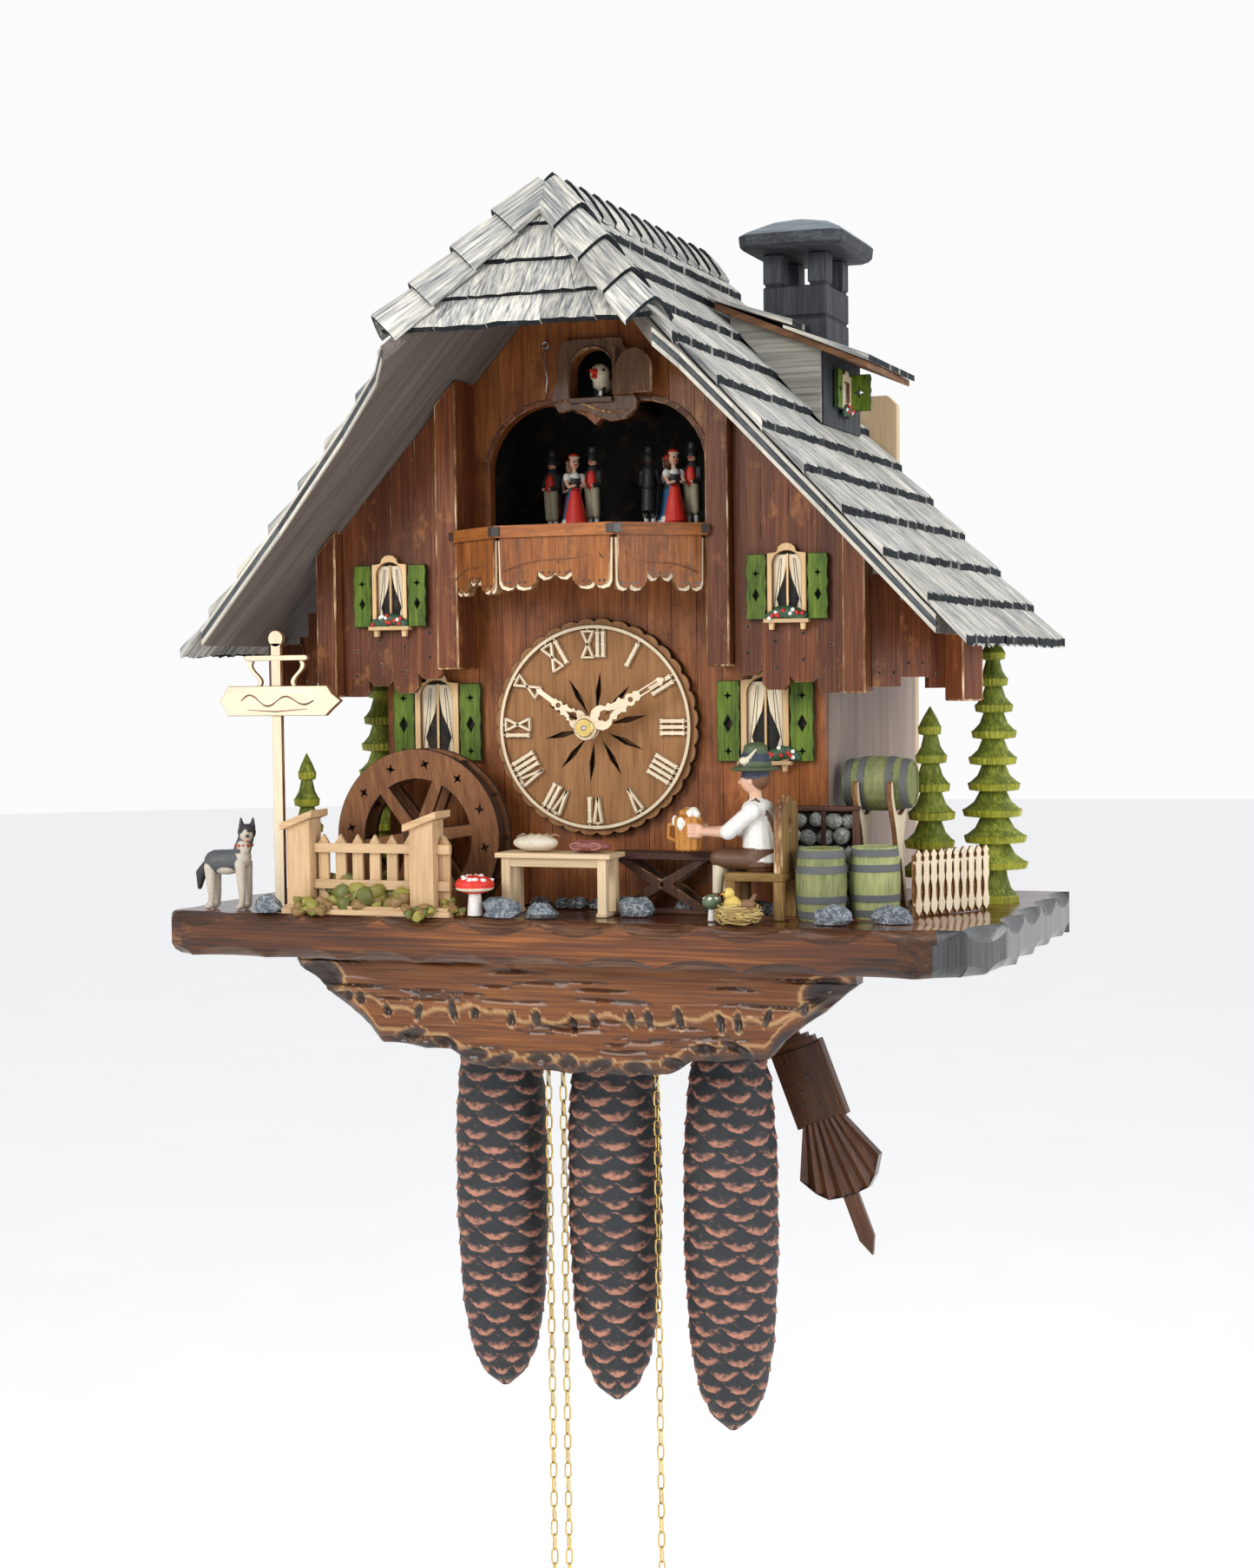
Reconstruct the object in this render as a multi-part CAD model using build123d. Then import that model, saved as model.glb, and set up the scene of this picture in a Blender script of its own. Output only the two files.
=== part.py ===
from build123d import *
import math
import os

# Chalet cuckoo clock with a beer garden, an eight-day three-train chain movement and pine-cone weights.
# Everything is modelled from a datum at the middle of the front wall, on the top of the base board:
# +X to the right, +Y towards the wall, +Z up.  Each part is then moved so that the origin is the
# centre of the wall-hook hole on the plane of the wall.  Millimetres.

os.makedirs("parts", exist_ok=True)

# ---- driving dimensions -------------------------------------------------------------------------
WALL_Y = 215.0            # plane of the wall
HOOK_Z = 285.0            # height of the wall-hook hole above the base board
HOOK_R = 4.0              # radius of the wall-hook hole
GAP = 0.3                 # clearance between neighbouring glued parts

CASE_HALF = 131.0         # half width of the case
WALL_T = 8.0              # thickness of the side walls and of the back
PANEL_T = 7.0             # thickness of the front panel
BACK_Y = WALL_Y - WALL_T  # inner face of the back board

RIDGE_Z = 392.0           # top of the shingles at the ridge
ROOF_SLOPE = 1.083        # fall of the roof per millimetre of half width
SHINGLE_DROP = 7.0        # height from the shingles' top down to the roof board's top
BOARD_DROP = 17.0         # height from the shingles' top down to the roof board's underside
EAVE_X = 226.0            # half width of the shingles
BOARD_X = 209.0           # half width of the roof boards
RIDGE_FRONT_Y = -61.0     # front end of the ridge
HIP_X = 75.0              # half width of the half-hip at its foot
HIP_Y = -114.0            # foot of the half-hip
EAVE_FRONT_Y = -72.0      # front corner of the eaves
ROOF_BACK_Y = BACK_Y - 0.5

PLATE_T = 24.0            # thickness of the base board
PLATE_HALF = 236.0        # half width of the base board
PLATE_FRONT_Y = -84.0
PLATE_BACK_Y = 150.0

DIAL_Z = 101.0            # height of the dial's centre
DIAL_R = 61.0             # radius of the dial board
RING_R = 57.0             # outer radius of the numeral ring

SPROCKET_Z = 71.3         # height of the chain wheels' arbors
SPROCKET_R = 15.0         # pitch radius of a chain wheel
CHAIN_D = 4.8             # width of a chain link
CHAIN_Y = 30.0            # plane in which the weights hang
FREE_Y = 9.6              # plane in which the free ends hang
TRAVEL = 110.0            # travel of a weight
CHAIN_HOLE_R = 5.0

PIVOT_Z = 160.0           # pendulum pivot
PENDULUM_Y = 66.0
PENDULUM_SWING = 20.9     # degrees from the vertical, as it is stored
DECK_Z = 212.0            # top of the dancers' turntables


def export(node, *solids):
    """Move the part from the datum to the hook hole and write it."""
    moved = [s.moved(Location((0, -WALL_Y, -HOOK_Z))) for s in solids]
    shape = moved[0] if len(moved) == 1 else Compound(children=moved)
    export_step(shape, f"parts/{node}.step")


def block(x0, x1, y0, y1, z0, z1):
    """Box between two corners."""
    centre = ((x0 + x1) / 2, (y0 + y1) / 2, (z0 + z1) / 2)
    return Pos(*centre) * Box(abs(x1 - x0), abs(y1 - y0), abs(z1 - z0))


def front_prism(points, y0, y1):
    """Outline in X and Z, extruded from y0 to y1."""
    face = Face(Wire.make_polygon([Vector(x, y0, z) for x, z in points]))
    return Solid.extrude(face, Vector(0, y1 - y0, 0))


def plan_prism(points, z0, z1):
    """Outline in X and Y, extruded from z0 to z1."""
    face = Face(Wire.make_polygon([Vector(x, y, z0) for x, y in points]))
    return Solid.extrude(face, Vector(0, 0, z1 - z0))


def side_prism(points, x0, x1):
    """Outline in Y and Z, extruded from x0 to x1."""
    face = Face(Wire.make_polygon([Vector(x0, y, z) for y, z in points]))
    return Solid.extrude(face, Vector(x1 - x0, 0, 0))


def rod(start, end, radius, end_radius=None):
    """Round bar, or a cone when the end radius differs."""
    start = Vector(*start)
    span = Vector(*end) - start
    plane = Plane(origin=start, z_dir=span)
    if end_radius is None:
        return Solid.make_cylinder(radius, span.length, plane)
    return Solid.make_cone(radius, end_radius, span.length, plane)


def ball(x, y, z, r):
    return Pos(x, y, z) * Sphere(r)


def mirror_x(shape):
    return shape.mirror(Plane.YZ)


def polar(cx, cz, r, degrees):
    """Point in X and Z at a clockwise angle from twelve o'clock."""
    angle = math.radians(degrees)
    return (cx + r * math.sin(angle), cz + r * math.cos(angle))


def gear(cx, cz, y0, y1, teeth, module, bore, phase=0.0):
    """Spur gear with tapered teeth about an axis along Y.  The phase is in tooth pitches."""
    pitch_r = teeth * module / 2
    root_r = pitch_r - 1.25 * module
    tip_r = pitch_r + 0.8 * module
    step = 360.0 / teeth
    outline = []
    for i in range(teeth):
        middle = (i + phase) * step
        for radius, share in ((root_r, -0.27), (tip_r, -0.11), (tip_r, 0.11), (root_r, 0.27)):
            outline.append(polar(cx, cz, radius, middle + share * step))
    wheel = front_prism(outline, y0, y1)
    return wheel - rod((cx, y0 - 1, cz), (cx, y1 + 1, cz), bore)


def mesh_phase(teeth, direction, partner_teeth, partner_phase):
    """Phase that puts a gap of one wheel opposite a tooth of its partner.

    direction is the clockwise angle from the partner's centre to this wheel's centre."""
    partner_pitch = 360.0 / partner_teeth
    offset = (direction / partner_pitch - partner_phase) % 1.0
    back = (direction + 180.0) / (360.0 / teeth)
    return (back + offset + 0.5) % 1.0


def spoked(cx, cz, y0, y1, rim_r, hub_r, count):
    """Openings between the spokes of a wheel, to be cut from it."""
    cuts = []
    for i in range(count):
        middle = 360.0 / count * i
        half = 180.0 / count - 9.0
        arc = [polar(cx, cz, rim_r, middle + half * t) for t in (-1, -0.5, 0, 0.5, 1)]
        inner = [polar(cx, cz, hub_r, middle + half * t) for t in (0.6, -0.6)]
        cuts.append(front_prism(arc + inner, y0 - 1, y1 + 1))
    return cuts


def roof_z(x, drop=0.0):
    return RIDGE_Z - drop - ROOF_SLOPE * abs(x)


def under_roof(shape, gap=GAP):
    """Cut a shape off at the underside of the roof boards."""
    far = 320.0
    low = roof_z(far, BOARD_DROP + gap)
    peak = RIDGE_Z - BOARD_DROP - gap
    attic = front_prism([(-far, -200), (far, -200), (far, low), (0, peak), (-far, low)], -300, 300)
    return shape & attic


def arch_points(cx, z_foot, z_centre, radius, segments=12):
    """Outline of a round-headed opening."""
    points = [(cx - radius, z_foot)]
    for i in range(segments + 1):
        angle = math.pi - math.pi * i / segments
        points.append((cx + radius * math.cos(angle), z_centre + radius * math.sin(angle)))
    points.append((cx + radius, z_foot))
    return points


# ---- case ---------------------------------------------------------------------------------------
ARCH_R = 37.0
ARCH_X = 27.3
ARCH_Z = 244.0
CUCKOO_R = 12.9
CUCKOO_Z = 298.0
CUCKOO_FOOT = 283.6
WATER_WHEEL = (-97.0, 40.0)
WATER_WHEEL_R = 50.0


def make_front_panel():
    panel = under_roof(block(-CASE_HALF, CASE_HALF, 0, PANEL_T, 0, RIDGE_Z))
    for side in (-1, 1):
        panel -= front_prism(arch_points(side * ARCH_X, DECK_Z, ARCH_Z, ARCH_R), -1, PANEL_T + 1)
    panel -= front_prism(arch_points(0, CUCKOO_FOOT, CUCKOO_Z, CUCKOO_R), -1, PANEL_T + 1)
    panel -= rod((0, -1, DIAL_Z), (0, PANEL_T + 1, DIAL_Z), 4.0)
    x, z = WATER_WHEEL
    panel -= rod((x, -1, z), (x, PANEL_T + 1, z), 2.05)
    export("front_panel", panel)


def make_case_walls():
    wall = under_roof(block(CASE_HALF - WALL_T, CASE_HALF, PANEL_T, BACK_Y, 0, RIDGE_Z))
    export("case_side_walls", wall, mirror_x(wall))


COVER_HALF = 75.0
COVER_Z = (25.0, 205.0)
LEDGE = 5.0


def make_back():
    rail_low, rail_top, rail_half, rail_round = 240.0, 301.0, 120.0, 6.0
    gable_half = 68.0
    outline = [(-CASE_HALF, 0), (CASE_HALF, 0), (CASE_HALF, 225), (rail_half, rail_low),
               (rail_half, rail_top - rail_round), (rail_half - rail_round, rail_top),
               (gable_half, rail_top), (0, RIDGE_Z - BOARD_DROP), (-gable_half, rail_top),
               (-rail_half + rail_round, rail_top), (-rail_half, rail_top - rail_round),
               (-rail_half, rail_low), (-CASE_HALF, 225)]
    board = front_prism(outline, BACK_Y, WALL_Y)
    middle = (BACK_Y + WALL_Y) / 2
    low, high = COVER_Z
    board -= block(-COVER_HALF, COVER_HALF, middle, WALL_Y + 1, low, high)
    board -= block(-COVER_HALF + LEDGE, COVER_HALF - LEDGE, BACK_Y - 1, middle + 1, low + LEDGE, high - LEDGE)
    board -= rod((0, BACK_Y - 1, HOOK_Z), (0, WALL_Y + 1, HOOK_Z), HOOK_R)
    export("back_board", board)
    cover = block(-COVER_HALF + GAP, COVER_HALF - GAP, middle, WALL_Y - 0.6, low + GAP, high - GAP)
    cover -= rod((0, middle - 1, high - 12), (0, WALL_Y, high - 12), 7.0)
    export("back_cover", cover)


def make_base():
    front, half = PLATE_FRONT_Y, PLATE_HALF
    outline = [(-half, PLATE_BACK_Y), (-half, -66), (-half + 7, front + 4), (-half + 22, front)]
    outline += [(half - 40, front), (half - 12, front + 12), (half, front + 50), (half, PLATE_BACK_Y)]
    outline += [(CASE_HALF, PLATE_BACK_Y), (CASE_HALF, BACK_Y - GAP), (-CASE_HALF, BACK_Y - GAP)]
    outline += [(-CASE_HALF, PLATE_BACK_Y)]
    plate = plan_prism(outline, -PLATE_T, 0)
    for x in WEIGHT_X:
        plate -= rod((x, CHAIN_Y, -PLATE_T - 1), (x, CHAIN_Y, 1), CHAIN_HOLE_R)
    for x in FREE_X:
        plate -= rod((x, FREE_Y, -PLATE_T - 1), (x, FREE_Y, 1), CHAIN_HOLE_R - 1.0)
    plate -= block(-80, 80, PENDULUM_Y - 7, PENDULUM_Y + 7, -PLATE_T - 1, 1)
    x, z = WATER_WHEEL
    plate -= block(x - 35, x + 35, -38, -12, -13, 1)
    export("base_plate", plate)

    steps = [(-162, 0), (-162, -9), (-120, -41), (-112, -50), (-70, -53), (-60, -59), (-46, -62)]
    mirrored = [(-x, z) for x, z in reversed(steps)]
    board = front_prism([(x, z - PLATE_T) for x, z in steps + mirrored], -58, -42)
    export("carved_skirt", board)


# ---- roof ---------------------------------------------------------------------------------------
ROW_RUN = 20.5            # width, level with the ground, that each row of shingles covers


def roof_plan(edge_x, back_y):
    """Plan outline of the right slope, with its front edge swept back below the half-hip."""
    sweep = [(HIP_X, HIP_Y), (HIP_X + 10, -101), (HIP_X + 35, -91), (HIP_X + 80, -81)]
    return [(0.2, RIDGE_FRONT_Y)] + sweep + [(edge_x, EAVE_FRONT_Y), (edge_x, back_y), (0.2, back_y)]


def make_main_roof():
    far = EAVE_X + 10
    slab = front_prism([(0, roof_z(0, SHINGLE_DROP)), (far, roof_z(far, SHINGLE_DROP)),
                        (far, roof_z(far, BOARD_DROP)), (0, roof_z(0, BOARD_DROP))], -200, 300)
    right = slab & plan_prism(roof_plan(BOARD_X, ROOF_BACK_Y), 0, RIDGE_Z)
    hip_rise = roof_z(0) - roof_z(HIP_X)
    hip_run = RIDGE_FRONT_Y - HIP_Y
    hip_slope = hip_rise / hip_run

    def hip_z(y, drop):
        return RIDGE_Z - drop - hip_slope * (RIDGE_FRONT_Y - y)

    foot = HIP_Y - 4
    start = RIDGE_FRONT_Y
    hip_slab = side_prism([(start, hip_z(start, 10)), (foot, hip_z(foot, 10)),
                           (foot, hip_z(foot, 24)), (start, hip_z(start, 24))], -100, 100)
    inset = 0.8
    triangle = [(0, start - inset), (-HIP_X + inset, HIP_Y - inset), (-HIP_X, foot), (HIP_X, foot),
                (HIP_X - inset, HIP_Y - inset)]
    hip_board = hip_slab & plan_prism(triangle, 0, RIDGE_Z + 20)
    export("roof_boards", right, mirror_x(right), hip_board)

    rows = 11
    profile = []
    for row in range(rows):
        x_top = 4.0 + row * ROW_RUN
        x_low = min(x_top + ROW_RUN, EAVE_X)
        profile.append((x_top, roof_z(x_top, SHINGLE_DROP - 2.5)))
        profile.append((x_low, roof_z(x_low, 0)))
    profile.append((profile[-1][0], roof_z(profile[-1][0], SHINGLE_DROP - 0.2)))
    profile.append((4.0, roof_z(4.0, SHINGLE_DROP - 0.2)))
    shingles = front_prism(profile, -200, 300) & plan_prism(roof_plan(EAVE_X, ROOF_BACK_Y), 0, RIDGE_Z)
    export("shingles_right", shingles)
    export("shingles_left", mirror_x(shingles))

    hip_profile = []
    hip_rows = 4
    for row in range(hip_rows):
        y_top = start - 2 - row * 15.0
        y_low = y_top - 15.0
        hip_profile.append((y_top, hip_z(y_top, 6.5)))
        hip_profile.append((y_low, hip_z(y_low, 2.0)))
    hip_profile.append((hip_profile[-1][0], hip_z(hip_profile[-1][0], 9.8)))
    hip_profile.append((start - 2, hip_z(start - 2, 9.8)))
    end = hip_profile[-3][0]
    hip_plan = [(0, start - inset), (-HIP_X + inset, HIP_Y - inset), (-HIP_X, end), (HIP_X, end),
                (HIP_X - inset, HIP_Y - inset)]
    hip_shingles = side_prism(hip_profile, -100, 100) & plan_prism(hip_plan, 0, RIDGE_Z + 20)
    export("shingles_hip", hip_shingles)

    ridge = rod((0, RIDGE_FRONT_Y - 4, RIDGE_Z + 0.5), (0, ROOF_BACK_Y, RIDGE_Z + 0.5), 7.0)
    ridge &= block(-20, 20, -100, 300, RIDGE_Z + 0.4, RIDGE_Z + 20)
    hip_cap = rod((1.0, RIDGE_FRONT_Y - 3, RIDGE_Z + 2.5), (HIP_X + 2, HIP_Y - 3, roof_z(HIP_X) + 4.0), 5.0)
    hip_cap -= block(-20, 9, RIDGE_FRONT_Y - 9, 0, 0, 500)
    cut_main = front_prism([(-5, 0), (far, 0), (far, roof_z(far) + 0.4), (0, RIDGE_Z + 0.4), (-5, RIDGE_Z)],
                           -300, 300)
    cut_main &= plan_prism([(0, RIDGE_FRONT_Y), (HIP_X, HIP_Y), (300, -200), (300, 300), (0, 300)], 0, 500)
    cut_hip = side_prism([(start, 0), (start, hip_z(start, -0.6)), (-150, hip_z(-150, -0.6)), (-150, 0)],
                         -200, 200)
    hip_cap = hip_cap - cut_main - cut_hip
    solids = [ridge]
    for cap in (hip_cap, mirror_x(hip_cap)):
        solids += [s for s in cap.solids() if s.volume > 200]
    export("ridge_caps", *solids)


DORMER_X = (53.0, 108.0)
DORMER_Y = (80.0, 165.0)
DORMER_EAVE_X = 141.0
DORMER_SLOPE = 0.43


def dormer_z(x, lift=0.0):
    return 344.0 + lift - DORMER_SLOPE * (x - 46.0)


def make_dormer():
    x0, x1 = DORMER_X
    y0, y1 = DORMER_Y
    lift = 0.5
    box = front_prism([(x0, roof_z(x0) + lift), (x1, roof_z(x1) + lift), (x1, dormer_z(x1, -2.2)),
                       (x0, dormer_z(x0, -2.2))], y0, y1)
    top_x = 44.0
    underside = [(x, dormer_z(x)) for x in (top_x, DORMER_EAVE_X)]
    top = [(x, dormer_z(x, 5)) for x in (DORMER_EAVE_X, top_x)]
    lid = front_prism(underside + top, y0 - 14, y1 + 8)
    lid -= front_prism([(0, 0), (300, 0), (300, roof_z(300) + lift), (0, RIDGE_Z + lift)], 0, 300)
    export("dormer", box, lid)


def make_chimney():
    x0, x1, y0, y1 = 69.0, 107.0, 95.0, 143.0
    cx, cy = (x0 + x1) / 2, (y0 + y1) / 2
    stack_top, column_top, cap_top = 352.0, 373.0, 396.0
    stack = block(x0, x1, y0, y1, 300, column_top)
    stack -= block(cx - 6, cx + 6, y0 - 1, y1 + 1, stack_top, column_top + 1)
    stack -= block(x0 - 1, x1 + 1, cy - 9, cy + 9, stack_top, column_top + 1)
    stack -= front_prism([(0, 0), (300, 0), (300, dormer_z(300, 5.3)), (0, dormer_z(0, 5.3))], 0, 300)
    profile = [(60, column_top), (119, column_top), (121, column_top + 9), (104, cap_top), (75, cap_top),
               (58, column_top + 9)]
    cap = front_prism(profile, 75, 157)
    export("chimney", stack + cap)


# ---- facade -------------------------------------------------------------------------------------
PILLAR_X = (72.9, 86.0)
END_POST_X = (148.0, 161.0)
WING_Y = (-20.0, -15.0)
CHAMFER = 38.0


def turned_post(x, y, width, depth, z0):
    """Post on the chamfer, its front turned forty-five degrees outwards."""
    half = width / 2
    c = math.cos(math.radians(45))
    corners = []
    for u, v in ((-half, 0), (half, 0), (half, depth), (-half, depth)):
        corners.append((x + c * u - c * v, y + c * u + c * v))
    return under_roof(plan_prism(corners, z0, RIDGE_Z))


def make_facade():
    x0, x1 = PILLAR_X
    pillar = under_roof(block(x0, x1, -28, -GAP, 134, RIDGE_Z))
    e0, e1 = END_POST_X
    end_post = under_roof(block(e0 + GAP, e1, -29, -11, 119, RIDGE_Z))
    outer = turned_post(204.0, 13.5, 13.0, 18.0, 114)
    posts = [pillar, end_post, outer]
    export("facade_posts", *posts, *[mirror_x(p) for p in posts])

    y0, y1 = WING_Y
    bottoms = (129, 121, 125, 119)
    pitch = (e0 - x1) / len(bottoms)
    outline = []
    for i, low in enumerate(bottoms):
        outline += [(x1 + GAP + i * pitch, low), (x1 + (i + 1) * pitch, low)]
    wing = under_roof(front_prism(outline + [(e0, RIDGE_Z), (x1 + GAP, RIDGE_Z)], y0, y1))
    shelf = block(x1 + GAP, e0, y1, -GAP, 134, 138)
    start = (e1 + GAP, -16.0)
    c = math.cos(math.radians(45))
    length = CHAMFER + 5.0
    steps = ((0, 0), (length, length), (length - 5, length + 5), (-5, 5))
    corners = [(max(start[0] + c * a, e1 + GAP), start[1] + c * b) for a, b in steps]
    wing_end = under_roof(plan_prism(corners, 122, RIDGE_Z))
    brace = block(CASE_HALF + GAP, 190, 14, 18, 128, 136)
    brace -= plan_prism([corners[0], corners[1], (300, corners[1][1]), (300, -100), corners[0]], 0, 400)
    brace -= wing_end
    side = [wing + shelf, wing_end, brace]
    export("wing_planks", *side, *[mirror_x(s) for s in side])


def make_cuckoo_house():
    outline = [(-25, 284), (-19, 290), (-21, 309), (-17, 316), (17, 316), (21, 309), (19, 290), (27, 277),
               (22, 272), (8, 270), (0, 274), (-10, 277), (-20, 276)]
    plate = front_prism(outline, -5, -GAP)
    plate -= front_prism(arch_points(0, CUCKOO_FOOT, CUCKOO_Z, CUCKOO_R), -7, 2)
    shelf = block(-15, 15, PANEL_T, 64, 276.5, 280)
    guide = block(-6, 6, 54, 64, 280, 292)
    guide -= rod((0, 50, 286), (0, 70, 286), 1.55)
    export("cuckoo_house", plate, shelf + guide)


def bay(half_front, front_y, side_y, z0, z1, thickness):
    """Three-sided bay in plan, as a wall of the given thickness."""
    back = -GAP
    edge = PILLAR_X[0] - GAP
    outer = [(-edge, back), (-edge, side_y), (-half_front, front_y),
             (half_front, front_y), (edge, side_y), (edge, back)]
    inner_half = half_front - 0.4 * thickness
    inner_edge, inner_y = edge - thickness, side_y + 0.4 * thickness
    inner = [(-inner_edge, 5.0), (-inner_edge, inner_y), (-inner_half, front_y + thickness),
             (inner_half, front_y + thickness), (inner_edge, inner_y), (inner_edge, 5.0)]
    return plan_prism(outer, z0, z1), plan_prism(inner, z0 - 1, z1 + 1)


def make_balcony():
    skin, hollow = bay(33.5, -62.0, -28.5, 178.0, 211.0, 4.0)
    floor, _ = bay(33.5, -62.0, -28.5, 203.0, 206.0, 4.0)
    export("balcony", (skin - hollow) + floor)


def make_dial():
    scallops = 36
    outline = []
    for i in range(scallops * 2):
        outline.append(polar(0, DIAL_Z, DIAL_R - (1.2 if i % 2 else 0), i * 180.0 / scallops))
    board = front_prism(outline, -6, -GAP) - rod((0, -9, DIAL_Z), (0, 1, DIAL_Z), 3.6)
    export("dial_board", board)
    ring = rod((0, -8, DIAL_Z), (0, -6, DIAL_Z), RING_R) - rod((0, -9, DIAL_Z), (0, -5, DIAL_Z), RING_R - 3)
    for hour in range(12):
        angle = hour * 30.0
        reach = ((RING_R - 1, -5), (RING_R - 1, 5), (38, 5.5), (38, -5.5))
        corners = [polar(0, DIAL_Z, r, angle + a) for r, a in reach]
        ring += front_prism(corners, -8, -6)
    export("dial_ring", ring)


UPPER_WINDOW = (117.0, 155.6, 199.3)
LOWER_WINDOW = (98.0, 78.0, 133.0)


def window_set(cx, z0, z1, back_y, shutter):
    """Frame with its sill and two open shutters, on a wall whose face is at back_y."""
    height = z1 - z0
    half = height * 0.25
    outline = [(cx - half, z0), (cx + half, z0), (cx + half, z1 - 5), (cx, z1), (cx - half, z1 - 5)]
    frame = front_prism(outline, back_y - 4, back_y - GAP)
    frame -= block(cx - half + 4, cx - 1, back_y - 9, back_y - 2.5, z0 + 8, z1 - 10)
    frame -= block(cx + 1, cx + half - 4, back_y - 9, back_y - 2.5, z0 + 8, z1 - 10)
    solids = [frame]
    for side in (-1, 1):
        near = cx + side * (half + GAP)
        far = near + side * shutter
        solids.append(block(near, far, back_y - 4.5, back_y - GAP, z0 + 2, z1 - 6))
    return solids


def make_windows():
    solids = []
    for side in (-1, 1):
        cx, z0, z1 = UPPER_WINDOW
        solids += window_set(side * cx, z0, z1, WING_Y[0], 12.5)
        cx, z0, z1 = LOWER_WINDOW
        solids += window_set(side * cx, z0, z1, 0.0, 14.5)
    x = DORMER_X[1]
    solids.append(block(x + GAP, x + 4, 113, 133, 283, 307))
    solids.append(block(x + GAP, x + 4, 101, 112.5, 284, 306))
    solids.append(block(x + GAP, x + 15, 134, 137, 284, 306))
    export("windows", *solids)


# ---- beer garden --------------------------------------------------------------------------------
def make_fences_and_sign():
    front = block(-160, -58, -78, -60, 0, 5)
    for x in (-150, -75):
        front += block(x - 7, x + 7, -76, -62, 5, 48)
        front += front_prism([(x - 10, 47), (x + 10, 55), (x + 10, 58), (x - 10, 50)], -79, -59)
    for z in (14, 34):
        front += block(-143, -60, -72, -69, z, z + 5)
    for i in range(8):
        x = -138 + i * 10.5
        front += block(x - 3, x + 3, -69, -67, 5, 44)
    along = Vector(30, 53, 0).normalized()
    across = Vector(-along.Y, along.X, 0)
    corner = Vector(183, -17, 0)
    picket = []
    for u, v in ((0, -2), (60, -2), (60, 2), (0, 2)):
        point = corner + along * u + across * v
        picket.append((point.X, point.Y))
    side_fence = plan_prism(picket, 0, 36)
    board_outline = [(-204, 109), (-139, 109), (-131.5, 115.5), (-139, 126), (-204, 126), (-211, 115.5)]
    board = front_prism(board_outline, -58.5, -54.5)
    crossbar = block(-192, -149, -57.5, -54.5, 140, 143)
    pole = block(-175, -169, -57.5, -54.5, 0, 157) - board - crossbar
    export("fences_and_sign", front, side_fence, board, crossbar, *pole.solids())


TREES = ((-165, -36, 88, 12), (-176, 82, 134, 20), (176, 54, 111, 16), (206, 80, 151, 19))


def make_trees():
    trees = []
    for x, y, height, radius in TREES:
        trunk = rod((x, y, 0), (x, y, 16), 3.5)
        trees.append(trunk + rod((x, y, 12), (x, y, height), radius, 0.8))
    export("trees", *trees)


ROCKS = ((-169, -75, 8), (-31, -70, 9.5), (-8, -68, 8), (37, -45, 8.5), (152, -62, 9), (181, -49, 9))


def make_stones():
    stones = []
    for x, y, r in ROCKS:
        stones.append(rod((x, y, 0), (x, y, r * 1.1), r, r * 0.55))
    stones.append(block(110, 150, -7, -GAP, 0, 58))
    export("stones", *stones)


def table(x0, x1, y0, y1, top, leg):
    """Table top with its apron, and four legs, as separate solids."""
    apron_z = top - 7
    solids = [block(x0, x1, y0, y1, top - 3, top) + block(x0 + 3, x1 - 3, y0 + 3, y1 - 3, apron_z, top - 3)]
    for x in (x0 + 3, x1 - 3 - leg):
        for y in (y0 + 2, y1 - 2 - leg):
            solids.append(block(x, x + leg, y, y + leg, 0, apron_z))
    return solids


SEAT_Z = 25.0


def make_furniture():
    solids = table(-40, 27, -57, -33, 34, 5)
    solids.append(block(14, 76, -28, -6, 29, 33))
    for y in (-26, -11):
        leg = front_prism([(18, 0), (25, 0), (72, 29), (65, 29)], y, y + 3)
        crossed = front_prism([(72, 0), (65, 0), (18, 29), (25, 29)], y, y + 3) - leg
        solids += [leg, *crossed.solids()]
    solids.append(block(90, 122, -52, -22, SEAT_Z - 4, SEAT_Z))
    for x in (90, 117):
        for y in (-52, -27):
            solids.append(block(x, x + 5, y, y + 5, 0, SEAT_Z - 4))
    solids.append(block(117, 122, -52, -22, SEAT_Z, 66))
    export("garden_furniture", *solids)


SHOULDER = (103.0, -37.0, 57.0)
MUG = (65.0, -37.0, 36.0)


def make_drinker():
    x, y, z = SHOULDER
    torso = rod((x + 2, y, SEAT_Z + GAP), (x + 2, y, 66), 11.0, 8.0)
    legs = block(80, x + 2, y - 9, y + 9, SEAT_Z + GAP, SEAT_Z + 9)
    legs -= block(79, 88, y - 10, y + 10, 0, SEAT_Z + 2)
    legs += block(79, 87, y - 9, y - 2, 4, SEAT_Z + 9)
    legs += block(79, 87, y + 2, y + 9, 4, SEAT_Z + 9)
    head = ball(x - 1, y, 74, 8.5)
    hat = rod((x - 1, y, 78), (x - 1, y, 81), 14.0) + rod((x - 1, y, 81), (x - 1, y, 94), 9.5, 6.5)
    export("drinker_body", torso + legs + head + hat)
    mx, my, mz = MUG
    arm = rod((mx, my, mz), (mx, my, mz + 20), 8.0)
    hub = 12.5
    for side in (-1, 1):
        arm += rod((x, y + side * hub, z), (mx + 4, y + side * 6, mz + 10), 3.3)
        arm += y_rod((x, z), y + side * hub - 3.3, y + side * hub + 3.3, 3.3)
    export("drinker_arm", arm)


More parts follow.
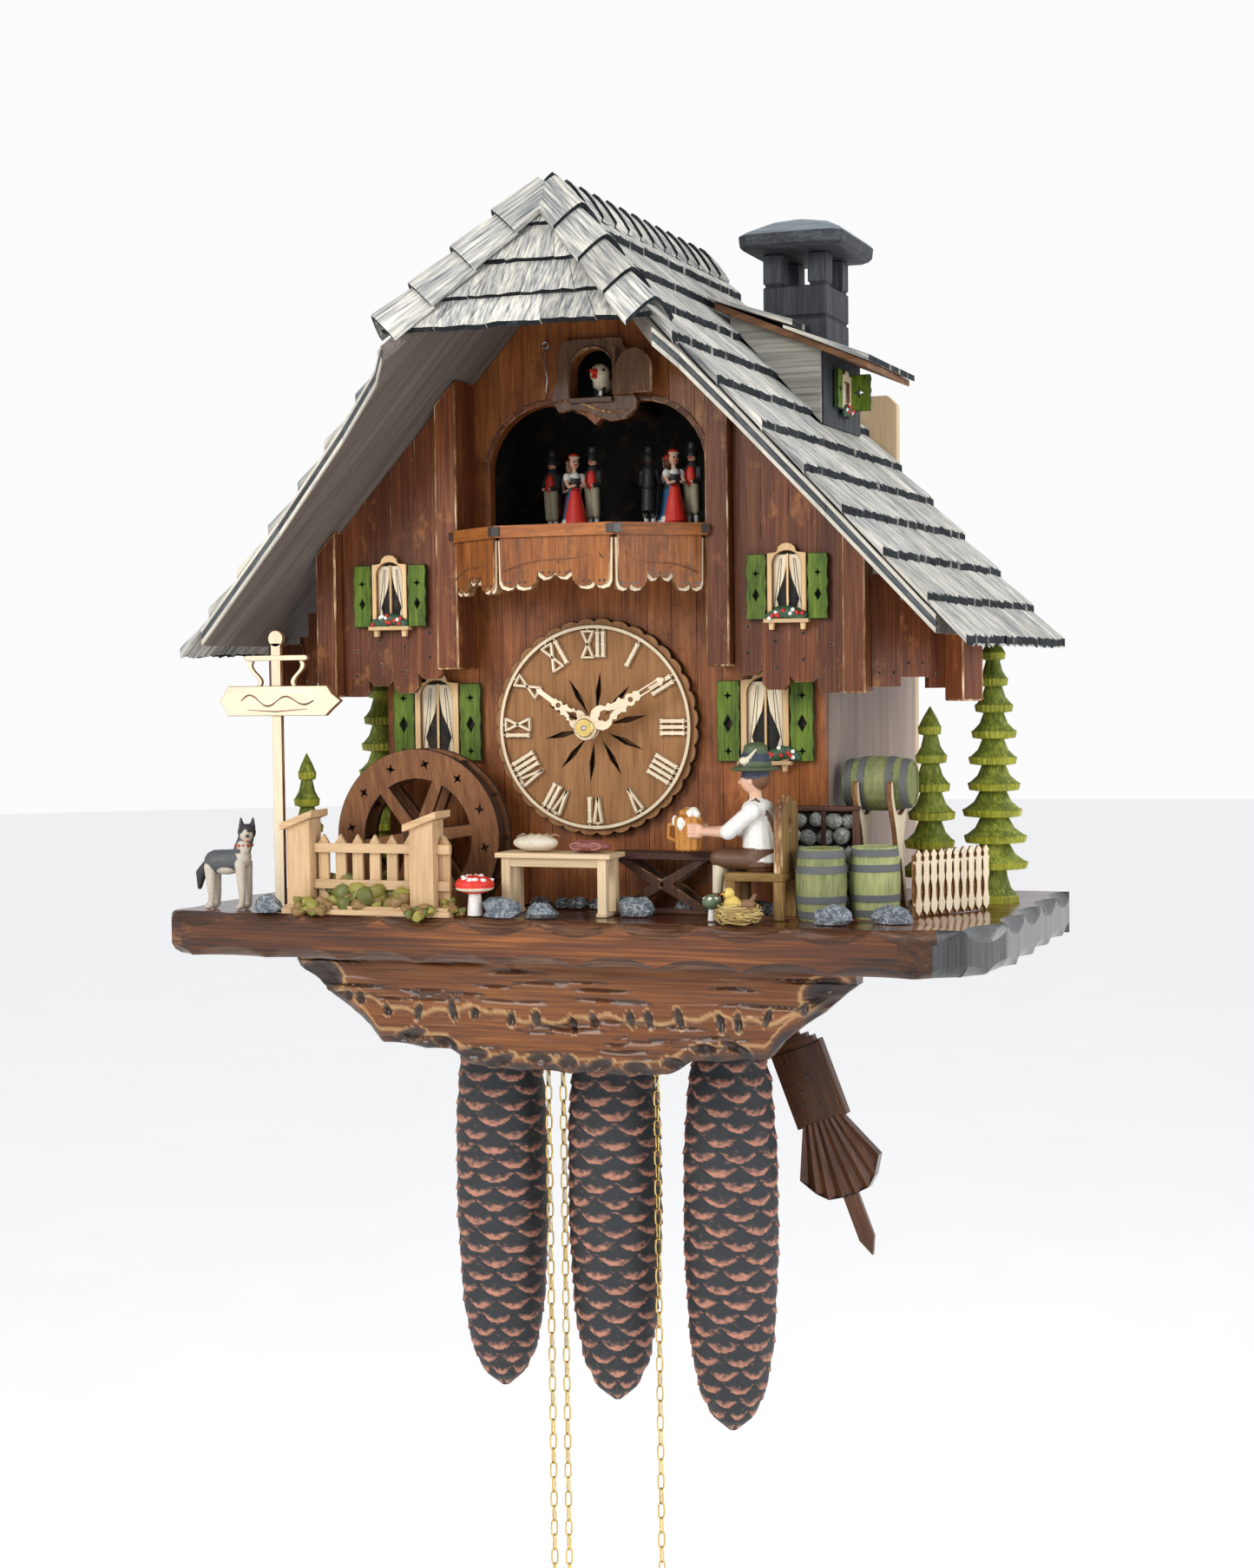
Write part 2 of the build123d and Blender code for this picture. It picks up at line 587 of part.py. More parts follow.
def make_barrels():
    barrels = []
    for x, y in ((138, -36), (163, -20)):
        lower = rod((x, y, 0), (x, y, 19), 11.8, 13.8)
        barrels.append(lower + rod((x, y, 19), (x, y, 38), 13.8, 11.8))
    cx, cy, cz, length, r = 155, 25, 69, 37, 15
    lying = rod((cx - length / 2, cy, cz), (cx, cy, cz), 12.5, r)
    lying += rod((cx, cy, cz), (cx + length / 2, cy, cz), r, 12.5)
    room = rod((cx - 40, cy, cz), (cx + 40, cy, cz), r + GAP)
    crossbar = block(cx - 8, cx + 8, cy - 2, cy + 2, 28, 33)
    cradle = [crossbar]
    for x in (cx - 11, cx + 8):
        first = None
        for side in (-1, 1):
            outline = [(cy - side * 12, 0), (cy - side * 16, 0), (cy + side * 13, 70), (cy + side * 17, 70)]
            leg = side_prism(outline, x, x + 3) - room
            first, leg = (leg, leg) if first is None else (first, leg - first)
            cradle += [s for s in leg.solids() if s.volume > 50]
    export("barrels", *barrels, lying, *cradle)


def make_ornaments():
    dog = block(-214, -190, -68, -57, 18, 34)
    for x in (-213, -194):
        for y in (-68, -61):
            dog += block(x, x + 4, y, y + 4, 0, 18)
    dog += block(-196, -182, -68, -56, 28, 52)
    dog += rod((-213, -62, 22), (-222, -62, 10), 3.0)
    toadstool = rod((-47, -68, 0), (-47, -68, 15), 4.0) + rod((-47, -68, 15), (-47, -68, 23), 11.0, 6.0)
    small = rod((86, -62, 0), (86, -62, 10), 2.0) + rod((86, -62, 10), (86, -62, 15), 5.0, 2.0)
    nest = rod((103, -69, 0), (103, -69, 9), 13.5) + rod((103, -69, 9), (103, -69, 21), 6.0, 3.0)
    bread = block(-33, -6, -54, -40, 34 + GAP, 44)
    ham = block(-1, 24, -53, -40, 34 + GAP, 42)
    export("garden_ornaments", dog, toadstool, small, nest, bread, ham)


# ---- movement -----------------------------------------------------------------------------------
PLATE_FRONT = (16.0, 18.0)
PLATE_BACK = (54.0, 56.0)
ARBOR_R = 1.5
WEIGHT_X = (-75.8, -5.2, 65.0)
FREE_X = (-37.5, -28.5, 28.3)
SPROCKET_X = (WEIGHT_X[0] + SPROCKET_R, WEIGHT_X[1] - SPROCKET_R, WEIGHT_X[2] - SPROCKET_R)
CENTRE = (0.0, DIAL_Z)
GREAT = (SPROCKET_X[1], SPROCKET_Z)
GREAT_TEETH, PINION_TEETH = 64, 8
CENTRE_TEETH, CENTRE_MODULE = 64, 0.75
THIRD_TEETH, THIRD_MODULE = 60, 0.65
ESCAPE_PINION, ESCAPE_TEETH = 7, 45
CANNON_TEETH, MINUTE_TEETH = 12, 36
MINUTE_PINION, HOUR_TEETH = 10, 40
MOTION_DISTANCE = 14.4


def clockwise(start, end):
    """Clockwise angle of the direction from one arbor to another."""
    return math.degrees(math.atan2(end[0] - start[0], end[1] - start[1])) % 360.0


def arbor_above(start, x, distance):
    """Arbor at the given x and distance, above another."""
    return (x, start[1] + math.sqrt(distance ** 2 - (x - start[0]) ** 2))


GREAT_MODULE = math.dist(GREAT, CENTRE) * 2 / (GREAT_TEETH + PINION_TEETH)
THIRD = arbor_above(CENTRE, 11.0, CENTRE_MODULE * (CENTRE_TEETH + PINION_TEETH) / 2)
ESCAPE_DISTANCE = THIRD_MODULE * (THIRD_TEETH + ESCAPE_PINION) / 2
ESCAPE = (0.0, THIRD[1] + math.sqrt(ESCAPE_DISTANCE ** 2 - THIRD[0] ** 2))
MINUTE = (0.0, DIAL_Z + MOTION_DISTANCE)
CANNON_MODULE = 2 * MOTION_DISTANCE / (CANNON_TEETH + MINUTE_TEETH)
HOUR_MODULE = 2 * MOTION_DISTANCE / (MINUTE_PINION + HOUR_TEETH)


def y_rod(centre, y0, y1, radius):
    return rod((centre[0], y0, centre[1]), (centre[0], y1, centre[1]), radius)


def y_tube(centre, y0, y1, outer, inner):
    return y_rod(centre, y0, y1, outer) - y_rod(centre, y0 - 1, y1 + 1, inner)


def make_movement_plates():
    arbors = [(x, SPROCKET_Z) for x in SPROCKET_X] + [CENTRE, THIRD, ESCAPE, (0.0, PIVOT_Z)]
    front = block(-95, 88, *PLATE_FRONT, 45, 172)
    back = block(-95, 88, *PLATE_BACK, 45, 172)
    for centre in arbors:
        front -= y_rod(centre, 10, 60, ARBOR_R + 0.05)
        back -= y_rod(centre, 10, 60, ARBOR_R + 0.05)
    solids = [front + y_rod(MINUTE, 8.2, PLATE_FRONT[0], 1.2), back]
    for x in (-88, 81):
        for z in (52, 165):
            solids.append(y_rod((x, z), PLATE_FRONT[1], PLATE_BACK[0], 3.0))
            solids.append(y_rod((x, z), PANEL_T, PLATE_FRONT[0], 4.0))
    export("movement_plates", *solids)


def make_chain_wheels():
    names = ("music_chain_wheel", "time_chain_wheel", "cuckoo_chain_wheel")
    for i, name in enumerate(names):
        centre = (SPROCKET_X[i], SPROCKET_Z)
        wheel = y_rod(centre, 15.5, 56.5, ARBOR_R)
        wheel += y_rod(centre, 26.0, 34.0, 11.5)
        wheel += y_rod(centre, 26.0, 27.2, 14.0) + y_rod(centre, 32.8, 34.0, 14.0)
        if i != 1:
            disc = y_rod(centre, 41.0, 43.0, 25.0)
            for cut in spoked(*centre, 41.0, 43.0, 21.0, 6.0, 5):
                disc -= cut
            wheel += disc
        export(name, wheel)


def make_time_train():
    great_phase = 0.0
    great = gear(*GREAT, 37, 39, GREAT_TEETH, GREAT_MODULE, ARBOR_R + 0.05, great_phase)
    for cut in spoked(*GREAT, 37, 39, 26.0, 7.0, 5):
        great -= cut
    export("great_wheel", great)

    toward = clockwise(GREAT, CENTRE)
    phase = mesh_phase(PINION_TEETH, toward, GREAT_TEETH, great_phase)
    arbor = y_rod(CENTRE, -24.0, 56.5, ARBOR_R)
    pinion = gear(*CENTRE, 36, 40, PINION_TEETH, GREAT_MODULE, ARBOR_R - 0.5, phase)
    wheel = gear(*CENTRE, 43.5, 45, CENTRE_TEETH, CENTRE_MODULE, ARBOR_R - 0.5, 0.0)
    for cut in spoked(*CENTRE, 43.5, 45, 20.0, 5.0, 5):
        wheel -= cut
    export("centre_wheel", arbor + pinion + wheel)

    toward = clockwise(CENTRE, THIRD)
    phase = mesh_phase(PINION_TEETH, toward, CENTRE_TEETH, 0.0)
    arbor = y_rod(THIRD, 15.5, 56.5, ARBOR_R)
    pinion = gear(*THIRD, 42.5, 46, PINION_TEETH, CENTRE_MODULE, ARBOR_R - 0.5, phase)
    wheel = gear(*THIRD, 48, 49.5, THIRD_TEETH, THIRD_MODULE, ARBOR_R - 0.5, 0.0)
    for cut in spoked(*THIRD, 48, 49.5, 16.0, 4.5, 5):
        wheel -= cut
    export("third_wheel", arbor + pinion + wheel)

    toward = clockwise(THIRD, ESCAPE)
    phase = mesh_phase(ESCAPE_PINION, toward, THIRD_TEETH, 0.0)
    arbor = y_rod(ESCAPE, 15.5, 56.5, 1.2)
    pinion = gear(*ESCAPE, 47, 50.4, ESCAPE_PINION, THIRD_MODULE, 0.8, phase)
    outline = []
    for i in range(ESCAPE_TEETH):
        step = 360.0 / ESCAPE_TEETH
        outline += [polar(*ESCAPE, 7.6, i * step), polar(*ESCAPE, 9.0, (i + 0.25) * step)]
    wheel = front_prism(outline, 51.2, 52.2)
    export("escape_wheel", arbor + pinion + wheel)


def make_motion_work():
    hour_angle, minute_angle = 305.0, 60.0
    cannon = y_tube(CENTRE, -21.5, 14.0, 2.4, ARBOR_R + 0.08)
    cannon += gear(*CENTRE, 12, 14, CANNON_TEETH, CANNON_MODULE, ARBOR_R + 0.08, 0.0)
    blade = ((54, 0), (34, 3.2), (6, 14), (6, -14), (34, -3.2))
    tip = [polar(*CENTRE, r, minute_angle + a) for r, a in blade]
    hand = front_prism(tip, -21.5, -20) + y_rod(CENTRE, -21.5, -20, 6.0)
    hand -= y_rod(CENTRE, -22, -19, 2.0)
    export("minute_hand", hand + cannon)

    phase = mesh_phase(MINUTE_TEETH, clockwise(CENTRE, MINUTE), CANNON_TEETH, 0.0)
    minute = gear(*MINUTE, 12, 14, MINUTE_TEETH, CANNON_MODULE, 1.26, phase)
    minute += gear(*MINUTE, 8.8, 12, MINUTE_PINION, HOUR_MODULE, 1.26, 0.0)
    export("minute_wheel", minute)

    phase = mesh_phase(HOUR_TEETH, clockwise(MINUTE, CENTRE), MINUTE_PINION, 0.0)
    pipe = y_tube(CENTRE, -16.5, 11.0, 3.4, 2.48)
    wheel = gear(*CENTRE, 9.2, 10.8, HOUR_TEETH, HOUR_MODULE, 3.0, phase)
    tip = [polar(*CENTRE, r, hour_angle + a) for r, a in ((38, 0), (24, 6), (6, 18), (6, -18), (24, -6))]
    hand = front_prism(tip, -16.5, -15) + y_rod(CENTRE, -16.5, -15, 6.5)
    hand -= y_rod(CENTRE, -17, -14, 3.0)
    export("hour_hand", hand + pipe + wheel)


def make_pendulum():
    length = 388.0
    arbor = y_rod((0.0, PIVOT_Z), 15.5, PENDULUM_Y + 2, ARBOR_R)
    pallets = ((-5.5, -3.5), (-3.5, 2), (3.5, 2), (5.5, -3.5), (2, -1), (-2, -1))
    anchor = front_prism([(x, PIVOT_Z + z) for x, z in pallets], 51, 52.5)
    y = PENDULUM_Y
    stick = block(-4.5, 4.5, y - 2, y + 2, PIVOT_Z - length + 10, PIVOT_Z + 4)
    foot = PIVOT_Z - length
    tip = front_prism([(-4.5, foot + 10), (4.5, foot + 10), (0, foot)], y - 2, y + 2)
    house = block(-16, 16, y - 5, y + 5, PIVOT_Z - 307, PIVOT_Z - 256)
    fan = front_prism([(-12, PIVOT_Z - 308), (12, PIVOT_Z - 308), (25, PIVOT_Z - 335), (13, PIVOT_Z - 352),
                       (-13, PIVOT_Z - 352), (-25, PIVOT_Z - 335)], y - 4, y + 4)
    bob = stick + tip + house + fan
    swung = (bob + anchor).rotate(Axis((0, y, PIVOT_Z), (0, 1, 0)), -PENDULUM_SWING)
    export("pendulum", swung + arbor)


# ---- weights and chains -------------------------------------------------------------------------
CONE_TOP_Z = (-58.0, -60.0, -71.0)
CONE_LENGTH = 229.0
CONE_R = 27.8
VIEW_END_Z = -500.0       # lower end of the straight stretch of a free chain
HANK_TOP_Z = -522.0
HANK_SIZE = (24.0, 30.0, 92.0)
HANK_SHIFT = (-9.0, 9.0, 0.0)


def make_weights():
    names = ("weight_left", "weight_middle", "weight_right")
    shares = ((0, 0.0), (0, 0.45), (0.06, 0.75), (0.3, 0.97), (0.55, 1.0), (0.8, 0.86), (0.93, 0.58),
              (1.0, 0.2), (1.0, 0.0))
    for name, x, top in zip(names, WEIGHT_X, CONE_TOP_Z):
        profile = [Vector(CONE_R * r, 0, top - CONE_LENGTH * t) for t, r in shares]
        face = Face(Wire.make_polygon(profile))
        cone = Solid.revolve(face, 360, Axis.Z).moved(Location((x, CHAIN_Y, 0)))
        chain = rod((x, CHAIN_Y, top - 2), (x, CHAIN_Y, SPROCKET_Z + TRAVEL), CHAIN_D / 2)
        export(name, cone + chain)


def make_free_chains():
    names = ("free_chain_left", "free_chain_middle", "free_chain_right")
    hanks = ("chain_hank_left", "chain_hank_middle", "chain_hank_right")
    width, depth, height = HANK_SIZE
    for name, hank, x, shift in zip(names, hanks, FREE_X, HANK_SHIFT):
        if shift:
            points = [(x, FREE_Y, 5), (x, FREE_Y, VIEW_END_Z), (x + shift, FREE_Y, HANK_TOP_Z)]
            short_run = math.hypot(shift, HANK_TOP_Z - VIEW_END_Z)
            half_turn = math.atan2(abs(shift), VIEW_END_Z - HANK_TOP_Z) / 2
            bend_r = 0.45 * short_run / math.tan(half_turn)
            path = FilletPolyline(*points, radius=bend_r)
            start = Plane(origin=points[0], z_dir=(0, 0, -1))
            tube = sweep(start * Circle(CHAIN_D / 2), path=path)
            length = path.length
            print(name, "bend radius", round(bend_r, 1), "length", round(length, 1), "volume ratio",
                  round(tube.volume / (math.pi * (CHAIN_D / 2) ** 2 * length), 4))
        else:
            tube = rod((x, FREE_Y, 5), (x, FREE_Y, HANK_TOP_Z), CHAIN_D / 2)
        cx = x + shift
        bundle = block(cx - width / 2, cx + width / 2, FREE_Y - depth / 2, FREE_Y + depth / 2,
                       HANK_TOP_Z - height, HANK_TOP_Z - 1.5)
        export(name, tube)
        export(hank, bundle)


# ---- dancers, cuckoo, bellows, gong and music ---------------------------------------------------
TURNTABLE_X = 30.0
TURNTABLE_Y = 40.0
TURNTABLE_TEETH = 60
SHELF_Z = 190.0


def flat_gear(cx, cy, z0, z1, teeth, module, phase):
    outline = []
    pitch_r = teeth * module / 2
    for i in range(teeth):
        for radius, share in ((-1.25, -0.27), (0.8, -0.11), (0.8, 0.11), (-1.25, 0.27)):
            angle = math.radians((i + phase + share) * 360.0 / teeth)
            r = pitch_r + radius * module
            outline.append((cx + r * math.cos(angle), cy + r * math.sin(angle)))
    return plan_prism(outline, z0, z1)


def dancer(x, y, height, skirt):
    body = rod((x, y, DECK_Z), (x, y, DECK_Z + height * 0.62), 7.5 if skirt else 4.5, 3.0)
    body += rod((x, y, DECK_Z + height * 0.55), (x, y, DECK_Z + height * 0.86), 3.4)
    return body + ball(x, y, DECK_Z + height * 0.88, height * 0.1)


DANCER_ANGLES, DANCER_SPREAD = (-65.0, 115.0), 40.0


def make_turntables():
    for name, side, phase in (("turntable_left", -1, 0.0), ("turntable_right", 1, 0.5)):
        cx, cy = side * TURNTABLE_X, TURNTABLE_Y
        table_top = flat_gear(cx, cy, 203, 207, TURNTABLE_TEETH, 1.0, phase)
        table_top += rod((cx, cy, 207), (cx, cy, DECK_Z), 27.0)
        table_top += rod((cx, cy, SHELF_Z - 4), (cx, cy, 203), 2.5)
        for angle in DANCER_ANGLES:
            a, b = math.radians(angle), math.radians(angle + DANCER_SPREAD)
            r = 17.0
            table_top += dancer(cx + r * math.cos(a), cy + r * math.sin(a), 47, True)
            table_top += dancer(cx + r * math.cos(b), cy + r * math.sin(b), 51, False)
        export(name, table_top)


def make_music_box():
    half = CASE_HALF - WALL_T - GAP
    shelf = block(-half, half, PANEL_T + GAP, 118, SHELF_Z, SHELF_Z + 6)
    for side in (-1, 1):
        shelf -= rod((side * TURNTABLE_X, TURNTABLE_Y, 180), (side * TURNTABLE_X, TURNTABLE_Y, 200), 2.55)
    shelf += block(-50, 50, 84, 116, SHELF_Z + 6, SHELF_Z + 9)
    for x in (-38, 34):
        shelf += block(x, x + 4, 90, 106, SHELF_Z + 9, SHELF_Z + 30)
    shelf += rod((-38, 98, SHELF_Z + 21), (38, 98, SHELF_Z + 21), 8.0)
    shelf += block(-30, 30, 107, 116, SHELF_Z + 9, SHELF_Z + 24)
    export("music_box", shelf)


def make_cuckoo():
    bird = ball(2.5, 1.5, 297, 6.5) + rod((2.5, 1.5, 295), (2.5, 9, 292), 5.5, 3.5)
    bird += rod((2.5, -4, 298), (2.5, -9, 297), 2.0, 0.6)
    bird += rod((0, 3, 286), (0, 90, 286), 1.5) + block(-1, 4, 1, 4, 285, 292)
    export("cuckoo_bird", bird)
    hinge_x, hinge_y = 14.5, -8.0
    door = block(-25.5, -0.8, -1.2, 1.2, CUCKOO_FOOT + 0.5, CUCKOO_Z + CUCKOO_R - 1)
    door += rod((0, 0, CUCKOO_FOOT + 0.5), (0, 0, CUCKOO_Z + CUCKOO_R - 1), 1.2)
    door += block(-1.2, 0, -1.2, 1.2, CUCKOO_FOOT + 0.5, CUCKOO_Z + CUCKOO_R - 1)
    export("cuckoo_door", door.rotate(Axis.Z, 165).moved(Location((hinge_x, hinge_y, 0))))


def make_bellows():
    boxes = []
    for name, side in (("bellows_lid_left", -1), ("bellows_lid_right", 1)):
        x0, x1 = sorted((side * 88.0, side * (CASE_HALF - WALL_T - GAP)))
        box = block(x0, x1, 120, 180, 110, 165)
        box -= block(x0 + 4, x1 - 4, 124, 176, 114, 166)
        box -= block(x0 + 12, x1 - 12, 118, 126, 140, 150)
        boxes.append(box)
        lid = block(x0, x1, 120, 178, 166, 169)
        lid += block(x0 + 6, x1 - 6, 112, 120, 166, 168)
        lid += rod((x0 + 2, 178, 166), (x1 - 2, 178, 166), 0.9)
        export(name, lid)
    export("bellows_boxes", *boxes)


def make_gong_and_hammer():
    block_part = block(-12, 12, 185, BACK_Y, 10, 22)
    gong = Pos(0, 190, 62) * Rot(90, 0, 0) * (Torus(36, 1.4) + Torus(26, 1.4))
    gong += rod((0, 190, 22), (0, 190, 40), 1.6) + block_part
    export("gong", gong)
    arbor = y_rod((75, 140), 180, 204, 2.5)
    arm = front_prism([(73.5, 140), (76.5, 140), (48.5, 84), (45.5, 84)], 190.5, 193.5)
    head = y_rod((46, 85), 187, 197, 5.0)
    export("strike_hammer", arbor + arm + head)


def make_water_wheel():
    centre = WATER_WHEEL
    wheel = None
    for y0 in (-34.0, -19.0):
        disc = y_rod(centre, y0, y0 + 3, WATER_WHEEL_R)
        for cut in spoked(*centre, y0, y0 + 3, 34.0, 9.0, 6):
            disc -= cut
        wheel = disc if wheel is None else wheel + disc
    for i in range(12):
        a = polar(*centre, 38, i * 30 + 15)
        b = polar(*centre, 49, i * 30 + 21)
        c = polar(*centre, 49, i * 30 + 23.5)
        d = polar(*centre, 38, i * 30 + 17.5)
        wheel += front_prism([a, b, c, d], -31, -19)
    wheel += y_rod(centre, -36, 12, 2.0) + y_rod(centre, -34, -16, 9.0)
    export("water_wheel", wheel)


make_front_panel()
make_case_walls()
make_back()
make_base()
make_main_roof()
make_dormer()
make_chimney()
make_facade()
make_cuckoo_house()
make_balcony()
make_dial()
make_windows()
make_fences_and_sign()
make_trees()
make_stones()
make_furniture()
make_drinker()
make_barrels()
make_ornaments()
make_movement_plates()
make_chain_wheels()
make_time_train()
make_motion_work()
make_pendulum()
make_weights()
make_free_chains()
make_turntables()
make_music_box()
make_cuckoo()
make_bellows()
make_gong_and_hammer()
make_water_wheel()
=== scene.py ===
import math
import random

import bmesh
import bpy
import numpy as np
from mathutils import Matrix, Vector


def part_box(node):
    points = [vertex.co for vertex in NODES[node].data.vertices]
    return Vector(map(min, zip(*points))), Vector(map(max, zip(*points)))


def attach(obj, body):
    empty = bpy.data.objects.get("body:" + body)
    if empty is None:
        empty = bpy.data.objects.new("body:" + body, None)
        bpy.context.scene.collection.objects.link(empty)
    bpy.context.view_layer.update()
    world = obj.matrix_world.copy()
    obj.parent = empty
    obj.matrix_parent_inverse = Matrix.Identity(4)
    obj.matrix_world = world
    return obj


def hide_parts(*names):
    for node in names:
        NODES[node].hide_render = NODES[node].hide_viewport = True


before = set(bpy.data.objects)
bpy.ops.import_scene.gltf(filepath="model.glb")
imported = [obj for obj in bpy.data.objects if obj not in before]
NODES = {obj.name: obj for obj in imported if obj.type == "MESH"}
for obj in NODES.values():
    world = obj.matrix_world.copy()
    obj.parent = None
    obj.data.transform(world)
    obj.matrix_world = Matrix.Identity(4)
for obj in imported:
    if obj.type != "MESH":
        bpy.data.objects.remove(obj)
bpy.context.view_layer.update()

# Shapes are worked out in millimetres from a datum: the middle of the front wall's face, on top of
# the base board.
MM = 0.001
DATUM = np.array([0.0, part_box("front_panel")[0].y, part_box("base_plate")[1].z])
draw = random.Random(7)


def link(thing):
    bpy.context.scene.collection.objects.link(thing)


def turned(step, count):
    """Angle of one of the equal steps of a full turn."""
    return 2 * math.pi * step / count


def metres(points):
    return np.asarray(points, float).reshape(-1, 3) * MM + DATUM


def point(x, y, z):
    return Vector(metres((x, y, z))[0])


# ---- camera -------------------------------------------------------------------------------------
VIEW_YAW, VIEW_PITCH, VIEW_ROLL = 20.5, -2.69, -0.68
VIEW_LENS = 68.0


def make_camera():
    yaw, pitch, roll = (math.radians(a) for a in (VIEW_YAW, VIEW_PITCH, VIEW_ROLL))
    forward = Vector((-math.sin(yaw) * math.cos(pitch), math.cos(yaw) * math.cos(pitch), math.sin(pitch)))
    right = Vector((math.cos(yaw), math.sin(yaw), 0))
    up = right.cross(forward)
    across = right * math.cos(roll) + up * math.sin(roll)
    upright = up * math.cos(roll) - right * math.sin(roll)
    data = bpy.data.cameras.new("view")
    data.sensor_fit = "HORIZONTAL"
    data.sensor_width = 36.0
    data.lens = VIEW_LENS
    data.clip_start = 0.05
    data.clip_end = 50.0
    camera = bpy.data.objects.new("view", data)
    camera.matrix_world = Matrix((
        (across.x, upright.x, -forward.x, 0), (across.y, upright.y, -forward.y, 0),
        (across.z, upright.z, -forward.z, 0), (0, 0, 0, 1)))
    camera.location = point(478.3, -1235.9, 131.1)
    link(camera)
    bpy.context.scene.camera = camera


make_camera()


# ---- shapes -------------------------------------------------------------------------------------
class Place:
    """A local frame: u to the right, v upwards and w towards the viewer, from an origin in millimetres."""

    def __init__(self, origin=(0, 0, 0), turn=0.0, roll=0.0, tip=0.0):
        a, b, c = math.radians(turn), math.radians(roll), math.radians(tip)
        u = Vector((math.cos(a), math.sin(a), 0))
        w = Vector((math.sin(a), -math.cos(a), 0))
        v = Vector((0, 0, 1))
        v, w = v * math.cos(c) - w * math.sin(c), w * math.cos(c) + v * math.sin(c)
        u, v = u * math.cos(b) + v * math.sin(b), v * math.cos(b) - u * math.sin(b)
        self.origin = np.array(origin, float)
        self.axes = np.array([u, v, w])

    def apply(self, points):
        return np.asarray(points, float).reshape(-1, 3) @ self.axes + self.origin


class Plain:
    """The datum's own axes."""

    @staticmethod
    def apply(points):
        return np.asarray(points, float).reshape(-1, 3)


FACADE = Place()

# Which way a board's grain runs, in its own axes: along the fibres, then across them.
LEVEL = {"along": (1, 0, 0), "across": (0, 1, 0)}
UPRIGHT = {"along": (0, 0, 1), "across": (1, 0, 0)}
DEEP = {"along": (0, 1, 0), "across": (1, 0, 0)}


class Shape:
    """Closed shells in millimetres, with a material number, grain coordinates, a tone and a paint colour."""

    def __init__(self):
        self.verts, self.faces, self.mats, self.grain, self.tone, self.paint = [], [], [], [], [], []
        self.count = 0

    def add(self, shell, place=FACADE, mat=0, along=(0, 1, 0), across=(1, 0, 0), tone=None,
            paint=(1, 1, 1)):
        verts, faces, *rest = shell
        verts = np.asarray(verts, float).reshape(-1, 3)
        basis = np.array([along, across, np.cross(along, across)])
        shift = np.array([draw.uniform(0, 500) for _ in range(3)])
        self.verts.append(place.apply(verts))
        self.grain.append(verts @ basis.T + shift)
        self.tone.append(np.full(len(verts), draw.uniform(-1, 1) if tone is None else tone))
        self.paint.append(np.tile(np.array([*paint, 1.0]), (len(verts), 1)))
        self.faces += [tuple(i + self.count for i in face) for face in faces]
        self.mats += list(rest[0]) if rest else [mat] * len(faces)
        self.count += len(verts)
        return self


def loft(rings, caps=True, closed=True):
    """Skin over rings that hold the same number of points."""
    size = len(rings[0])
    verts = [tuple(p) for ring in rings for p in ring]
    faces = []
    for i in range(len(rings) - 1):
        for j in range(size if closed else size - 1):
            k = (j + 1) % size
            faces.append((i * size + j, i * size + k, (i + 1) * size + k, (i + 1) * size + j))
    if caps:
        faces.append(tuple(range(size))[::-1])
        faces.append(tuple(range((len(rings) - 1) * size, len(rings) * size)))
    return verts, faces


def prism(points, w0, w1):
    return loft([[(u, v, w0) for u, v in points], [(u, v, w1) for u, v in points]])


def slab(u0, u1, v0, v1, w0, w1):
    return prism([(u0, v0), (u1, v0), (u1, v1), (u0, v1)], w0, w1)


def circle(cx, cy, r, count=24, start=0.0):
    step = 2 * math.pi / count
    return [(cx + r * math.cos(start + i * step), cy + r * math.sin(start + i * step))
            for i in range(count)]


def star(cx, cy, outer, inner, points=4, start=math.pi / 2):
    step = math.pi / points
    radii = (outer, inner)
    return [(cx + radii[i % 2] * math.cos(start + i * step), cy + radii[i % 2] * math.sin(start + i * step))
            for i in range(points * 2)]


def diamond(cx, cy, half_u, half_v):
    return [(cx - half_u, cy), (cx, cy - half_v), (cx + half_u, cy), (cx, cy + half_v)]


def frame_of(direction):
    """Two unit vectors square to a direction."""
    d = np.asarray(direction, float)
    d = d / np.linalg.norm(d)
    side = np.cross(d, (0, 0, 1)) if abs(d[2]) < 0.9 else np.cross(d, (1, 0, 0))
    side = side / np.linalg.norm(side)
    return d, side, np.cross(side, d)


def tube(path, radius, sides=8, caps=True):
    """Round bar along a list of points.  The radius is a number or one for each point."""
    path = [np.asarray(p, float) for p in path]
    radii = radius if hasattr(radius, "__len__") else [radius] * len(path)
    rings = []
    _, side, other = frame_of(path[1] - path[0])
    for i, p in enumerate(path):
        ahead = path[min(i + 1, len(path) - 1)] - path[max(i - 1, 0)]
        d = ahead / np.linalg.norm(ahead)
        side = side - d * np.dot(side, d)
        side /= np.linalg.norm(side)
        other = np.cross(side, d)
        ring = []
        for j in range(sides):
            a = turned(j, sides)
            ring.append(p + (side * math.cos(a) + other * math.sin(a)) * radii[i])
        rings.append(ring)
    return loft(rings, caps)


def lathe(profile, base, axis, sides=24, wave=None):
    """Turned body: profile is (distance along the axis, radius).  wave changes the radius with the angle."""
    d, side, other = frame_of(axis)
    base = np.asarray(base, float)
    rings = []
    for i, (along, radius) in enumerate(profile):
        ring = []
        for j in range(sides):
            a = turned(j, sides)
            r = radius * (wave(a, i) if wave else 1.0)
            ring.append(base + d * along + (side * math.cos(a) + other * math.sin(a)) * r)
        rings.append(ring)
    return loft(rings)


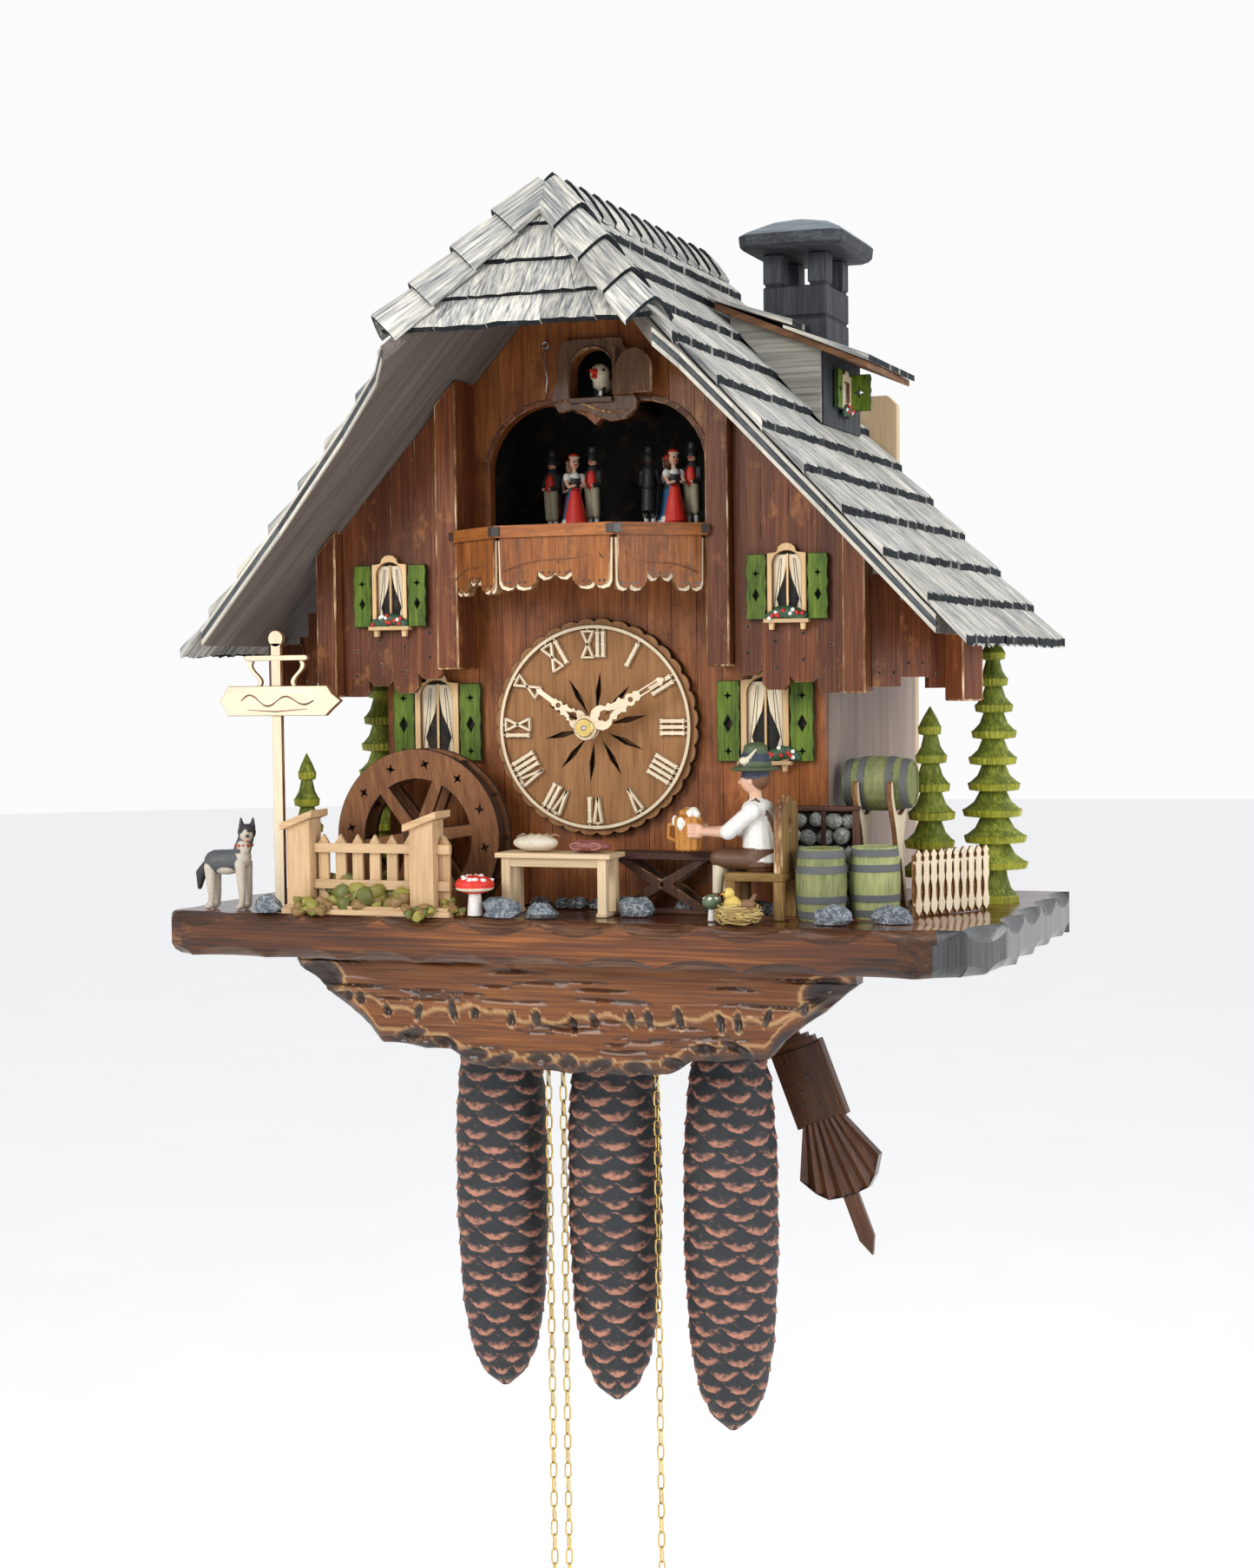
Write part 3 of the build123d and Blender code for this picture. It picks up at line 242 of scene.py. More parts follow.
def ball(centre, radii, rows=10, sides=14, lump=0.0, seed=0, flat=False):
    """Ellipsoid, with lumps when asked.  flat cuts it off below its centre plane."""
    luck = random.Random(seed)
    centre = np.asarray(centre, float)
    radii = np.asarray(radii if hasattr(radii, "__len__") else [radii] * 3, float)
    waves = [(np.array([luck.gauss(0, 1.6) for _ in range(3)]), luck.uniform(0, 6.3)) for _ in range(6)]
    verts, faces = [], []
    for i in range(1, rows):
        t = math.pi * i / rows
        for j in range(sides):
            a = 2 * math.pi * (j + 0.5 * (i % 2)) / sides
            verts.append(np.array([math.sin(t) * math.cos(a), math.sin(t) * math.sin(a), math.cos(t)]))
    verts += [np.array([0.0, 0.0, 1.0]), np.array([0.0, 0.0, -1.0])]
    out = []
    for v in verts:
        swell = 1 + lump * sum(math.sin(np.dot(v, k) * 1.5 + p) for k, p in waves) / 3
        q = v * swell * radii
        if flat:
            q[2] = max(q[2], -0.35 * radii[2])
        out.append(centre + q)
    for i in range(rows - 2):
        for j in range(sides):
            k = (j + 1) % sides
            a, b, c, d = i * sides + j, i * sides + k, (i + 1) * sides + k, (i + 1) * sides + j
            faces.append((a, b, c, d))
    top, low, last = len(out) - 2, len(out) - 1, (rows - 2) * sides
    for j in range(sides):
        k = (j + 1) % sides
        faces.append((top, k, j))
        faces.append((low, last + j, last + k))
    return out, faces


def plate(outlines, w0, w1, bevel=0.3):
    """Sawn board: the first outline is its edge and the others are holes.

    Its rim takes the second material.
    """
    curve = bpy.data.curves.new("plate", "CURVE")
    curve.dimensions = "2D"
    curve.fill_mode = "BOTH"
    curve.extrude = (w1 - w0) / 2 - bevel
    curve.bevel_depth = bevel
    curve.offset = -bevel
    curve.bevel_resolution = 0
    for outline in outlines:
        spline = curve.splines.new("POLY")
        spline.points.add(len(outline) - 1)
        for p, (u, v) in zip(spline.points, outline):
            p.co = (u, v, 0, 1)
        spline.use_cyclic_u = True
    holder = bpy.data.objects.new("plate", curve)
    link(holder)
    mesh = bpy.data.meshes.new_from_object(holder.evaluated_get(bpy.context.evaluated_depsgraph_get()))
    bpy.data.objects.remove(holder)
    bpy.data.curves.remove(curve)
    middle = (w0 + w1) / 2
    verts = [(v.co.x, v.co.y, v.co.z + middle) for v in mesh.vertices]
    faces = [tuple(p.vertices) for p in mesh.polygons]
    mats = [0 if abs(p.normal.z) > 0.95 else 1 for p in mesh.polygons]
    bpy.data.meshes.remove(mesh)
    return verts, faces, mats


def make(name, shape, body, materials, replaces=(), bevel=0.0, worn=None, angle=35):
    """A Blender piece from a Shape: it rides on a body and takes the finish of a slot."""
    mesh = bpy.data.meshes.new(name)
    mesh.from_pydata(metres(np.concatenate(shape.verts)).tolist(), [], shape.faces)
    for material in materials:
        mesh.materials.append(material)
    mesh.polygons.foreach_set("material_index", shape.mats)
    mesh.attributes.new("grain", "FLOAT_VECTOR", "POINT").data.foreach_set(
        "vector", np.concatenate(shape.grain).astype(np.float32).ravel())
    mesh.attributes.new("tone", "FLOAT", "POINT").data.foreach_set(
        "value", np.concatenate(shape.tone).astype(np.float32))
    mesh.attributes.new("paint", "FLOAT_COLOR", "POINT").data.foreach_set(
        "color", np.concatenate(shape.paint).astype(np.float32).ravel())
    tidy(mesh, angle)
    piece = bpy.data.objects.new(name, mesh)
    link(piece)
    if bevel:
        rounding = piece.modifiers.new("edges", "BEVEL")
        rounding.width = bevel * MM
        rounding.segments = 2
        rounding.limit_method = "ANGLE"
        rounding.angle_limit = math.radians(40)
        rounding.harden_normals = True
        if worn is not None:
            rounding.material = worn
    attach(piece, body)
    if replaces:
        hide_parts(*replaces)
    return piece


def tidy(mesh, angle):
    """Outward normals, smooth faces and sharp edges past an angle."""
    work = bmesh.new()
    work.from_mesh(mesh)
    bmesh.ops.dissolve_degenerate(work, dist=1e-7, edges=work.edges)
    bmesh.ops.recalc_face_normals(work, faces=work.faces)
    limit = math.radians(angle)
    for face in work.faces:
        face.smooth = True
    for edge in work.edges:
        edge.smooth = len(edge.link_faces) == 2 and edge.calc_face_angle(0) < limit
    work.to_mesh(mesh)
    work.free()


def cut(piece, cutters):
    """Take closed shapes away from a piece."""
    mesh = bpy.data.meshes.new("cutter")
    mesh.from_pydata(metres(np.concatenate(cutters.verts)).tolist(), [], cutters.faces)
    tidy(mesh, 30)
    tool = bpy.data.objects.new("cutter", mesh)
    link(tool)
    step = piece.modifiers.new("cut", "BOOLEAN")
    step.object = tool
    step.solver = "EXACT"
    step.use_self = True
    piece.modifiers.move(len(piece.modifiers) - 1, 0)
    bpy.context.view_layer.update()
    bare = [m for m in piece.modifiers if m != step]
    shown = [m.show_viewport for m in bare]
    for m in bare:
        m.show_viewport = False
    result = bpy.data.meshes.new_from_object(piece.evaluated_get(bpy.context.evaluated_depsgraph_get()))
    for m, on in zip(bare, shown):
        m.show_viewport = on
    piece.modifiers.remove(step)
    piece.data = result
    bpy.data.objects.remove(tool)


# ---- sculpted figures ---------------------------------------------------------------------------
def capsule(p0, p1, r0, r1, colour, flat=False, bias=0.0):
    return {"kind": "capsule", "p0": np.array(p0, float), "p1": np.array(p1, float), "r0": r0, "r1": r1,
            "colour": colour, "flat": flat, "bias": bias}


def egg(centre, radii, colour, bias=0.0):
    radii = radii if hasattr(radii, "__len__") else (radii,) * 3
    return {"kind": "egg", "p0": np.array(centre, float), "radii": np.array(radii, float), "colour": colour,
            "bias": bias}


def blob_shell(blob):
    if blob["kind"] == "egg":
        return ball(blob["p0"], blob["radii"], 12, 16)
    length = float(np.linalg.norm(blob["p1"] - blob["p0"]))
    r0, r1 = blob["r0"], blob["r1"]
    if blob["flat"]:
        profile = [(0, r0 * 0.01), (0, r0), (length, r1), (length, r1 * 0.01)]
    else:
        profile = [(-r0 * math.cos(t), max(r0 * math.sin(t), 0.01 * r0)) for t in (0, 0.5, 1.0, 1.5)]
        profile += [(length + r1 * math.sin(t), max(r1 * math.cos(t), 0.01 * r1))
                    for t in (0.07, 0.6, 1.1, 1.57)]
    return lathe(profile, blob["p0"], blob["p1"] - blob["p0"], 16)


def blob_distance(blob, points):
    """About how far outside a blob each point is."""
    if blob["kind"] == "egg":
        q = np.linalg.norm((points - blob["p0"]) / blob["radii"], axis=1)
        return (q - 1) * blob["radii"].min() - blob["bias"]
    span = blob["p1"] - blob["p0"]
    t = np.clip(((points - blob["p0"]) @ span) / (span @ span), 0, 1)
    near = blob["p0"] + t[:, None] * span
    radius = blob["r0"] + (blob["r1"] - blob["r0"]) * t
    return np.linalg.norm(points - near, axis=1) - radius - blob["bias"]


def sculpt(name, blobs, voxel, smooth=4, roughen=0.0):
    """One skin over many blobs, painted by whichever blob is nearest.

    Millimetres about the figure's foot.
    """
    shape = Shape()
    for blob in blobs:
        shape.add(blob_shell(blob), Plain)
    mesh = bpy.data.meshes.new(name)
    mesh.from_pydata((np.concatenate(shape.verts) * MM).tolist(), [], shape.faces)
    tidy(mesh, 180)
    holder = bpy.data.objects.new(name, mesh)
    link(holder)
    skin = holder.modifiers.new("skin", "REMESH")
    skin.mode = "VOXEL"
    skin.voxel_size = voxel * MM
    ease = holder.modifiers.new("ease", "SMOOTH")
    ease.iterations = smooth
    ease.factor = 0.5
    result = bpy.data.meshes.new_from_object(holder.evaluated_get(bpy.context.evaluated_depsgraph_get()))
    bpy.data.objects.remove(holder)
    co = np.zeros(len(result.vertices) * 3)
    result.vertices.foreach_get("co", co)
    points = co.reshape(-1, 3) / MM
    distance = np.stack([blob_distance(b, points) for b in blobs])
    colours = np.array([[*b["colour"], 1.0] for b in blobs])[distance.argmin(axis=0)]
    if roughen:
        luck = np.random.default_rng(5)
        points = points + luck.normal(0, roughen, points.shape)
        result.vertices.foreach_set("co", (points * MM).ravel())
    result.attributes.new("paint", "FLOAT_COLOR",
                          "POINT").data.foreach_set("color", colours.astype(np.float32).ravel())
    result.attributes.new("grain", "FLOAT_VECTOR",
                          "POINT").data.foreach_set("vector", points.astype(np.float32).ravel())
    for face in result.polygons:
        face.use_smooth = True
    result.materials.append(RESIN)
    return result


def stand(name, mesh, foot, heading, body, scale=1.0):
    """Set a sculpted figure on its spot, facing the viewer at heading 0."""
    piece = bpy.data.objects.new(name, mesh)
    link(piece)
    piece.location = point(*foot)
    piece.rotation_euler = (0, 0, math.radians(heading))
    piece.scale = (scale,) * 3
    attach(piece, body)
    return piece


# ---- materials ----------------------------------------------------------------------------------
def node(tree, kind, inputs=None, **settings):
    made = tree.nodes.new(kind)
    for key, value in settings.items():
        setattr(made, key, value)
    for key, value in (inputs or {}).items():
        socket = made.inputs[key]
        if isinstance(value, bpy.types.NodeSocket):
            tree.links.new(value, socket)
        else:
            socket.default_value = value
    return made


def blank(name):
    material = bpy.data.materials.new(name)
    material.use_nodes = True
    tree = material.node_tree
    return material, tree, tree.nodes["Principled BSDF"]


def mix(tree, factor, a, b, kind="MIX"):
    made = node(tree, "ShaderNodeMix", data_type="RGBA", blend_type=kind)
    for index, value in ((0, factor), (6, a), (7, b)):
        if isinstance(value, bpy.types.NodeSocket):
            tree.links.new(value, made.inputs[index])
        else:
            made.inputs[index].default_value = (*value, 1.0) if hasattr(value, "__len__") else value
    return made.outputs[2]


def ramp(tree, factor, stops):
    made = node(tree, "ShaderNodeValToRGB", {"Fac": factor})
    elements = made.color_ramp.elements
    while len(elements) < len(stops):
        elements.new(0.5)
    for element, (position, colour) in zip(elements, stops):
        element.position = position
        element.color = (*colour, 1.0) if hasattr(colour, "__len__") else (colour, colour, colour, 1.0)
    return made.outputs["Color"]


def maths(tree, kind, a, b=0.0, clamp=False):
    made = node(tree, "ShaderNodeMath", operation=kind, use_clamp=clamp)
    for index, value in ((0, a), (1, b)):
        if isinstance(value, bpy.types.NodeSocket):
            tree.links.new(value, made.inputs[index])
        else:
            made.inputs[index].default_value = value
    return made.outputs[0]


def grain_vector(tree, coords, fibre):
    """Millimetre coordinates squeezed along the grain.

    coords is "grain" or the axis that the grain runs along.
    """
    length, width = fibre
    if coords == "grain":
        source = node(tree, "ShaderNodeAttribute", attribute_name="grain").outputs["Vector"]
        scale = (1 / length, 1 / width, 1 / width)
    else:
        source = node(tree, "ShaderNodeTexCoord").outputs["Object"]
        scale = tuple((1 / length if axis == coords else 1 / width) / MM for axis in "xyz")
    return node(tree, "ShaderNodeMapping", {"Vector": source, "Scale": scale}).outputs["Vector"]


def noise(tree, vector, scale=1.0, detail=3.0, roughness=0.6):
    return node(tree, "ShaderNodeTexNoise",
                {"Vector": vector, "Scale": scale, "Detail": detail, "Roughness": roughness}).outputs["Fac"]


def wood(name, colours, fibre=(30.0, 0.9), coords="grain", rough=0.5, coat=0.0, bump=0.3, tone=0.25,
         blotch=None, blotch_size=9.0, blotch_share=0.5, figure=0.45, contrast=(0.3, 0.7), gleam=0.28):
    """Stained wood: fine fibres and a broad figure through three colours, with blotches of a fourth."""
    material, tree, shader = blank(name)
    fine = noise(tree, grain_vector(tree, coords, fibre), detail=4.0)
    broad = noise(tree, grain_vector(tree, coords, (fibre[0] * 3, fibre[1] * 9)), detail=2.0)
    value = maths(tree, "ADD", maths(tree, "MULTIPLY", fine, 1 - figure),
                  maths(tree, "MULTIPLY", broad, figure))
    low, high = contrast
    colour = ramp(tree, value, [(low, colours[0]), ((low + high) / 2, colours[1]), (high, colours[2])])
    if blotch:
        spots = noise(tree, grain_vector(tree, coords, (blotch_size * 1.6, blotch_size)), detail=4.0,
                      roughness=0.7)
        share = ramp(tree, spots, [(0.62 - 0.25 * blotch_share, 0.0), (0.78 - 0.2 * blotch_share, 1.0)])
        colour = mix(tree, maths(tree, "MULTIPLY", share, 0.75), colour, blotch)
    shade = node(tree, "ShaderNodeAttribute", attribute_name="tone").outputs["Fac"]
    level = maths(tree, "ADD", maths(tree, "MULTIPLY", shade, tone), 1.0)
    colour = node(tree, "ShaderNodeHueSaturation", {"Color": colour, "Value": level}).outputs["Color"]
    tree.links.new(colour, shader.inputs["Base Color"])
    gloss = ramp(tree, fine, [(0.3, min(rough + 0.12, 1)), (0.7, max(rough - 0.08, 0.05))])
    tree.links.new(gloss, shader.inputs["Roughness"])
    if coat:
        shader.inputs["Coat Weight"].default_value = coat
        shader.inputs["Coat Roughness"].default_value = 0.12
    shader.inputs["Specular IOR Level"].default_value = gleam
    relief = node(tree, "ShaderNodeBump", {"Height": fine, "Strength": bump, "Distance": 0.0006})
    tree.links.new(relief.outputs["Normal"], shader.inputs["Normal"])
    return material


def painted(name, colour=None, rough=0.45, vary=0.2, size=3.0, bump=0.2, dirt=(0.2, 0.13, 0.08),
            dirt_share=0.25,
            coat=0.0):
    """Hand-laid paint or resin.  With no colour it takes each point's own paint."""
    material, tree, shader = blank(name)
    if colour is None:
        base = node(tree, "ShaderNodeAttribute", attribute_name="paint").outputs["Color"]
    else:
        base = mix(tree, 0.0, colour, colour)
    vector = grain_vector(tree, "x", (size, size))
    fine = noise(tree, vector, detail=4.0)
    coarse = noise(tree, vector, scale=0.35, detail=3.0)
    level = maths(tree, "ADD", maths(tree, "MULTIPLY", fine, vary * 2), 1.0 - vary)
    base = node(tree, "ShaderNodeHueSaturation", {"Color": base, "Value": level}).outputs["Color"]
    share = ramp(tree, coarse, [(0.5, 0.0), (0.75, dirt_share)])
    base = mix(tree, share, base, dirt)
    tree.links.new(base, shader.inputs["Base Color"])
    gloss = ramp(tree, coarse, [(0.3, rough - 0.08), (0.7, rough + 0.12)])
    tree.links.new(gloss, shader.inputs["Roughness"])
    shader.inputs["Coat Weight"].default_value = coat
    relief = node(tree, "ShaderNodeBump", {"Height": fine, "Strength": bump, "Distance": 0.0004})
    tree.links.new(relief.outputs["Normal"], shader.inputs["Normal"])
    return material


def metal(name, colour, rough=0.3, brushed=0.15, size=1.5):
    material, tree, shader = blank(name)
    fine = noise(tree, grain_vector(tree, "x", (size * 12, size)), detail=3.0)
    tarnish = noise(tree, grain_vector(tree, "x", (12.0, 12.0)), detail=3.0)
    dark = tuple(c * 0.6 for c in colour)
    base = mix(tree, ramp(tree, tarnish, [(0.35, 0.0), (0.75, 0.7)]), colour, dark)
    tree.links.new(base, shader.inputs["Base Color"])
    shader.inputs["Metallic"].default_value = 1.0
    gloss = ramp(tree, fine, [(0.3, rough), (0.7, rough + brushed)])
    tree.links.new(gloss, shader.inputs["Roughness"])
    relief = node(tree, "ShaderNodeBump", {"Height": fine, "Strength": 0.08, "Distance": 0.0003})
    tree.links.new(relief.outputs["Normal"], shader.inputs["Normal"])
    return material


SHINGLE = wood("shingle", [(0.085, 0.098, 0.112), (0.36, 0.36, 0.345), (0.74, 0.70, 0.60)], (34, 1.3),
               rough=0.85,
               bump=0.8, tone=0.2, figure=0.3, contrast=(0.34, 0.62))
SHINGLE_END = wood("shingle_end", [(0.004, 0.006, 0.008), (0.016, 0.02, 0.024), (0.10, 0.105, 0.10)],
                   (6, 1.0),
                   rough=0.95, bump=0.9, tone=0.2, contrast=(0.35, 0.75))
BARGE_DARK = wood("barge_dark", [(0.03, 0.035, 0.04), (0.07, 0.08, 0.09), (0.16, 0.17, 0.17)], (40, 0.8),
                  rough=0.8)
BARGE_PALE = wood("barge_pale", [(0.30, 0.28, 0.24), (0.50, 0.47, 0.40), (0.66, 0.62, 0.52)], (40, 0.8),
                  rough=0.8)
FRONT = wood("front_wood", coords="z",
             colours=[(0.10, 0.026, 0.007), (0.27, 0.083, 0.02), (0.43, 0.165, 0.043)], fibre=(26, 1.3),
             rough=0.38,
             bump=0.25, tone=0.2, coat=0.08, blotch=(0.11, 0.03, 0.008), blotch_size=10.0,
             blotch_share=0.42)
DARK = wood("dark_wood", [(0.042, 0.011, 0.005), (0.125, 0.034, 0.011), (0.26, 0.085, 0.026)], (45, 1.2),
            rough=0.42,
            bump=0.4, tone=0.25, coat=0.06, blotch=(0.42, 0.17, 0.05), blotch_size=16.0, blotch_share=0.14)
WORN = wood("worn_edge", [(0.10, 0.038, 0.015), (0.30, 0.15, 0.06), (0.78, 0.57, 0.33)], (14, 1.8),
            rough=0.55,
            bump=0.3, tone=0.15, contrast=(0.42, 0.62))
SIDE = wood("side_wood", [(0.20, 0.145, 0.115), (0.29, 0.22, 0.18), (0.37, 0.29, 0.245)], (50, 1.1),
            coords="z",
            rough=0.55, bump=0.15)
PALE = wood("pale_wood", [(0.52, 0.37, 0.21), (0.66, 0.50, 0.31), (0.76, 0.61, 0.42)], (30, 0.9), rough=0.6,
            bump=0.15,
            tone=0.1)
CREAM = wood("cream_wood", [(0.66, 0.53, 0.35), (0.78, 0.66, 0.47), (0.86, 0.76, 0.58)], (24, 0.8),
             rough=0.5,
             bump=0.12, tone=0.06)
TOAST = wood("toasted_edge", [(0.07, 0.025, 0.01), (0.22, 0.10, 0.04), (0.42, 0.25, 0.11)], (6, 0.6),
             rough=0.7,
             tone=0.1)
FENCE = wood("lime_wood", [(0.40, 0.24, 0.12), (0.57, 0.38, 0.21), (0.68, 0.49, 0.29)], (20, 0.8),
             rough=0.65, tone=0.1)
PLYWOOD = wood("plywood", [(0.46, 0.31, 0.17), (0.60, 0.44, 0.27), (0.68, 0.53, 0.35)], (70, 1.6),
               coords="z", rough=0.6)
BASE = wood("base_wood", [(0.022, 0.009, 0.006), (0.12, 0.036, 0.010), (0.36, 0.125, 0.028)], (70, 1.6),
            "x", rough=0.2,
            bump=0.2, tone=0.0, coat=0.6, figure=0.5, contrast=(0.36, 0.66))
EBONY = wood("gouge_wood", [(0.012, 0.011, 0.012), (0.045, 0.034, 0.03), (0.14, 0.075, 0.05)], (40, 1.2),
             rough=0.22,
             coat=0.6, tone=0.1)
DIAL_WOOD = wood("dial_wood", [(0.19, 0.078, 0.024), (0.36, 0.165, 0.056), (0.48, 0.25, 0.10)], (22, 0.7),
                 rough=0.45,
                 bump=0.25)
MOSS_GREEN = wood("shutter_green", [(0.016, 0.032, 0.004), (0.095, 0.16, 0.012), (0.20, 0.29, 0.028)],
                  (16, 0.9),
                  rough=0.5, bump=0.4, tone=0.15, blotch=(0.02, 0.03, 0.008), blotch_size=8.0,
                  blotch_share=0.35)
MAPLE = wood("maple", [(0.52, 0.31, 0.13), (0.66, 0.44, 0.22), (0.76, 0.56, 0.33)], (18, 0.8), rough=0.5,
             bump=0.15)
TREE = wood("tree_green", [(0.028, 0.042, 0.006), (0.13, 0.16, 0.018), (0.36, 0.37, 0.06)], (9, 1.4),
            rough=0.6,
            bump=0.5, tone=0.15, contrast=(0.32, 0.68))
WHEEL = wood("wheel_wood", [(0.085, 0.030, 0.011), (0.20, 0.080, 0.029), (0.33, 0.155, 0.06)], (9, 0.45),
             rough=0.6,
             bump=0.25, tone=0.1)
TABLE_DARK = wood("table_dark", [(0.03, 0.012, 0.008), (0.075, 0.03, 0.018), (0.14, 0.065, 0.035)],
                  (14, 0.6), rough=0.55)
OCHRE = wood("chair_wood", [(0.12, 0.06, 0.015), (0.26, 0.15, 0.045), (0.42, 0.28, 0.10)], (12, 1.0),
             rough=0.6, bump=0.5)
BARREL = wood("barrel_green", [(0.14, 0.17, 0.07), (0.29, 0.31, 0.13), (0.42, 0.42, 0.19)], (9, 1.2),
              rough=0.6, bump=0.35)
HOOP = painted("hoop_grey", (0.105, 0.115, 0.12), 0.65, 0.25)
SLATE = wood("slate_wood", [(0.012, 0.014, 0.017), (0.030, 0.034, 0.040), (0.075, 0.083, 0.092)], (26, 1.0),
             rough=0.6,
             bump=0.35, tone=0.12)
# Lighter copy of the slate for the chimney cap's upper slopes: painted light where the top faces the lamps.
SLATE_PAINTED_LIGHT = wood("slate_painted_light", [(0.085, 0.10, 0.115), (0.15, 0.175, 0.195), (0.26, 0.285, 0.30)], (26, 1.0),
                 rough=0.6)
BARGE_BROWN = wood("barge_brown", [(0.09, 0.04, 0.018), (0.22, 0.105, 0.05), (0.36, 0.19, 0.10)], (30, 1.0),
                   rough=0.7)
SILVER = wood("silver_board", [(0.12, 0.115, 0.10), (0.31, 0.30, 0.265), (0.56, 0.53, 0.44)], (44, 1.0),
              rough=0.8,
              bump=0.5, tone=0.1)
PENDULUM = wood("pendulum_wood", [(0.028, 0.010, 0.006), (0.075, 0.028, 0.012), (0.16, 0.065, 0.025)],
                (24, 1.0),
                rough=0.35, coat=0.2, bump=0.3, tone=0.12)
PALE_CASE = wood("pale_case", [(0.46, 0.33, 0.19), (0.58, 0.44, 0.28), (0.68, 0.54, 0.36)], (40, 1.0),
                 coords="x", rough=0.6)
RESIN = painted("painted_resin", None, 0.5, 0.16, 1.2, 0.25, (0.10, 0.06, 0.03), 0.18)
BRASS = metal("brass", (0.86, 0.63, 0.22), 0.2, 0.12)
PLATE_BRASS = metal("plate_brass", (0.78, 0.58, 0.24), 0.32, 0.2)
STEEL = metal("steel", (0.52, 0.53, 0.55), 0.28, 0.2)
# Near-black painted shade: it stands in for the shade inside the chimney, behind the windows and shutters,
# in nail holes and between the pebbles.
SHADE_BLACK = painted("painted_shade_black", (0.008, 0.007, 0.006), 0.8, 0.2)


# ---- chains -------------------------------------------------------------------------------------
CHAIN_D, WIRE_R, LINK_PITCH = 4.8, 0.55, 8.4
FREE_Y, VIEW_END_Z = 9.6, -500.0
STRAIGHT_TAIL = 24.0
HANK_TURNS, HANK_STEPS = 4, 16
FREE_CHAINS = (("left", -37.5, -9.0), ("middle", -28.5, 9.0), ("right", 28.3, 0.0))


def hank_points(low, high):
    """Two layers of long turns inside the hank's box.

    The outer layer winds across it and the inner one back.
    """
    half = (np.array(high) - np.array(low)) / 2 - CHAIN_D / 2 - 0.4
    middle = (np.array(high) + np.array(low)) / 2
    points = []
    for layer in (0, 1):
        reach_y = half[1] - layer * CHAIN_D
        reach_z = half[2] - layer * CHAIN_D
        for i in range(HANK_TURNS * HANK_STEPS):
            t = i / HANK_STEPS
            a = 2 * math.pi * t + math.pi / 2
            share = t / HANK_TURNS
            x = (2 * share - 1) * half[0] * (1 if layer == 0 else -1)
            z = math.sin(a) * (reach_z - reach_y) + math.sin(a) * reach_y * abs(math.sin(a))
            y = math.cos(a) * reach_y
            flat = max(-1.0, min(1.0, 1.7 * math.cos(a)))
            across = -flat * reach_y if abs(flat) < 1 else -math.copysign(reach_y, y)
            points.append(middle + np.array([x, across, z]))
    return points


def spline_points(points, spacing):
    """Evenly spaced points along the smooth line that has these control points, in metres."""
    curve = bpy.data.curves.new("route", "CURVE")
    curve.dimensions = "3D"
    spline = curve.splines.new("NURBS")
    spline.points.add(len(points) - 1)
    for p, q in zip(spline.points, points):
        p.co = (*q, 1)
    spline.order_u = 3
    spline.use_endpoint_u = True
    spline.resolution_u = 12
    holder = bpy.data.objects.new("route", curve)
    link(holder)
    mesh = bpy.data.meshes.new_from_object(holder.evaluated_get(bpy.context.evaluated_depsgraph_get()))
    line = np.array([v.co[:] for v in mesh.vertices])
    bpy.data.objects.remove(holder)
    steps = np.linalg.norm(np.diff(line, axis=0), axis=1)
    run = np.concatenate([[0], np.cumsum(steps)])
    count = int(run[-1] / spacing) + 1
    at = np.linspace(0, run[-1], count)
    return np.stack([np.interp(at, run, line[:, i]) for i in range(3)], axis=1), run[-1]


def link_shell(centre, along, side):
    """One oval link in millimetres."""
    half = LINK_PITCH / 2 + WIRE_R * 1.5
    round_r = CHAIN_D / 2 - WIRE_R
    path = []
    for i in range(12):
        a = turned(i, 12)
        stretch = math.copysign(half - WIRE_R - round_r, math.cos(a)) if abs(math.cos(a)) > 0.01 else 0
        path.append((math.cos(a) * round_r + stretch, math.sin(a) * round_r))
    normal = np.cross(along, side)
    rings = []
    for i, (p, q) in enumerate(path):
        ahead = np.array(path[(i + 1) % 12]) - np.array(path[i - 1])
        out2 = np.array([ahead[1], -ahead[0]]) / np.linalg.norm(ahead)
        out3 = along * out2[0] + side * out2[1]
        base = centre + along * p + side * q
        rings.append([base + (out3 * math.cos(b) + normal * math.sin(b)) * WIRE_R
                      for b in (turned(k, 6) for k in range(6))])
    rings.append(rings[0])
    verts, faces = loft(rings, caps=False)
    size = 6
    faces = [tuple(i % (12 * size) for i in face) for face in faces]
    return verts[:12 * size], faces


def chain_shape(line_mm):
    shape = Shape()
    _, side, other = frame_of(line_mm[1] - line_mm[0])
    for i in range(len(line_mm) - 1):
        d = line_mm[i + 1] - line_mm[i]
        d = d / np.linalg.norm(d)
        side = side - d * np.dot(side, d)
        side /= np.linalg.norm(side)
        other = np.cross(d, side)
        turned = (side + other) / math.sqrt(2) if i % 2 else (side - other) / math.sqrt(2)
        shape.add(link_shell((line_mm[i] + line_mm[i + 1]) / 2, d, turned), Plain)
    return shape


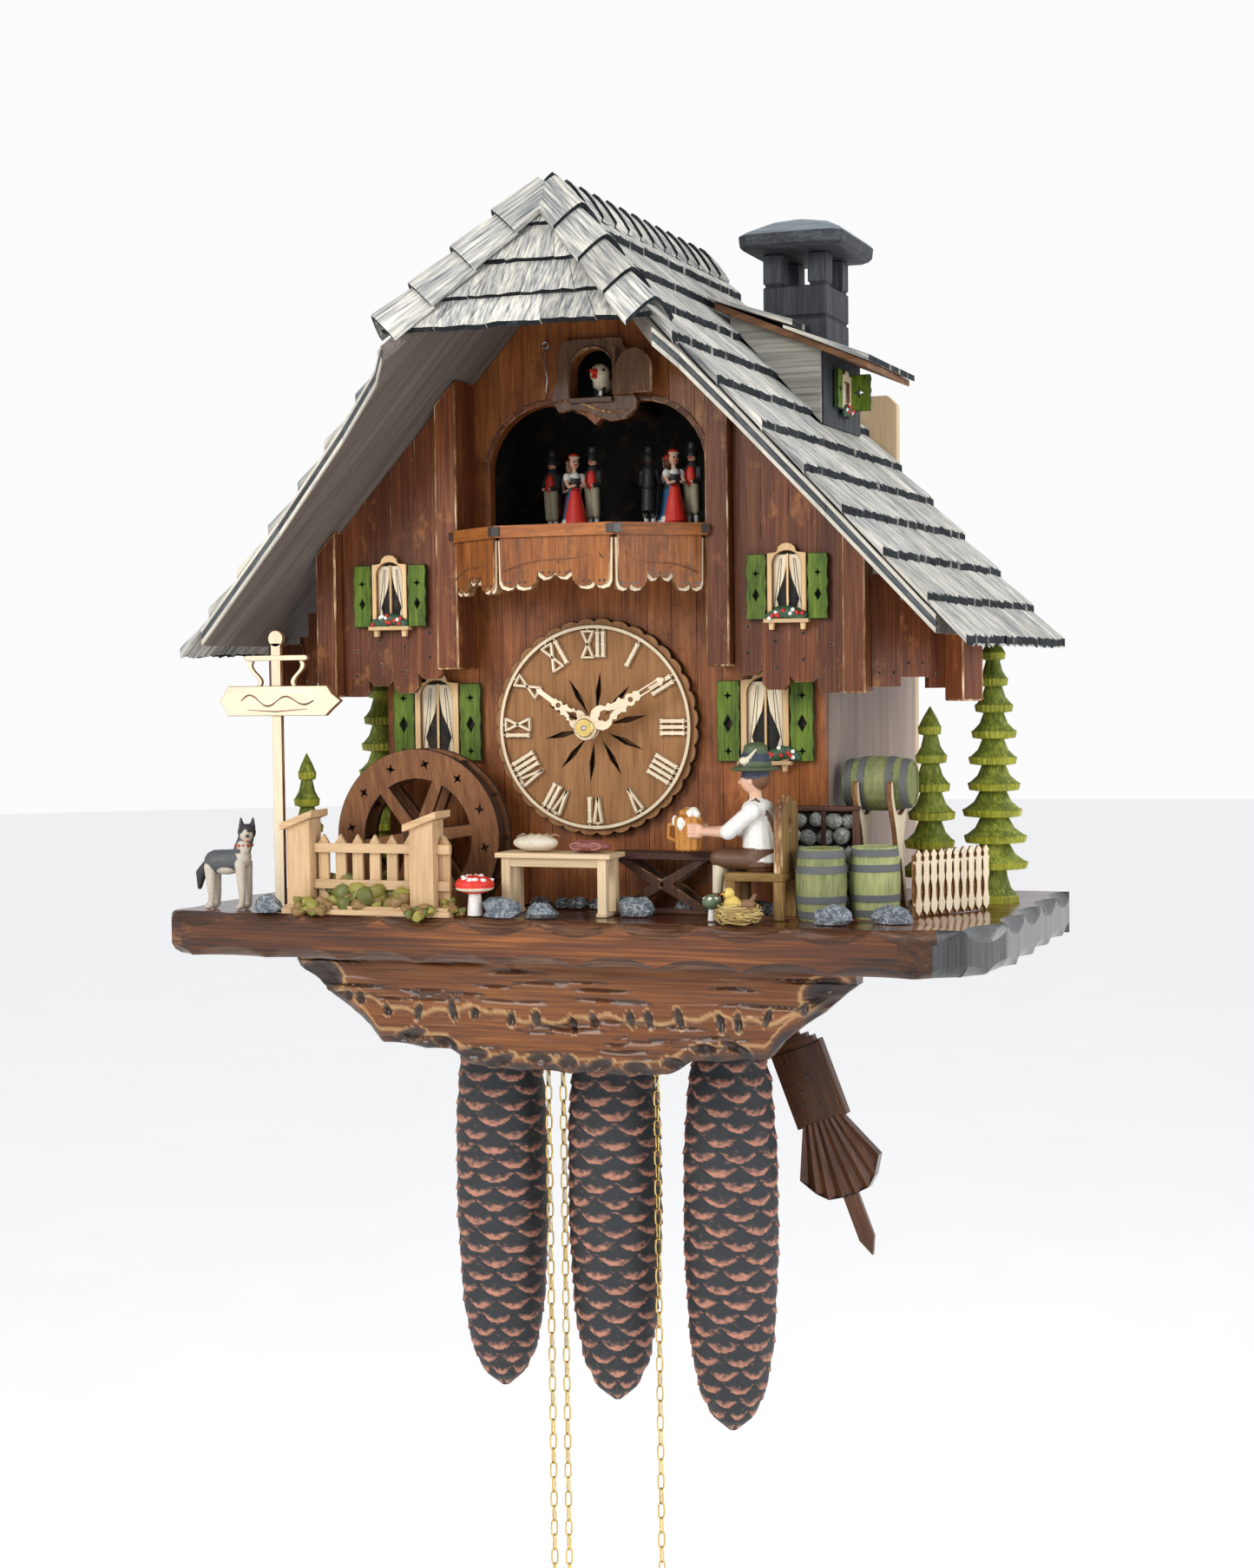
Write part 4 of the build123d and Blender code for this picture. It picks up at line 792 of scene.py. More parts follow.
def make_free_chains():
    for side, x, shift in FREE_CHAINS:
        cad, hank = f"free_chain_{side}", f"chain_hank_{side}"
        low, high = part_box(hank)
        low_mm, high_mm = ((np.array(c) - DATUM) / MM for c in (low, high))
        top = float((np.array(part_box(cad)[1]) - DATUM)[2] / MM)
        route = [(x, FREE_Y, top), (x, FREE_Y, VIEW_END_Z + STRAIGHT_TAIL), (x, FREE_Y, VIEW_END_Z),
                 (x + shift * 0.6, FREE_Y, high_mm[2] + 4)]
        route += [tuple(p) for p in hank_points(low_mm, high_mm)]
        line, length = spline_points(metres(route).tolist(), LINK_PITCH * MM)
        shape = chain_shape((line - DATUM) / MM)
        piece = make(f"chain_{side}", shape, cad, [BRASS], (cad, hank), angle=60)
        ring, tie = Shape(), Shape()
        cx, cy = (low_mm[0] + high_mm[0]) / 2, (low_mm[1] + high_mm[1]) / 2
        waist = (low_mm[2] + high_mm[2]) / 2
        hoop = [(cx + 6.5 * math.cos(a), low_mm[1] + 1.0, low_mm[2] + 16 + 6.5 * math.sin(a))
                for a in (turned(i, 20) for i in range(21))]
        ring.add(tube(hoop, 0.9, 8, caps=False), Plain)
        half_x, half_y = (high_mm[0] - low_mm[0]) / 2, (high_mm[1] - low_mm[1]) / 2
        band = [(cx + half_x * math.cos(a), cy + half_y * math.sin(a), waist + 1.5 * math.sin(2 * a))
                for a in (turned(i, 28) for i in range(29))]
        tie.add(tube(band, 0.8, 6, caps=False), Plain)
        end_ring = make(f"chain_{side}_end_ring", ring, cad, [BRASS])
        tied = make(f"chain_{side}_tie", tie, cad, [TIE])


TIE = painted("tie_thread", (0.5, 0.42, 0.3), 0.8)
make_free_chains()


# ---- roof ---------------------------------------------------------------------------------------
RIDGE_Z, ROOF_SLOPE, EAVE_X, BOARD_X = 392.0, 1.083, 226.0, 209.0
ROOF_ANGLE = math.atan(ROOF_SLOPE)
ROOF_BACK_Y = 206.5
FRONT_EDGE = ((0, -61), (75, -114), (85, -101), (110, -91), (155, -81), (226, -72))
ROWS, ROW_PITCH = 11, 20.5
HIP_SLOPE, HIP_TOP_Y, HIP_DEPTH, HIP_HALF = 1.532, -61, 53, 75
SHINGLE_T, SHINGLE_STEP = 5.2, 4.7


def roof_z(x, drop=0.0):
    return RIDGE_Z - drop - ROOF_SLOPE * abs(x)


def front_y(x):
    """Front edge of the roof in plan."""
    for (x0, y0), (x1, y1) in zip(FRONT_EDGE, FRONT_EDGE[1:]):
        if x0 <= x <= x1:
            return y0 + (y1 - y0) * (x - x0) / (x1 - x0)
    return FRONT_EDGE[-1][1]


def shingle(x0, x1, y0, y1, y0_low, ragged):
    """One split shingle on the right slope, thin at its head and thick and ragged at its butt."""
    steps = 6
    rings = []
    for share in (0.0, 0.5, 0.95, 1.0):
        top, low = [], []
        for i in range(steps + 1):
            t = i / steps
            yy0 = y0 + (y0_low - y0) * share
            y = yy0 + (y1 - yy0) * t
            reach = x1 + (ragged[i] if share == 1.0 else 0.0)
            x = x0 + (reach - x0) * share
            sunk = SHINGLE_STEP * (x1 - x) / ROW_PITCH if x < x1 else 0.0
            height = roof_z(x) - 0.4 - sunk + draw.uniform(-0.2, 0.2) - (0.5 if share == 1.0 else 0.0)
            top.append((x, y, height))
            low.append((x, y, height - (0.6 + (SHINGLE_T - 0.6) * share)))
        rings.append(top + low[::-1])
    shell = loft(rings)
    butt = [1 if len(face) > 4 and face is shell[1][-1] else 0 for face in shell[1]]
    return shell[0], shell[1], butt


def mirrored(shell):
    verts = [(-x, y, z) for x, y, z in shell[0]]
    return (verts, [face[::-1] for face in shell[1]], *shell[2:])


def shingle_rows(side):
    shape = Shape()
    grain = (math.cos(ROOF_ANGLE), 0, -math.sin(ROOF_ANGLE))
    for row in range(ROWS):
        x0 = 0.5 if row == 0 else (row - 0.2) * ROW_PITCH
        x1 = min((row + 1) * ROW_PITCH, EAVE_X - 0.8)
        y = ROOF_BACK_Y - 0.5
        while y > front_y(x1) + 4:
            width = draw.uniform(17, 27)
            y_next = y - width
            near, low = front_y(max(x0, 2)), front_y(x1)
            if y_next < low + 9:
                y_next = low + 0.6
            head = max(y_next, near + 0.6) if y_next < near + 9 and x0 < 75 else y_next
            ragged = [draw.uniform(-1.6, 0.8) for _ in range(7)]
            if row == ROWS - 1:
                ragged = [draw.uniform(-2.2, 0.0) for _ in range(7)]
            shell = shingle(x0, x1, head + 0.25, y - 0.25, y_next + 0.25, ragged)
            shape.add(mirrored(shell) if side < 0 else shell, Plain,
                      along=(side * grain[0], 0, grain[2]), across=(0, 1, 0))
            y = y_next
    return shape


def hip_point(x, y, lift=0.0):
    return (x, y, RIDGE_Z + HIP_SLOPE * (y - HIP_TOP_Y) + lift)


def hip_rows():
    shape = Shape()
    heads = (0.0, 0.30, 0.56, 0.80, 1.0)
    counts = (2, 3, 4, 5)
    slope = Vector((0, -1, -HIP_SLOPE)).normalized()
    for row, count in enumerate(counts):
        t0, t1 = max(heads[row] - 0.06, 0.0), heads[row + 1]
        for i in range(count):
            rings = []
            ragged = [draw.uniform(-0.8, 0.8) for _ in range(6)]
            for share in (0.0, 0.5, 0.95, 1.0):
                t = t0 + (t1 - t0) * share
                top, low = [], []
                half = HIP_HALF * t
                for k in range(6):
                    u = (i + k / 5 * 0.985 + 0.007) / count * 2 - 1
                    y = HIP_TOP_Y - HIP_DEPTH * t + (ragged[k] * 0.5 if share == 1.0 else 0)
                    sunk = 3.4 * (1 - share) + draw.uniform(-0.15, 0.15)
                    thick = 0.5 + 3.2 * share
                    place = hip_point(u * half, y)
                    top.append((place[0], y + 0.84 * sunk - 1.4, place[2] - 0.54 * sunk))
                    low.append((place[0], y + 0.84 * (sunk + thick) - 1.4,
                                place[2] - 0.54 * (sunk + thick)))
                rings.append(top + low[::-1])
            shell = loft(rings)
            butt = [0] * (len(shell[1]) - 1) + [1]
            shape.add((*shell, butt), Plain, along=tuple(slope), across=(1, 0, 0))
    return shape


def folded_cap(start, end, half, height, swell, lean=(0, 0, 1), steps=10):
    """Cap tile over a ridge: two broad faces folded over a softened crest, wider at its lower end."""
    a, b = np.array(start, float), np.array(end, float)
    d = (b - a) / np.linalg.norm(b - a)
    up = np.array(lean, float)
    up = up - d * np.dot(up, d)
    up /= np.linalg.norm(up)
    side = np.cross(d, up)
    rings = []
    for t, grow in ((0.0, 1.0), (0.5, (1 + swell) / 2), (0.97, swell), (1.0, swell * 0.98)):
        centre = a + (b - a) * t
        outer, inner = [], []
        for i in range(steps + 1):
            u = 2 * i / steps - 1
            rise = height * (1 - 1.7 * abs(u) ** 1.35) * grow + draw.uniform(-0.15, 0.15)
            outer.append(centre + side * half * u * grow + up * rise)
            inner.append(centre + side * half * u * grow * 0.93 + up * (rise - 2.6))
        rings.append(outer + inner[::-1])
    shell = loft(rings)
    ends = [0] * (len(shell[1]) - 2) + [1, 1]
    return (shell[0], shell[1], ends), tuple(d), tuple(side)


def cap_tiles():
    shape = Shape()
    for i in range(13):
        y = -60.0 + i * 20.4
        end = min(y + 21.4, 205.5)
        shell, d, side = folded_cap((0, end, 384.6), (0, y, 386.4), 13.0, 9.5, 1.12)
        shape.add(shell, Plain, along=d, across=side)
    for side in (-1, 1):
        top, foot = np.array((side * 2.0, -64.0, 390.5)), np.array((side * 75.5, -114.8, 311.5))
        for i in range(4):
            a = top + (foot - top) * (i / 4) - (0, 0, 2.6)
            b = top + (foot - top) * min((i + 1) / 4 + 0.03, 1.0) + (0, 0, 0.6)
            shell, d, across = folded_cap(a, b, 12.5, 6.8, 1.16, (side * 0.55, -0.6, 0.9))
            shape.add(shell, Plain, along=d, across=across)
    return shape


def barge_stripes(side):
    """Front edge of the roof: layered pale and dark strips under the shingles' ends."""
    shape = Shape()
    layers = ((7.4, 9.7, 1.2, 0), (9.9, 13.6, 0.4, 1), (13.8, 16.6, 1.0, 0))
    for top, low, proud, mat in layers:
        for (x0, y0), (x1, y1) in zip(FRONT_EDGE[1:-1], FRONT_EDGE[2:]):
            x1 = min(x1, BOARD_X)
            y1 = front_y(x1)
            ring0 = [(x0, y0 - proud, roof_z(x0, top)), (x0, y0 + 4, roof_z(x0, top)),
                     (x0, y0 + 4, roof_z(x0, low)), (x0, y0 - proud, roof_z(x0, low))]
            ring1 = [(x1, y1 - proud, roof_z(x1, top)), (x1, y1 + 4, roof_z(x1, top)),
                     (x1, y1 + 4, roof_z(x1, low)), (x1, y1 - proud, roof_z(x1, low))]
            shell = loft([ring0, ring1])
            shape.add(mirrored(shell) if side < 0 else shell, Plain, mat,
                      along=(side * 0.68, 0, -0.73), across=(0, 1, 0))
    return shape


def make_roof():
    for side, name in ((-1, "shingles_left"), (1, "shingles_right")):
        make(name + "_split", shingle_rows(side), "case", [SHINGLE, SHINGLE_END], (name,),
             angle=30)
        make(name + "_barge", barge_stripes(side), "case", [BARGE_PALE, BARGE_DARK],
             bevel=0.3)
    make("shingles_hip_split", hip_rows(), "case", [SHINGLE, SHINGLE_END],
         ("shingles_hip",), angle=30)
    make("cap_tiles", cap_tiles(), "case", [SHINGLE, SHINGLE_END], ("ridge_caps",),
         angle=40)


make_roof()


# ---- dormer and chimney -------------------------------------------------------------------------
LID_X, LID_Y, DORMER_Y, DORMER_X = (44.0, 140.5), (66.5, 172.5), 80.0, 108.0


def lid_z(x):
    return 344 - 0.43 * (x - 46)


def make_dormer():
    lid, walls = Shape(), Shape()
    rows = ((LID_X[0], 96.0, 0.6, 5), (89.0, LID_X[1], 0.3, 6))
    for x0, x1, lift, count in rows:
        for i in range(count):
            a = LID_Y[0] + (LID_Y[1] - LID_Y[0]) * i / count
            b = LID_Y[0] + (LID_Y[1] - LID_Y[0]) * (i + 1) / count - 0.6
            far = x1 - draw.uniform(0, 2.5)
            rise = lift + (3.2 if x0 < 60 else 0.4)
            shell = loft([[(x0, a, lid_z(x0) + 0.3), (x0, b, lid_z(x0) + 0.3),
                           (x0, b, lid_z(x0) + 2.2), (x0, a, lid_z(x0) + 2.2)],
                          [(far, a, lid_z(far) + rise), (far, b, lid_z(far) + rise),
                           (far, b, lid_z(far) + rise + 3.6), (far, a, lid_z(far) + rise + 3.6)]])
            far_end_dark = [0] * (len(shell[1]) - 1) + [1]
            lid.add((*shell, far_end_dark), Plain, along=(0.92, 0, -0.39), across=(0, 1, 0))
    side = [(54, roof_z(54) - 2.5), (DORMER_X, roof_z(DORMER_X) - 2.5), (DORMER_X, lid_z(DORMER_X) - 0.2),
            (54, lid_z(54) - 0.2)]
    for w in (-DORMER_Y - 0.2, -164.5):
        walls.add(prism(side, w, w + 2.7), FACADE, 0, **LEVEL)
    end_wall = Place((DORMER_X, 0, 0), 90)
    for i in range(7):
        u0 = DORMER_Y + i * 12.1
        walls.add(slab(u0, u0 + 11.8, roof_z(DORMER_X) - 3, lid_z(DORMER_X + 0.3) - 0.2, -1.2, 0.35),
                  end_wall, 1)
    walls.add(slab(DORMER_Y - 0.3, DORMER_Y + 3.6, roof_z(DORMER_X) - 3, lid_z(DORMER_X + 0.3) - 0.2, 0.3,
                   1.2), end_wall, 1)
    make("dormer_lid_boards", lid, "case", [SHINGLE, SHINGLE_END], (), bevel=0.35)
    make("dormer_walls", walls, "case", [SILVER, SLATE], ("dormer",), bevel=0.3)
    trim = Shape()
    trim.add(prism([(47, lid_z(47) - 4.2), (137, lid_z(137) - 3.6), (137, lid_z(137) + 0.2),
                    (47, lid_z(47) + 0.2)],
                   -171.5, -70.5), FACADE, 0, **LEVEL)
    make("dormer_fascia", trim, "case", [BARGE_BROWN], (), bevel=0.4)


CHIMNEY_X, CHIMNEY_Y, CHIMNEY_WALL = (69.0, 107.0), (95.0, 143.0), 4.0
COURSES = ((286.0, 316.6), (317.6, 335.2), (336.2, 354.0))
CAP_Z = 373.0


def box_outline(inset):
    (x0, x1), (y0, y1) = CHIMNEY_X, CHIMNEY_Y
    return [(x0 + inset, y0 + inset), (x1 - inset, y0 + inset), (x1 - inset, y1 - inset),
            (x0 + inset, y1 - inset)]


def make_chimney():
    shape, shade_lining = Shape(), Shape()
    for low, high in COURSES:
        shape.add(plate([box_outline(0), box_outline(CHIMNEY_WALL)], low, high, 0.9), Plain,
                  along=(0, 0, 1), across=(1, 1, 0))
    # Painted shade: the near-black lining, post feet and floor inside the chimney stand in for the shade in
    # its hollow.
    shade_lining.add(plate([box_outline(0.9), box_outline(CHIMNEY_WALL - 0.5)], 290, CAP_Z - 19, 0.1), Plain)
    post_x, post_y = 11.2, 13.0
    for x0 in (CHIMNEY_X[0], CHIMNEY_X[1] - post_x):
        for y0 in (CHIMNEY_Y[0], CHIMNEY_Y[1] - post_y):
            post = [(x0, y0), (x0 + post_x, y0), (x0 + post_x, y0 + post_y), (x0, y0 + post_y)]
            shape.add(plate([post], 355.0, CAP_Z - 0.2, 0.9), Plain, along=(0, 0, 1), across=(1, 1, 0))
            shade_lining.add(plate([[(x + (1 if x == x0 else -1), y + (1 if y == y0 else -1)) for x, y in post]],
                           353.5, 355.5,
                           0.1), Plain)
    floor = box_outline(1.2)
    shade_lining.add(loft([[(x, y, z) for x, y in floor] for z in (352.5, 353.6)]), Plain)
    make("chimney_blocks", shape, "case", [SLATE, SLATE], ("chimney",))
    make("chimney_shade_lining", shade_lining, "case", [SHADE_BLACK, SHADE_BLACK])
    cap = Shape()
    rings = []
    for z, inset, corner in ((373.0, 3.0, 5.0), (375.5, 0.6, 6.0), (381.5, 0.0, 6.0), (384.5, 3.5, 7.0),
                             (389.5, 13.0, 7.0),
                             (392.2, 23.0, 6.0)):
        x0, x1, y0, y1 = 58.3 + inset, 120.7 - inset, 75.3 + inset, 156.7 - inset
        rings.append([(x0 + corner, y0, z), (x1 - corner, y0, z), (x1, y0 + corner, z),
                      (x1, y1 - corner, z),
                      (x1 - corner, y1, z), (x0 + corner, y1, z), (x0, y1 - corner, z),
                      (x0, y0 + corner, z)])
    cap.add(loft(rings[:3]), Plain, 1, along=(1, 0.3, 0), across=(0, 0, 1))
    # Upper slopes in the lighter slate, painted light; the band below in the plain slate.
    cap.add(loft(rings[2:]), Plain, 0, **LEVEL)
    make("chimney_cap", cap, "case", [SLATE_PAINTED_LIGHT, SLATE], (), bevel=0.7)


make_dormer()
make_chimney()


# ---- facade -------------------------------------------------------------------------------------
CASE_HALF = 131.0
PILLAR_X = (72.9, 86.0)
END_POST_X = (148.3, 161.0)
ARCH_X, ARCH_Z, ARCH_R, DECK_Z = 27.3, 244.0, 37.0, 212.0
CUCKOO_R, CUCKOO_Z, CUCKOO_FOOT = 12.9, 298.0, 283.6
DIAL_Z = 101.0
BOARD_DROP = 17.0


def eave(x):
    return roof_z(x, BOARD_DROP) - 0.8


def arch(cx, foot, cz, r, steps=18):
    points = [(cx - r, foot)]
    for i in range(steps + 1):
        a = math.pi - math.pi * i / steps
        points.append((cx + r * math.cos(a), cz + r * math.sin(a)))
    return points + [(cx + r, foot)]


def gable_plank(x0, x1, low, w0, w1):
    """Upright board cut off under the roof."""
    if x0 < 0 < x1:
        head = [(x1, eave(x1)), (0, eave(0)), (x0, eave(x0))]
    else:
        head = [(x1, eave(x1)), (x0, eave(x0))]
    return prism([(x0, low), (x1, low)] + head, w0, w1)


def make_front_panel():
    shape = Shape()
    count = 18
    width = 2 * (CASE_HALF - 0.2) / count
    for i in range(count):
        x0 = -CASE_HALF + 0.2 + i * width
        shape.add(gable_plank(x0 + 0.14, x0 + width - 0.14, 0.3, -6.8, -0.05), FACADE, 0)
    shape.add(slab(-CASE_HALF + 0.5, CASE_HALF - 0.5, 0.4, eave(CASE_HALF), -6.5, -1.2), FACADE, 1)
    shape.add(prism([(-CASE_HALF + 1, eave(CASE_HALF)), (CASE_HALF - 1, eave(CASE_HALF)), (0, eave(0) - 1)],
                    -6.5, -1.2), FACADE, 1)
    panel = make("front_planks", shape, "case", [FRONT, DARK], ("front_panel",), bevel=0.5)
    cutters = Shape()
    for side in (-1, 1):
        cutters.add(prism(arch(side * ARCH_X, DECK_Z, ARCH_Z, ARCH_R + side * 0.01, 24), -9, 2))
    cutters.add(prism(arch(0, CUCKOO_FOOT, CUCKOO_Z, CUCKOO_R), -9.02, 2.02))
    cutters.add(prism(circle(0, DIAL_Z, 4.0), -9, 2))
    cutters.add(prism(circle(-97, 40, 2.05, 16), -9, 2))
    cut(panel, cutters)
    rim = Shape()
    for side in (-1, 1):
        cx = side * ARCH_X
        for i in range(16):
            a0, a1 = math.pi * i / 16, math.pi * (i + 1) / 16
            points = [(cx + r * math.cos(a), ARCH_Z + r * math.sin(a))
                      for r, a in ((37.1, a0), (40.2, a0), (40.2, a1), (37.1, a1))]
            if all(abs(p[0]) > 0.6 and p[0] * side > 0 for p in points):
                rim.add(prism(points, 0.0, 1.3), FACADE, 0, along=(-math.sin(a0), math.cos(a0), 0),
                        across=(0, 0, 1))
    make("arch_rims", rim, "case", [DARK, WORN], (), bevel=0.4, worn=1)


def make_posts_and_wings():
    posts = Shape()
    for side in (-1, 1):
        x0, x1 = sorted((side * PILLAR_X[0], side * PILLAR_X[1]))
        posts.add(gable_plank(x0, x1, 134, 0.3, 28), FACADE, 0)
        x0, x1 = sorted((side * (END_POST_X[0] + 0.3), side * END_POST_X[1]))
        posts.add(gable_plank(x0, x1, 119, 11, 29), FACADE, 0)
    for side in (-1, 1):
        place = Place((side * 204.0, 13.5, 0), 45 * side)
        top = roof_z(204 + 10.5, BOARD_DROP) - 0.6
        posts.add(slab(-6.5, 6.5, 114, top + 8, -9, 9), place, 0)
    make("facade_posts_cut", posts, "case", [DARK, WORN], ("facade_posts",), bevel=0.9, worn=1)
    wings = Shape()
    bottoms = (129, 121, 125, 119)
    for side in (-1, 1):
        start, stop = 86.4, 148.0
        width = (stop - start) / 4
        for i, low in enumerate(bottoms):
            a, b = start + i * width, start + (i + 1) * width
            clip = 3.2
            outline = [(a + 0.1, low + clip), (a + clip, low), (b - clip - 0.1, low), (b - 0.1, low + clip),
                       (b - 0.1, eave(b)), (a + 0.1, eave(a))]
            if side < 0:
                outline = [(-u, v) for u, v in outline][::-1]
            wings.add(prism(outline, 15, 20), FACADE, 0)
            # Nail holes as near-black discs: painted shade inside the holes.
            for height in (12, 26):
                hole = circle(side * (a + b) / 2, low + height, 1.1, 10)
                wings.add(prism(hole, 19.9, 20.15), FACADE, 2)
        wings.add(slab(*sorted((side * 86.5, side * 148)), 134, 138, 0.4, 15), FACADE, 0, **LEVEL)
        place = Place((side * 161.4, -16.0, 0), 45 * side)
        for i in range(3):
            u0, u1 = i * 17.7, i * 17.7 + 17.5
            if side < 0:
                u0, u1 = -u1, -u0
            far = 161.4 + max(abs(u0), abs(u1)) * 0.7071 + 4
            low = 122 + (0, 5, -1)[i]
            wings.add(slab(u0, u1, low, roof_z(far, BOARD_DROP) - 0.8, -5, 0), place, 0)
            # Nail holes as near-black discs: painted shade inside the holes.
            for u in (u0 + 4.5, u1 - 4.5):
                wings.add(prism(circle(u, low + 7.5, 1.0, 10), -0.1, 0.15), place, 2)
        wings.add(slab(*sorted((side * 131.4, side * 170)), 128, 136, -18, -14), FACADE, 0, **LEVEL)
    make("wing_boards", wings, "case", [DARK, WORN, SHADE_BLACK], ("wing_planks",), bevel=0.7, worn=1)


def make_stage_lining():
    """Black lining behind the two arches, with a hole for the bird's rod."""
    shape = Shape()
    wall = [(-121, 207.4), (121, 207.4), (121, eave(121) - 1), (0, eave(0) - 3), (-121, eave(-121) - 1)]
    shape.add(plate([wall, circle(0, 286, 5)], -75.5, -74.2), FACADE)
    for side in (-1, 1):
        shape.add(slab(*sorted((side * 76.0, side * 77.2)), 207.4, eave(77) - 1, -74.2, -8.0), FACADE)
    make("stage_lining", shape, "case", [STAGE_BLACK])


STAGE_BLACK = painted("stage_lining_black", (0.006, 0.005, 0.005), 0.9, 0.3)
make_front_panel()
make_stage_lining()
make_posts_and_wings()


# ---- balcony ------------------------------------------------------------------------------------
BAY = ((-72.6, -28.5), (-33.5, -62.0), (33.5, -62.0), (72.6, -28.5))
RAIL_TOP = 211.0


def branch(shape, place, u0, v0, u1, v1, leaves, mat):
    """Carved twig across a panel: a bent stem with leaves to both sides."""
    steps = 12
    path = []
    for i in range(steps + 1):
        t = i / steps
        path.append((u0 + (u1 - u0) * t, v0 + (v1 - v0) * t + 1.6 * math.sin(t * 6.0), 1.1))
    shape.add(tube(path, [0.85 - 0.45 * i / steps for i in range(steps + 1)], 6), place, mat)
    for i in range(leaves):
        t = (i + 0.6) / leaves
        u, v = u0 + (u1 - u0) * t, v0 + (v1 - v0) * t + 1.6 * math.sin(t * 6.0)
        lean = math.atan2(v1 - v0, u1 - u0) + (0.9 if i % 2 else -0.9)
        reach = 5.2 + 1.2 * math.sin(i * 2.1)
        shape.add(leaf(u, v, lean, reach, 1.75, 0.9, 1.7), place, mat)


def leaf(u, v, lean, reach, half, w0, w1):
    c, s = math.cos(lean), math.sin(lean)
    rim = []
    for t, r in ((0, 0.15), (0.2, 0.8), (0.45, 1.0), (0.75, 0.62), (1.0, 0.05), (0.75, -0.62), (0.45, -1.0),
                 (0.2, -0.8)):
        a, b = t * reach, r * half
        rim.append((u + a * c - b * s, v + a * s + b * c))
    ridge = [(u + t * reach * c, v + t * reach * s) for t in (0.1, 0.5, 0.9)]
    verts = [(p[0], p[1], w0) for p in rim] + [(p[0], p[1], (w0 + w1) / 2) for p in rim]
    verts += [(*ridge[0], w1 - 0.2), (*ridge[1], w1), (*ridge[2], w1 - 0.3)]
    n = len(rim)
    faces = [tuple(range(n))[::-1]]
    faces += [(i, (i + 1) % n, n + (i + 1) % n, n + i) for i in range(n)]
    near = (0, 0, 1, 2, 2, 2, 1, 0)
    for i in range(n):
        j = (i + 1) % n
        a, b = 2 * n + near[i], 2 * n + near[j]
        faces.append((n + i, n + j, b) if a == b else (n + i, n + j, b, a))
    return verts, faces


def bay_drop(length):
    """Lower edge of a panel: lobes at both ends and a raised, pointed middle, as shares of its length."""
    side = [(0.012, 4.0), (0.035, 1.2), (0.09, 0.0), (0.135, 0.8), (0.155, 2.6), (0.175, 0.8), (0.22, 0.0),
            (0.285, 0.6),
            (0.325, 3.6), (0.33, 8.6), (0.40, 5.2), (0.455, 5.8)]
    points = [(t * length, v) for t, v in side] + [(0.5 * length, 8.2)]
    return points + [((1 - t) * length, v) for t, v in side[::-1]]


def make_balcony():
    boards, border, carving = Shape(), Shape(), Shape()
    for index, (a, b, low) in enumerate(((BAY[0], BAY[1], 174.0), (BAY[1], BAY[2], 175.5),
                                         (BAY[2], BAY[3], 174.0))):
        a, b = np.array(a), np.array(b)
        length = float(np.linalg.norm(b - a))
        place = Place((a[0], a[1], 0), math.degrees(math.atan2(b[1] - a[1], b[0] - a[0])))
        drop = [(u, low + v) for u, v in bay_drop(length)]
        outline = [(0.4, RAIL_TOP - 8)] + drop + [(length - 0.4, RAIL_TOP - 8)]
        border.add(plate([outline], -3.6, 0.2, 0.3), place, 0, **LEVEL)
        margin = 1.7
        middle = length / 2
        inner = [(margin, 204.3)]
        inner += [(u + margin * (0.9 if u < middle else -0.9 if u > middle else 0), v + margin * 1.1)
                  for u, v in drop]
        inner += [(length - margin, 204.3)]
        boards.add(plate([inner], -2.0, 1.5, 0.3), place, 0)
        for i in range(1, 5):
            u = length * i / 5 + draw.uniform(-1.5, 1.5)
            boards.add(slab(u - 0.16, u + 0.16, low + 9.5, 203.8, 1.45, 1.56), place, 2)
        for share in (0.075, 0.115, 0.2, 0.25, 0.4, 0.455, 0.545, 0.6, 0.75, 0.8, 0.885, 0.925):
            rise = 9.5 if 0.33 < share < 0.67 else 4.6
            boards.add(prism(circle(share * length, low + rise, 0.75, 10), 1.45, 1.6), place, 2)
        boards.add(slab(-0.8, length + 0.8, 204.2, RAIL_TOP - 0.3, -5.0, 3.2), place, 0, **LEVEL)
        ends = ((2, 184, length - 4, 194), (4, 186, length - 4, 197), (length - 4, 184, 4, 194))[index]
        branch(carving, place, *ends, 5, 0)
        for u in (0.6, length - 0.6):
            boards.add(slab(u - 2.2, u + 2.2, 205.2, RAIL_TOP - 1.0, 2.2, 4.2), place, 2)
    for x, y in BAY:
        boards.add(lathe([(0, 2.0), (6.6, 2.0)], (x * 0.99, y * 0.99 + 0.3, 204.2), (0, 0, 1), 8), Plain, 2)
    floor = prism([(-70, -0.5), (-70, -27), (-32, -59.5), (32, -59.5), (70, -27), (70, -0.5)], 203.5, 206)
    boards.add(floor, Plain, 0, **DEEP)
    make("balcony_boards", boards, "case", [FRONT_BAY, WORN, EBONY], ("balcony",), bevel=0.3)
    make("balcony_border", border, "case", [CREAM, TOAST])
    make("balcony_carving", carving, "case", [TWIG, WORN], (), angle=60)


TWIG = wood("twig", [(0.06, 0.02, 0.008), (0.17, 0.06, 0.02), (0.28, 0.12, 0.04)], (10, 0.8), rough=0.5)
FRONT_BAY = wood("bay_wood", [(0.12, 0.032, 0.007), (0.30, 0.092, 0.018), (0.46, 0.17, 0.038)], (22, 1.2),
                 rough=0.42,
                 bump=0.3, tone=0.15, coat=0.12, blotch=(0.13, 0.05, 0.02), blotch_size=9.0,
                 blotch_share=0.4)
make_balcony()


